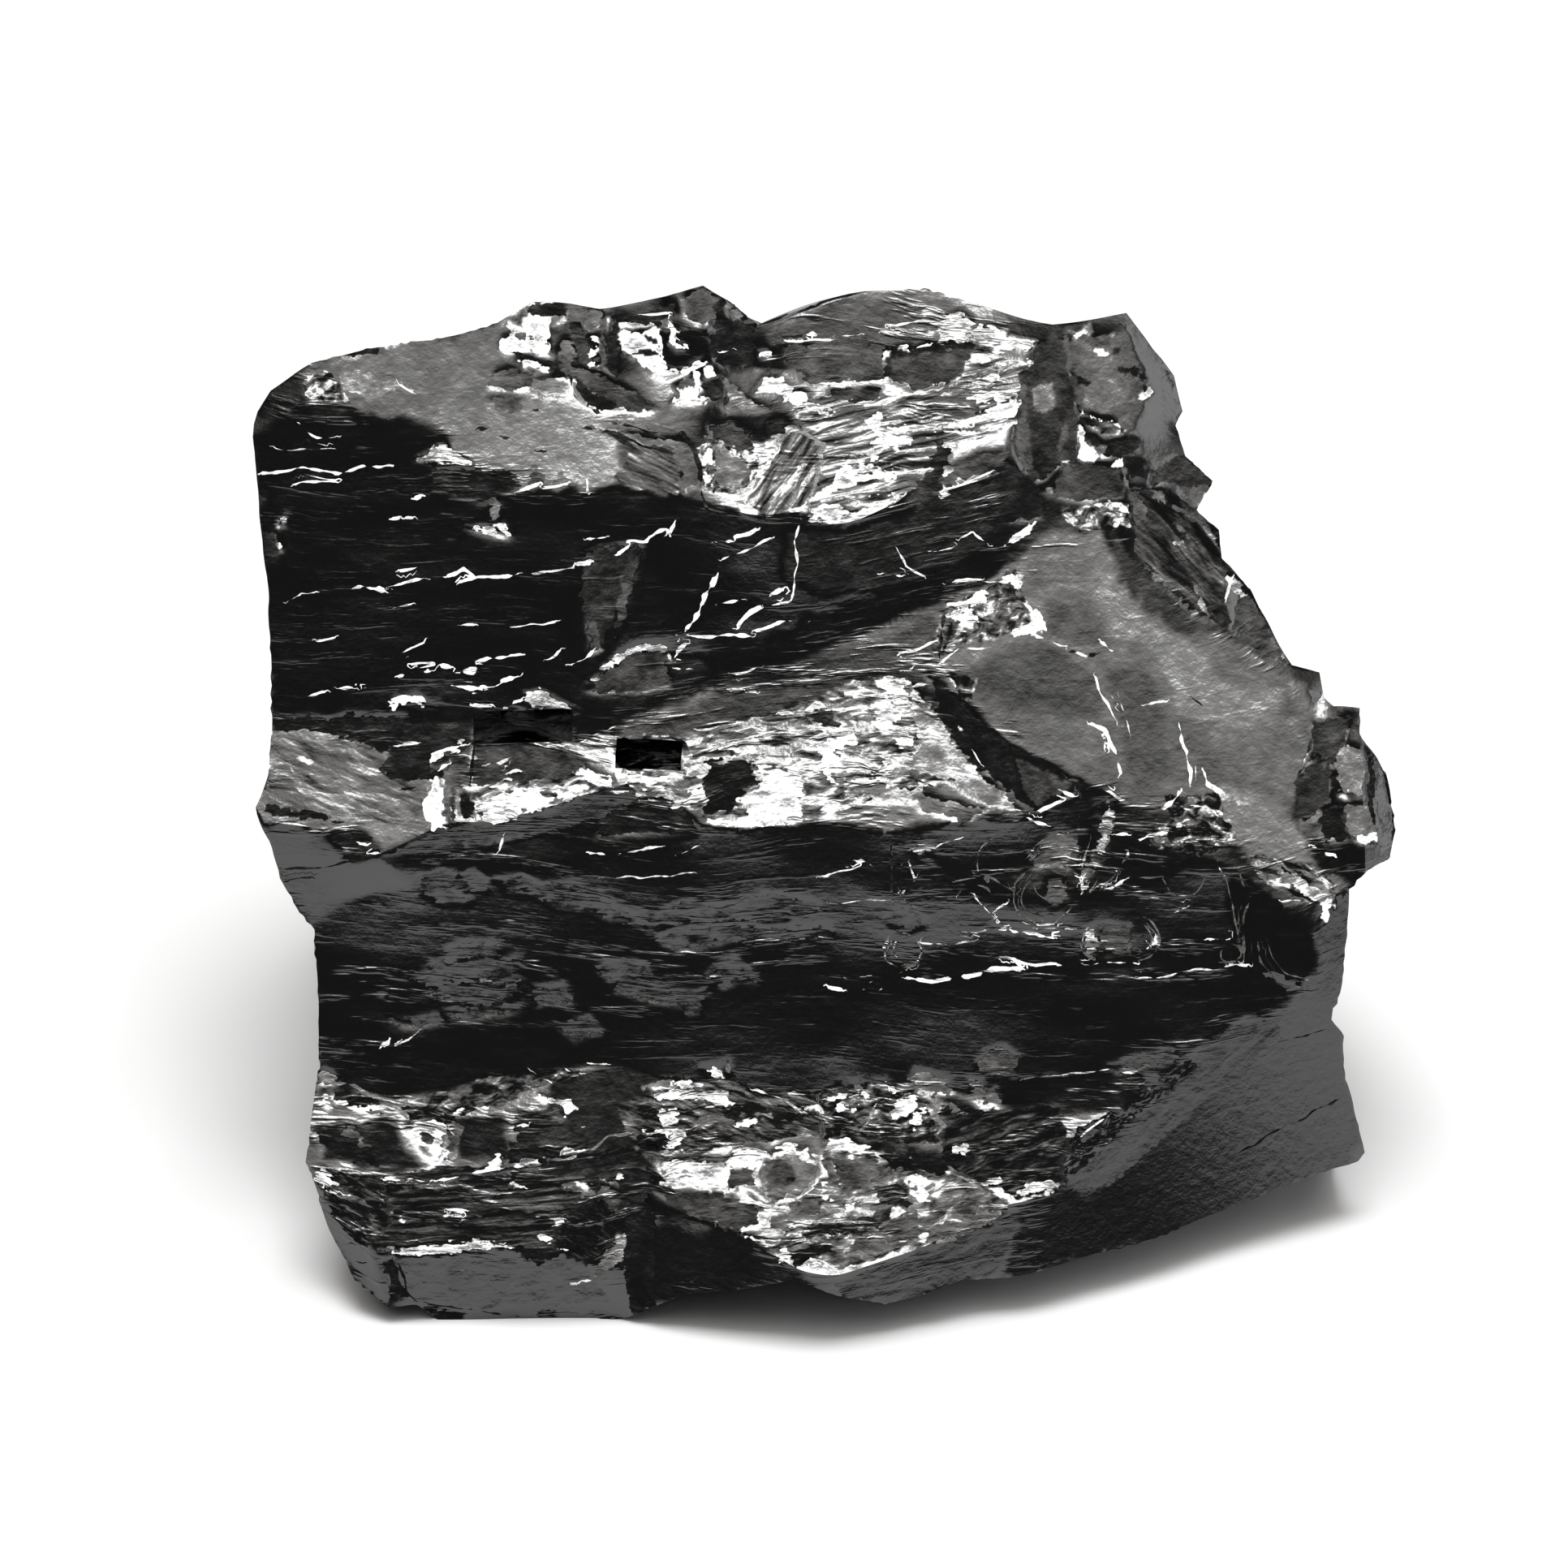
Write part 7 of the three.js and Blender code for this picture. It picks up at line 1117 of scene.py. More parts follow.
# Ground that broke smooth: how much of the bedding still shows, and the outline.
SMOOTH_GROUND = {
    "dark face": (0.42, (-20.4, 13.6, -14, 12.6, -12, 11.2, -5, 10.6, 5, 9.6, 6.2, 8.4, 3, 6.8, -4, 4.4,
     -9, 2.6, -15, 2.6, -20.4, 3.2)),
    "band low": (0.4, (-16, -7.2, -9, -7.6, 0, -5.8, 14, -6, 15, -7, 9, -9.4, 0, -9.8, -15, -9.6)),
    "band end": (0.25, (14, -2.4, 17.4, -3.6, 17.5, -5.8, 15.4, -7.4, 14, -7.2)),
    "foot hollow": (0.3, (-9.8, -9.2, -6, -9.1, -6.4, -12, -8.6, -12.2, -10.2, -10.6)),
    "bevel all": (0.12, (-18.5, 14.2, -18.3, 15.5, -15, 17, -9, 18.2, -8.6, 15, -7.4, 13.4, -5, 13,
     -4.8, 11, -7.2, 11, -9.5, 11.5, -12.2, 11.9, -13.6, 13.2, -16.2, 14)),
    "upper chips": (0.3, (-9.4, 18.4, -2.4, 18.8, -2.2, 13, -4.6, 10.4, -8.6, 13.6)),
    "fin and block": (0, (6, 10, 6.6, 15.2, 7.8, 17.2, 10.8, 17.6, 12.8, 14, 14, 11.2, 12, 9.8, 10.6, 9.6,
     8, 9.6)),
    "panels": (0.35, (-1.6, 16.4, 5.3, 16.5, 4.6, 14.6, -1, 14.8)),
    "ridge": (0.2, (9.9, 9.8, 12.2, 7.4, 14, 6.4, 12, 6.4, 10, 8.8)),
    "knob": (0.1, (16.6, 4.9, 17.6, 4.9, 20.3, 0, 19.6, -2, 17.4, -1.2, 16.6, 0.4)),
    "left flare": (0.25, (-20, 3, -15.4, 2.4, -13.2, 2, -12.4, 0.6, -14, -1, -17, -0.8, -20, -0.6)),
    "dark panel": (0.3, (-8.8, 9.4, -6.2, 9.4, -5.4, 5.8, -7.4, 4, -9, 4.4)),
    "end face": (0, (-7.2, -14.6, -6.2, -13.4, -5.8, -14.6, -3.6, -14.8, -5.8, -17.8, -7.2, -18)),
    "right strip": (0.3, (17, -2.8, 19.2, -2.4, 19.6, -6.6, 17.4, -6.4)),
    "nose apron": (0.2, (-6, -13.3, -2.6, -13.9, -2.2, -14.8, -4.4, -14.8, -6.2, -14.2)),
    "nose dimple": (0.3, (-2.5, -13, -1.2, -12, 0, -12.6, -0.6, -13.8, -2.2, -13.7)),
    "sail": (0.12, (4.4, 5.6, 7.6, 8.8, 9.6, 9.8, 11, 8, 14, 6, 16.6, 4.2, 17.2, 0, 17, -2, 14.6, -1.2,
     12.6, -0.4, 10, 0.6, 8.8, 1, 5, 4)),
    "groove": (0, (3.6, 4.5, 4.9, 3.5, 8.9, 0.9, 8, 0, 6.8, -0.2, 4.6, 2.2)),
    "ledge end": (0.2, (3, 4.2, 6.8, -0.1, 3, -0.5, 0.6, 0.2, 3, 1.2)),
    "left lobe": (0.2, (-16.5, -0.5, -15.5, 0.4, -13.5, 0.6, -13.4, -0.8, -15.3, -1.6)),
    "lip": (0.1, (-19.9, -0.7, -16.4, -1.9, -14.8, -2, -14.8, -3, -18.2, -4.3)),
    "band": (0.45, (-12, -1, -2, -0.7, 2.2, -0.8, 2.2, -3, -8, -2.6)),
    "block face": (0.1, (-16, -15.7, -8.6, -15.6, -7, -17.8, -15, -17.6)),
    "dark end": (0.1, (-7, -14.6, -3.4, -14.9, -1.2, -16.4, -7, -17.2)),
    "leaves": (0.15, (10.6, 11.4, 12.4, 11.6, 13.6, 10.6, 14.6, 8.2, 15.8, 6.4, 14, 6, 10.6, 8.8)),
    "shoulder": (0.05, (7.6, -14.2, 8.8, -12.8, 13, -8.9, 17, -6.4, 20.4, -7, 20.6, -12.6, 16, -14.8,
     10, -16.4, 7.2, -16.6)),
    "nose underside": (0.35, (0.4, -16.8, 3.4, -15.4, 7.2, -14.2, 6.8, -16.4, 2, -17.5)),
    "tip": (0.1, (-18, -13.8, -16, -15.6, -15.8, -17)),
    "plate": (0.2, (-12.3, 2.2, -8.6, 2, -8.8, 0.9, -12.4, 0.8)),
}


def lay_grounds(across, up, looks):
    """Sets, for each place, how far it belongs to a smooth ground, and how steeply that ground leans."""
    slope = np.zeros(len(across))
    share = np.zeros(len(across))
    wide, tall = wander(across, up, GROUND_WANDER, SEED["grounds"])
    for leans, outline in GROUNDS.values():
        start, end = leans if isinstance(leans, tuple) else ((leans, 0, 0), (leans, 0, 0))
        corners = pairs(outline)
        near = near_outline(across, up, corners, REACH)
        within = 1 - smoothstep(*GROUND_EDGE, outside(wide[near], tall[near], corners))
        run = np.array(end[1:], float) - np.array(start[1:], float)
        length = max(run @ run, SMALL)
        part = ((across[near] - start[1]) * run[0] + (up[near] - start[2]) * run[1]) / length
        lean = start[0] + (end[0] - start[0]) * np.clip(part, 0, 1)
        share[near] = np.maximum(share[near], within)
        weight = within / np.maximum(share[near], SMALL)
        slope[near] += weight * (np.tan(np.radians(lean)) - slope[near])
    looks["ground"] = np.stack([slope, share, np.zeros(len(across))], axis=1)


def lay_streaks(across, up, height, looks):
    """Sets, for each place on a streaked ground, where it is in the streaks and how the streaks lean. Each
    ground is also broken into low flakes."""
    place = np.zeros((len(across), 3))
    lean = np.zeros((len(across), 3))
    for number, (length, thick, rise, mean, spread, outline) in enumerate(STREAKS.values()):
        corners = pairs(outline)
        near = near_outline(across, up, corners, REACH)
        a, b = across[near], up[near]
        bend = noise(a / STREAK_WANDER_LENGTH, b / STREAK_WANDER_LENGTH, 0.0, SEED["bend"] + number)
        bend = STREAK_WANDER * bend
        within = 1 - smoothstep(*STREAK_EDGE, outside(a + bend, b + bend, corners))
        cos, sin = math.cos(math.radians(rise)), math.sin(math.radians(rise))
        run = (a * cos + b * sin) / length + STREAK_APART * number
        sway = 0.5 * thick * noise(a / length, b / length, 0.0, SEED["rank"] + number)
        rank = (b * cos - a * sin + sway) / thick
        dx, dy, first, second = flakes(run / 2, rank / 2, SEED["flakes"] + number)
        back_a = 2 * (dx * length * cos - dy * thick * sin)
        back_b = 2 * (dx * length * sin + dy * thick * cos)
        flake = -math.tan(math.radians(0.5 * spread)) * first * back_b - FLAKE_TURN * second * back_a
        height[near] += within * np.clip(flake, -FLAKE_DEPTH, FLAKE_DEPTH)
        won = within > place[near, 2]
        place[near[won]] = np.stack([run, rank, within], axis=1)[won]
        lean[near[won]] = (math.radians(mean), math.radians(spread), 0.0)
    looks["streak_place"] = place
    looks["streak_lean"] = lean


def lay_bedding(across, up, looks):
    """Sets how strongly the bedding shows at each place."""
    bedding = np.ones(len(across))
    for strength, outline in SMOOTH_GROUND.values():
        corners = pairs(outline)
        near = near_outline(across, up, corners, BEDDING_REACH)
        within = 1 - smoothstep(*BEDDING_EDGE, outside(across[near], up[near], corners))
        bedding[near] = np.minimum(bedding[near], 1 - (1 - strength) * within)
    looks["bedding"] = bedding


def carve_front(points, shown):
    """Works out the fine forms of the front. Returns how far each point moves out, in mm, and the fields
    that the stone's finish reads."""
    across, up, out = to_map(points)
    looks = {}
    height = out + ROLL_DEPTH * noise(across / ROLL_ACROSS, up / ROLL_UP, 0.0, SEED["roll"])
    lay_grounds(across, up, looks)
    lay_streaks(across, up, height, looks)
    lay_chips(across, up, height, looks)
    lay_glints(across, up, looks)
    lay_bedding(across, up, looks)
    looks["front"] = shown
    return (height - out) * shown, looks


def roughen_back(points):
    """How far each point of the sides and the back moves out, in mm: low level beds and shallow shells."""
    x, y, z = points.T
    beds = noise(x / BED_LENGTH, y / BED_LENGTH, z / BED_HEIGHT, SEED["beds"])
    shells = noise(x / SHELL_LENGTH, y / SHELL_LENGTH, z / SHELL_LENGTH, SEED["shells"])
    return BED_DEPTH * beds + SHELL_DEPTH * shells


def add_node(tree, kind, inputs, **settings):
    """Adds a shader node with its settings. Each input gets a value, or the node or socket that feeds it."""
    node = tree.nodes.new("ShaderNode" + kind)
    for name, value in settings.items():
        setattr(node, name, value)
    for name, value in inputs.items():
        if isinstance(value, bpy.types.Node):
            value = value.outputs[0]
        if isinstance(value, bpy.types.NodeSocket):
            tree.links.new(value, node.inputs[name])
        else:
            node.inputs[name].default_value = value
    return node


def facing(tree, up, turn):
    """The direction that a facet faces when it leans by these slopes up the front and across it."""
    rise = add_node(tree, "VectorMath", {0: tuple(UP), "Scale": up}, operation="SCALE")
    side = add_node(tree, "VectorMath", {0: tuple(ACROSS), "Scale": turn}, operation="SCALE")
    total = add_node(tree, "VectorMath", {0: rise, 1: side}, operation="ADD")
    total = add_node(tree, "VectorMath", {0: total, 1: tuple(OUT)}, operation="ADD")
    return add_node(tree, "VectorMath", {0: total}, operation="NORMALIZE")


def lay_over(tree, share, under, over):
    """Turns the surface from one direction to another where its share is 1. The mix node's sockets for
    directions are its fifth and sixth inputs and its second output."""
    mixed = add_node(tree, "Mix", {0: share, 4: under, 5: over}, data_type="VECTOR")
    return add_node(tree, "VectorMath", {0: mixed.outputs[1]}, operation="NORMALIZE")


def shungite_material():
    """Noble shungite, freshly broken: a dense glassy carbon. Its breaks are smooth as glass and reflect
    about a tenth of the light, so it looks black where the room is dark and silver where a lamp shows in
    it."""
    settings = bpy.context.scene.shungite_stone
    material = bpy.data.materials.new("noble_shungite_fresh_break")
    material.use_nodes = True
    tree = material.node_tree
    tree.nodes.clear()
    add = functools.partial(add_node, tree)
    fields = {name: add("Attribute", {}, attribute_type="GEOMETRY", attribute_name=name) for name in FIELDS}
    front = fields["front"].outputs["Fac"]
    bedding = fields["bedding"].outputs["Fac"]
    place = add("TexCoord", {}).outputs["Object"]
    normal = add("NewGeometry", {}).outputs["Normal"]

    # Broken edges wander on a scale of about 0.3 mm, and run out along the bedding in fingers 1 mm long.
    crumble = add("TexNoise", {"Vector": place, "Scale": 1 / (0.3 * MM), "Detail": 2.0})
    along_beds = add("Mapping", {"Vector": place, "Scale": (1 / 1.3, 1 / 1.3, 1 / 0.16)})
    fingers = add("TexNoise", {"Vector": along_beds, "Scale": 1 / MM, "Detail": 2.0, "Roughness": 0.6})
    finger = add("Math", {0: fingers, 1: 0.5}, operation="SUBTRACT")
    finger = add("Math", {0: finger, 1: bedding}, operation="MULTIPLY")
    ragged = add("Math", {0: crumble, 1: 0.5, 2: -0.25}, operation="MULTIPLY_ADD")
    ragged = add("Math", {0: finger, 1: 0.75, 2: ragged}, operation="MULTIPLY_ADD")

    # Broken ground rolls on a scale of about 0.9 mm, by up to 10 degrees each way.
    rolling = add("TexNoise", {"Vector": place, "Scale": 1 / (0.9 * MM), "Detail": 3.0, "Roughness": 0.6})
    wobble = add("SeparateXYZ", {0: rolling.outputs["Color"]})
    wobble_up = add("Math", {0: wobble, 1: 0.36, 2: -0.18}, operation="MULTIPLY_ADD")
    wobble_up = add("Math", {0: finger, 1: 0.3, 2: wobble_up}, operation="MULTIPLY_ADD")
    wobble_turn = add("Math", {0: wobble.outputs[1], 1: 0.36, 2: -0.18}, operation="MULTIPLY_ADD")

    # Sides and back: broken facets about 6 mm long and 1.5 mm tall, each leaning its own way.
    drift = add("VectorMath", {0: rolling.outputs["Color"], 1: (1.6 * MM, 1.6 * MM, 1.0 * MM), 2: place},
                operation="MULTIPLY_ADD")
    slabs = add("Mapping", {"Vector": drift, "Scale": (1 / 6.0, 1 / 6.0, 1 / 1.5)})
    slabs = add("TexVoronoi", {"Vector": slabs, "Scale": 1 / MM, "Randomness": 1.0})
    tipped = add("VectorMath", {0: slabs.outputs["Color"], 1: (0.5, 0.5, 0.5), 2: (-0.25, -0.25, -0.25)},
                 operation="MULTIPLY_ADD")
    tipped = add("VectorMath", {0: tipped, 1: normal}, operation="ADD")
    normal = lay_over(tree, front, tipped, normal)

    # Smooth grounds: wide shell-like facets that roll a little, and less where no bedding shows.
    ground = add("SeparateXYZ", {0: fields["ground"].outputs["Vector"]})
    share = add("Math", {0: ground.outputs[1], 1: front}, operation="MULTIPLY")
    roll = add("MapRange",
               {"Value": bedding, "From Min": 0.05, "From Max": 0.12, "To Min": 0.15, "To Max": 0.55})
    slope = add("Math", {0: wobble_up, 1: roll, 2: ground}, operation="MULTIPLY_ADD")
    normal = lay_over(tree, share, normal, facing(tree, slope, wobble_turn))

    # Rows of thin bright flakes that stand out of the bedding: 0.1 mm thick, 0.5 to 2 mm long, in clusters.
    # Where the surface faces down they are dark instead.
    rows = add("Mapping", {"Vector": place, "Scale": (1 / 1.9, 1 / 1.9, 1 / 0.15)})
    rows = add("TexNoise", {"Vector": rows, "Scale": 1 / MM, "Detail": 2.0, "Roughness": 0.55})
    clusters = add("TexNoise", {"Vector": place, "Scale": 1 / (3.5 * MM), "Detail": 1.0})
    rows = add("Math", {0: clusters, 1: 0.5, 2: rows}, operation="MULTIPLY_ADD")
    rows = add("MapRange", {"Value": rows, "From Min": 0.95, "From Max": 1.05},
               interpolation_type="SMOOTHSTEP")
    share = add("Math", {0: rows, 1: bedding}, operation="MULTIPLY")
    share = add("Math", {0: share, 1: front}, operation="MULTIPLY")
    drop = add("SeparateXYZ", {0: normal})
    tilt = add("MapRange", {"Value": drop.outputs[2], "From Min": 0.1, "From Max": 0.4, "To Max": 0.27})
    tilt = add("Math", {0: wobble_up, 1: 1.0, 2: tilt}, operation="MULTIPLY_ADD")
    normal = lay_over(tree, share, normal, facing(tree, tilt, wobble_turn))

    # Streaked ground: thin flakes that lie side by side and lean back by different amounts.
    streak = add("SeparateXYZ", {0: fields["streak_place"].outputs["Vector"]})
    lean = add("SeparateXYZ", {0: fields["streak_lean"].outputs["Vector"]})
    flat_place = add("CombineXYZ", {0: streak, 1: streak.outputs[1]})
    flow = add("TexNoise",
               {"Vector": flat_place, "Scale": 0.9, "Detail": 2.5, "Roughness": 0.62, "Distortion": 0.35},
               noise_dimensions="2D")
    flake = add("TexVoronoi", {"Vector": flat_place, "Scale": 1.1, "Randomness": 1.0},
                voronoi_dimensions="2D")
    flake = add("SeparateXYZ", {0: flake.outputs["Color"]})
    waver = add("Math", {0: flow, 1: 5.6, 2: -3.25}, operation="MULTIPLY_ADD")
    waver = add("Math", {0: flake, 1: 0.9, 2: waver}, operation="MULTIPLY_ADD")
    angle = add("Math", {0: waver, 1: lean.outputs[1], 2: lean}, operation="MULTIPLY_ADD")
    angle = add("Clamp", {0: angle, "Min": -0.7, "Max": 0.7})
    slope = add("Math", {0: angle}, operation="TANGENT")
    turned = add("Math", {0: flake.outputs[1], 1: 0.4, 2: -0.2}, operation="MULTIPLY_ADD")
    share = add("Math", {0: ragged, 1: 1.6, 2: streak.outputs[2]}, operation="MULTIPLY_ADD")
    share = add("Math", {0: share, 1: front}, operation="MULTIPLY")
    share = add("MapRange", {"Value": share, "From Min": 0.35, "From Max": 0.6},
                interpolation_type="SMOOTHSTEP")
    normal = lay_over(tree, share, normal, facing(tree, slope, turned))

    # Chips: flat facets with sharp ragged edges.
    for layer in range(1, CHIP_LAYERS + 1):
        lean = add("SeparateXYZ", {0: fields[f"chip_{layer}_lean"].outputs["Vector"]})
        edge = add("Math", {0: ragged, 1: fields[f"chip_{layer}_edge"].outputs["Fac"]}, operation="ADD")
        share = add("MapRange", {"Value": edge, "From Min": 0.02, "From Max": -0.02},
                    interpolation_type="SMOOTHSTEP")
        share = add("Math", {0: share, 1: front}, operation="MULTIPLY")
        steep = add("Math", {0: lean}, operation="ABSOLUTE")
        steep = add("Math", {0: steep, 1: 2.4, 2: 0.8}, operation="MULTIPLY_ADD")
        up = add("Math", {0: wobble_up, 1: steep, 2: lean}, operation="MULTIPLY_ADD")
        turn = add("Math", {0: lean.outputs[1], 1: wobble_turn}, operation="ADD")
        normal = lay_over(tree, share, normal, facing(tree, up, turn))

    # Bright lines: broken strings of facets, each a fraction of a millimetre tall.
    gaps = add("TexNoise", {"Vector": place, "Scale": 1 / (0.6 * MM), "Detail": 1.0})
    gaps = add("MapRange", {"Value": gaps, "From Min": 0.45, "From Max": 0.72, "To Max": 1.4})
    away = add("Math", {0: fields["glint"].outputs["Fac"]}, operation="ABSOLUTE")
    away = add("Math", {0: away, 1: 1.5, 2: gaps}, operation="MULTIPLY_ADD")
    away = add("Math", {0: ragged, 1: 2.6, 2: away}, operation="MULTIPLY_ADD")
    share = add("MapRange", {"Value": away, "From Min": 1.15, "From Max": 0.9},
                interpolation_type="SMOOTHSTEP")
    reach = add("MapRange",
                {"Value": fields["glint_near"].outputs["Fac"], "From Min": 0.24, "From Max": 0.18})
    share = add("Math", {0: share, 1: reach}, operation="MULTIPLY")
    share = add("Math", {0: share, 1: front}, operation="MULTIPLY")
    up = add("Math", {0: wobble_up, 1: fields["glint_lean"].outputs["Fac"]}, operation="ADD")
    normal = lay_over(tree, share, normal, facing(tree, up, wobble_turn))

    # Bedding runs level through the stone, in beds 0.1 to 0.5 mm thick that show as lines 1 to 4 mm long.
    sway = add("TexNoise", {"Vector": place, "Scale": 1 / (14 * MM), "Detail": 1.0})
    sway = add("VectorMath", {0: sway.outputs["Color"], "Scale": 3.0 * MM}, operation="SCALE")
    swayed = add("VectorMath", {0: place, 1: sway}, operation="ADD")
    level = add("Mapping", {"Vector": swayed, "Scale": (1 / 3.2, 1 / 3.2, 1 / 0.38)})
    beds = add("TexNoise", {"Vector": level, "Scale": 1 / MM, "Detail": 3.0, "Roughness": 0.6})
    terrace = add("MapRange", {"Value": beds, "From Min": 0.54, "From Max": 0.68},
                  interpolation_type="SMOOTHSTEP")
    relief = add("Math", {0: terrace, 1: 0.8, 2: beds}, operation="MULTIPLY_ADD")
    strength = add("Math", {0: bedding, 1: 0.9}, operation="MULTIPLY")
    beds_bump = add("Bump",
                    {"Height": relief, "Normal": normal, "Strength": strength, "Distance": 0.026 * MM})
    fine = add("TexNoise", {"Vector": place, "Scale": 1 / (0.4 * MM), "Detail": 3.0, "Roughness": 0.6})
    fine_bump = add("Bump", {"Height": fine, "Normal": beds_bump, "Strength": 0.5, "Distance": 0.045 * MM})
    shader = add("BsdfPrincipled",
                 {"Base Color": (*settings.body_colour, 1.0), "Roughness": 0.24, "IOR": 1.85,
                  "Normal": fine_bump})
    add("OutputMaterial", {"Surface": shader})
    return material


def store_looks(mesh, looks):
    """Keeps each field on the mesh's points, for the stone's finish to read."""
    for name, values in looks.items():
        kind = "FLOAT" if values.ndim == 1 else "FLOAT_VECTOR"
        attribute = mesh.attributes.new(name, kind, "POINT")
        field = "value" if kind == "FLOAT" else "vector"
        attribute.data.foreach_set(field, values.astype(np.float32).reshape(-1))


# The front is where the stone faces out by more than this, and its own forms fade in between these two.
FRONT_FACING = 0.12
FRONT_FADE = (0.1, 0.35)

# Points this low belong to the flat base and stay where they are. The back's relief fades in above, in mm.
BASE_HEIGHT = 0.001
BASE_FADE = 1.0

# How often the surface is eased, and its creases, and the turn that still shows as a sharp edge.
SMOOTH_ROUNDS = 36
CREASE_ROUNDS = 4
SHARP_ANGLE = math.radians(38)


class SHUNGITE_OT_stone(bpy.types.Operator):
    """Break the stone's surface down to its fine ledges, chips and bedding, and give it its glassy finish"""

    bl_idname = "shungite.stone"
    bl_label = "Stone"

    def execute(self, context):
        settings = context.scene.shungite_stone
        points, faces = read_node(NODE)
        creases = crease_keys(points, faces, settings.crease_angle)
        front = point_normals(points, faces) @ OUT > FRONT_FACING
        points, faces, creases, front = refine(points, faces, creases, front, settings)
        base = points[:, 2] < BASE_HEIGHT
        points = smooth(points, faces, creases, base, SMOOTH_ROUNDS, CREASE_ROUNDS)
        normals = point_normals(points, faces)
        shown = smoothstep(*FRONT_FADE, normals @ OUT) * front
        move, looks = carve_front(points, shown)
        moved = points + OUT * move[:, None]
        back = roughen_back(points) * (1 - shown) * smoothstep(0, BASE_FADE, points[:, 2])
        moved += normals * back[:, None]
        moved[:, 2] = np.where(base, points[:, 2], np.maximum(moved[:, 2], 0.0))

        mesh = bpy.data.meshes.new("stone")
        mesh.from_pydata((moved * MM).tolist(), [], faces.tolist())
        store_looks(mesh, looks)
        mesh.shade_smooth()
        mesh.set_sharp_from_angle(angle=SHARP_ANGLE)
        mesh.materials.append(shungite_material())
        stone = bpy.data.objects.new("stone", mesh)
        context.scene.collection.objects.link(stone)
        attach(stone, "root")
        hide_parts(NODE)
        return {"FINISHED"}


# ---- the studio --------

# The studio, in metres. Each soft box has its place, where it points and its size.
FLOOR_RADIUS = 2.5
FLOOR_SIDES = 64
OVERHEAD_LAMP = ((0.0, -0.03, 0.8), (0.0, -0.03, 0.0), (0.40, 0.32))
RIGHT_PANEL = ((0.8, -0.1, 0.35), (0.0, 0.0, 0.015), (0.5, 0.5))

# How the ceiling brightens with height, from level to straight up, and the warmth of its light.
CEILING_STOPS = ((0.0, 0.003), (0.60, 0.005), (0.72, 0.16), (0.84, 0.62), (0.95, 1.0))
CEILING_TINT = (1.0, 0.985, 0.955)


class StudioSettings(bpy.types.PropertyGroup):
    lens: bpy.props.FloatProperty(
        name="Lens", description="Focal length in mm, long so that the stone is seen almost square on",
        default=200.0, min=20.0)
    ceiling_glow: bpy.props.FloatProperty(
        name="Ceiling glow", description="Brightness of the soft ceiling round the lamp", default=2.2,
        min=0.0)
    lamp_glow: bpy.props.FloatProperty(
        name="Lamp glow", description="Brightness of the lamp overhead", default=14.0, min=0.0)
    side_glow: bpy.props.FloatProperty(
        name="Side glow", description="Brightness of the panel on the right", default=2.1, min=0.0)


def floor_material():
    """Matt seamless paper: even and pale, so the stone's undersides mirror a soft grey."""
    material = bpy.data.materials.new("seamless_paper_matt")
    material.use_nodes = True
    tree = material.node_tree
    tree.nodes.clear()
    shader = add_node(tree, "BsdfPrincipled",
                      {"Base Color": (*linear("d9d9da"), 1.0), "Roughness": 0.9, "Specular IOR Level": 0.2})
    add_node(tree, "OutputMaterial", {"Surface": shader})
    return material


def add_panel(name, centre, aim, size, glow):
    """A white soft box, square or oblong. Its glow is the brightness of its face."""
    light = bpy.data.lights.new(name, "AREA")
    light.shape = "RECTANGLE"
    light.size, light.size_y = size
    light.energy = glow * math.pi * size[0] * size[1]
    lamp = bpy.data.objects.new(name, light)
    lamp.location = centre
    lamp.rotation_euler = (Vector(aim) - Vector(centre)).to_track_quat("-Z", "Y").to_euler()
    bpy.context.scene.collection.objects.link(lamp)


def studio_world(glow):
    """A dark room under a soft ceiling that fades out from the lamp."""
    world = bpy.data.worlds.new("dark_room")
    world.use_nodes = True
    tree = world.node_tree
    tree.nodes.clear()
    place = add_node(tree, "TexCoord", {})
    height = add_node(tree, "SeparateXYZ", {0: place.outputs["Generated"]})
    fade = add_node(tree, "ValToRGB", {"Fac": height.outputs["Z"]})
    background = add_node(tree, "Background", {"Color": fade, "Strength": glow})
    add_node(tree, "OutputWorld", {"Surface": background})
    ramp = fade.color_ramp
    ramp.interpolation = "EASE"
    while len(ramp.elements) < len(CEILING_STOPS):
        ramp.elements.new(0.5)
    for element, (position, level) in zip(ramp.elements, CEILING_STOPS):
        element.position = position
        element.color = (*(level * part for part in CEILING_TINT), 1.0)
    return world


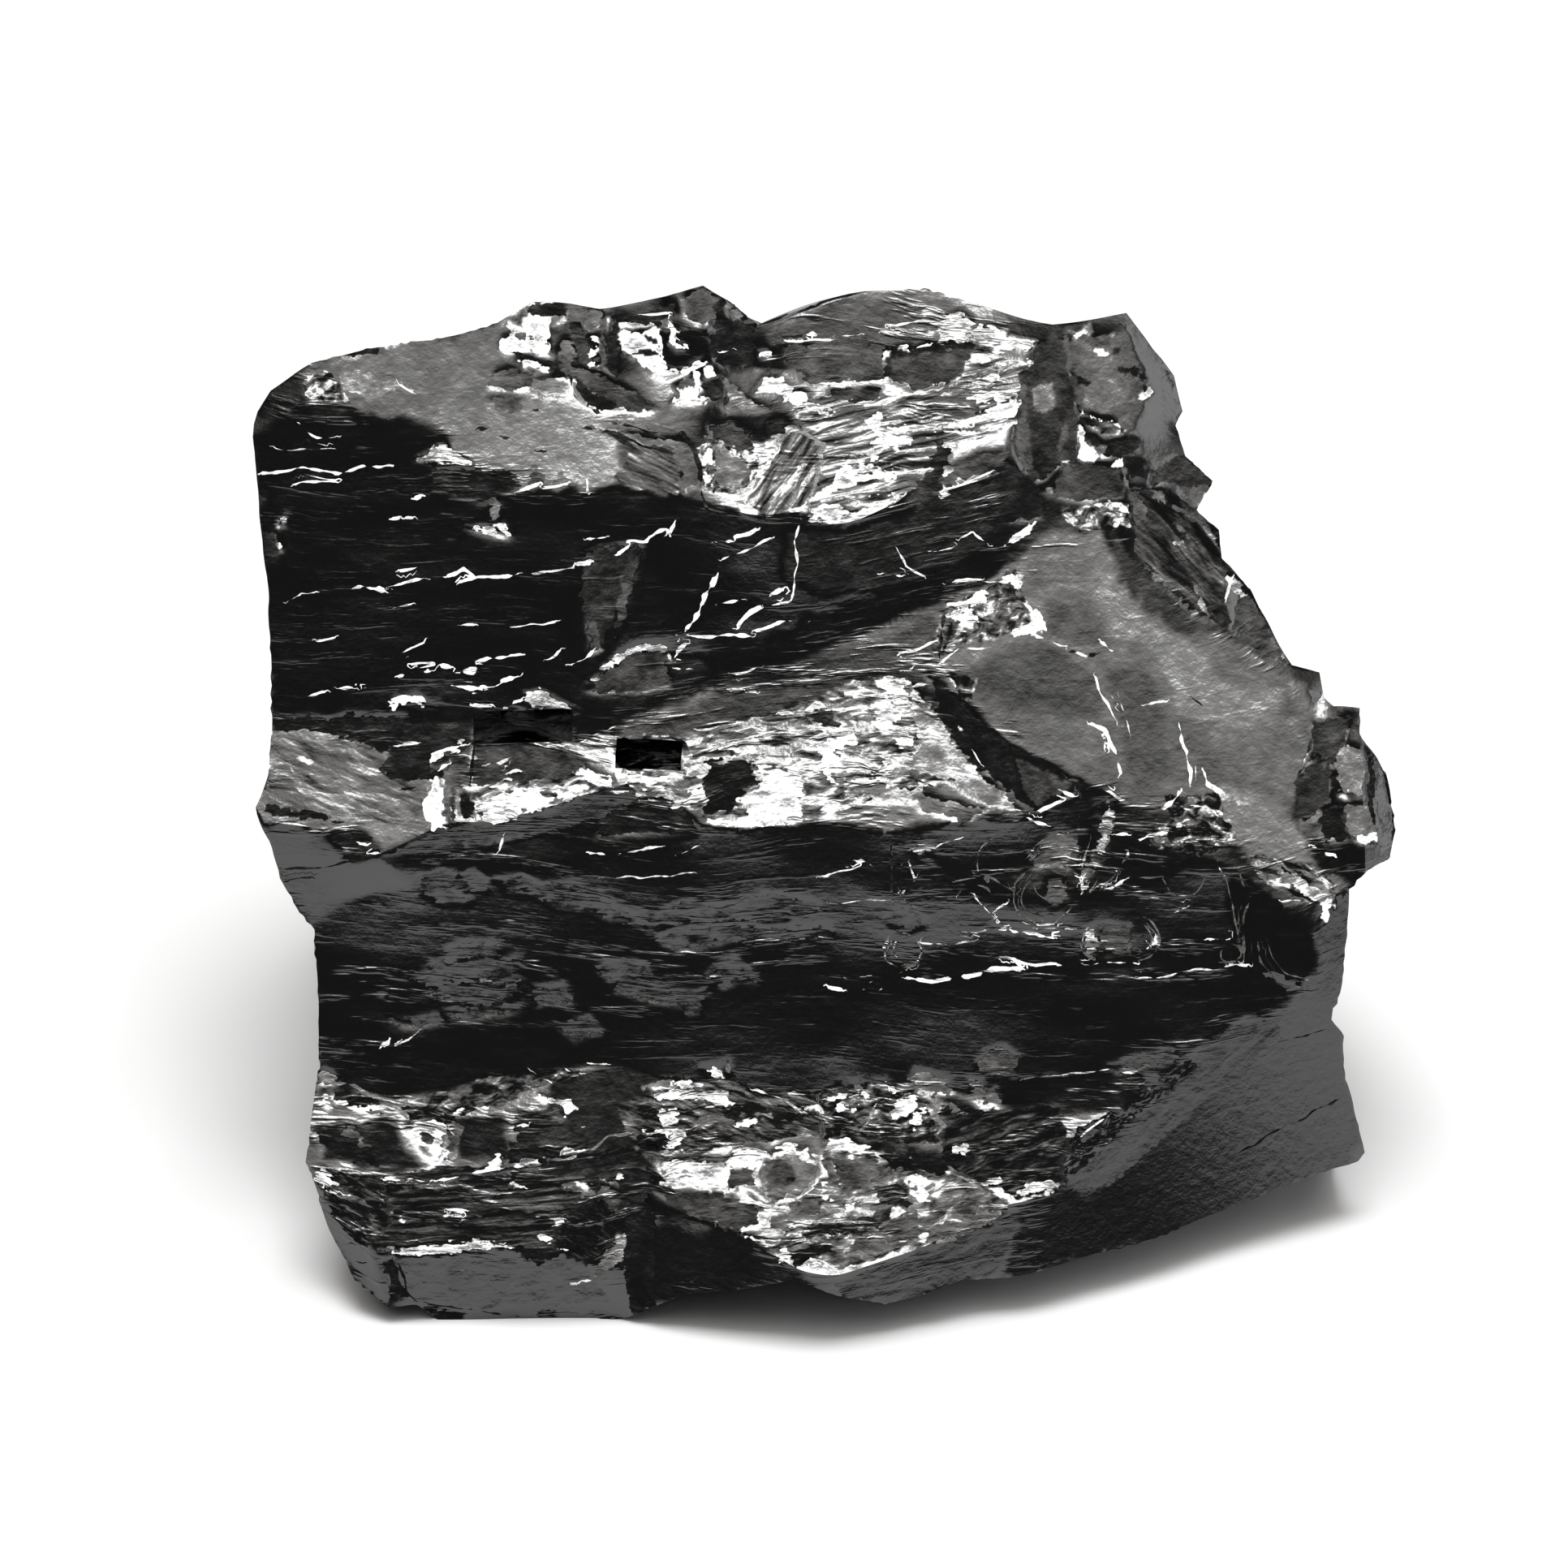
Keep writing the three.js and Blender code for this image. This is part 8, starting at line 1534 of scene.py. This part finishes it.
class SHUNGITE_OT_studio(bpy.types.Operator):
    """Lay the pale floor, hang the soft boxes and place the camera"""

    bl_idname = "shungite.studio"
    bl_label = "Studio"

    def execute(self, context):
        settings = context.scene.shungite_studio
        scene = context.scene
        bearings = [2 * math.pi * n / FLOOR_SIDES for n in range(FLOOR_SIDES)]
        ring = [(FLOOR_RADIUS * math.cos(turn), FLOOR_RADIUS * math.sin(turn), 0.0) for turn in bearings]
        mesh = bpy.data.meshes.new("floor")
        mesh.from_pydata(ring, [], [list(range(FLOOR_SIDES))])
        mesh.materials.append(floor_material())
        floor = bpy.data.objects.new("floor", mesh)
        scene.collection.objects.link(floor)

        add_panel("overhead_lamp", *OVERHEAD_LAMP, settings.lamp_glow)
        add_panel("right_panel", *RIGHT_PANEL, settings.side_glow)
        scene.world = studio_world(settings.ceiling_glow)
        scene.view_settings.view_transform = "Standard"

        camera_data = bpy.data.cameras.new("camera")
        camera_data.lens = settings.lens
        camera_data.sensor_width = SENSOR
        camera = bpy.data.objects.new("camera", camera_data)
        distance = PICTURE_WIDTH * settings.lens / SENSOR
        aim = FACE_ORIGIN + AIM[0] * ACROSS + AIM[1] * UP + AIM[2] * OUT
        turn = Matrix((ACROSS, UP, OUT)).transposed().to_4x4()
        camera.matrix_world = Matrix.Translation((aim + distance * OUT) * MM) @ turn
        scene.collection.objects.link(camera)
        scene.camera = camera
        return {"FINISHED"}


class SHUNGITE_PT_panel(bpy.types.Panel):
    """Lists the stone and the studio with their settings"""

    bl_idname = "SHUNGITE_PT_panel"
    bl_label = "Raw Shungite"
    bl_space_type = "VIEW_3D"
    bl_region_type = "UI"
    bl_category = "Shungite"

    def draw(self, context):
        for part in ("stone", "studio"):
            box = self.layout.box()
            settings = getattr(context.scene, "shungite_" + part)
            for name in settings.__annotations__:
                box.prop(settings, name)
            box.operator("shungite." + part)


CLASSES = (StoneSettings, StudioSettings, SHUNGITE_OT_stone, SHUNGITE_OT_studio, SHUNGITE_PT_panel)


def register():
    for each in CLASSES:
        bpy.utils.register_class(each)
    bpy.types.Scene.shungite_stone = bpy.props.PointerProperty(type=StoneSettings)
    bpy.types.Scene.shungite_studio = bpy.props.PointerProperty(type=StudioSettings)


def unregister():
    del bpy.types.Scene.shungite_studio
    del bpy.types.Scene.shungite_stone
    for each in reversed(CLASSES):
        bpy.utils.unregister_class(each)


def main():
    register()
    bpy.ops.shungite.studio()
    bpy.ops.shungite.stone()


if __name__ == "__main__":
    main()
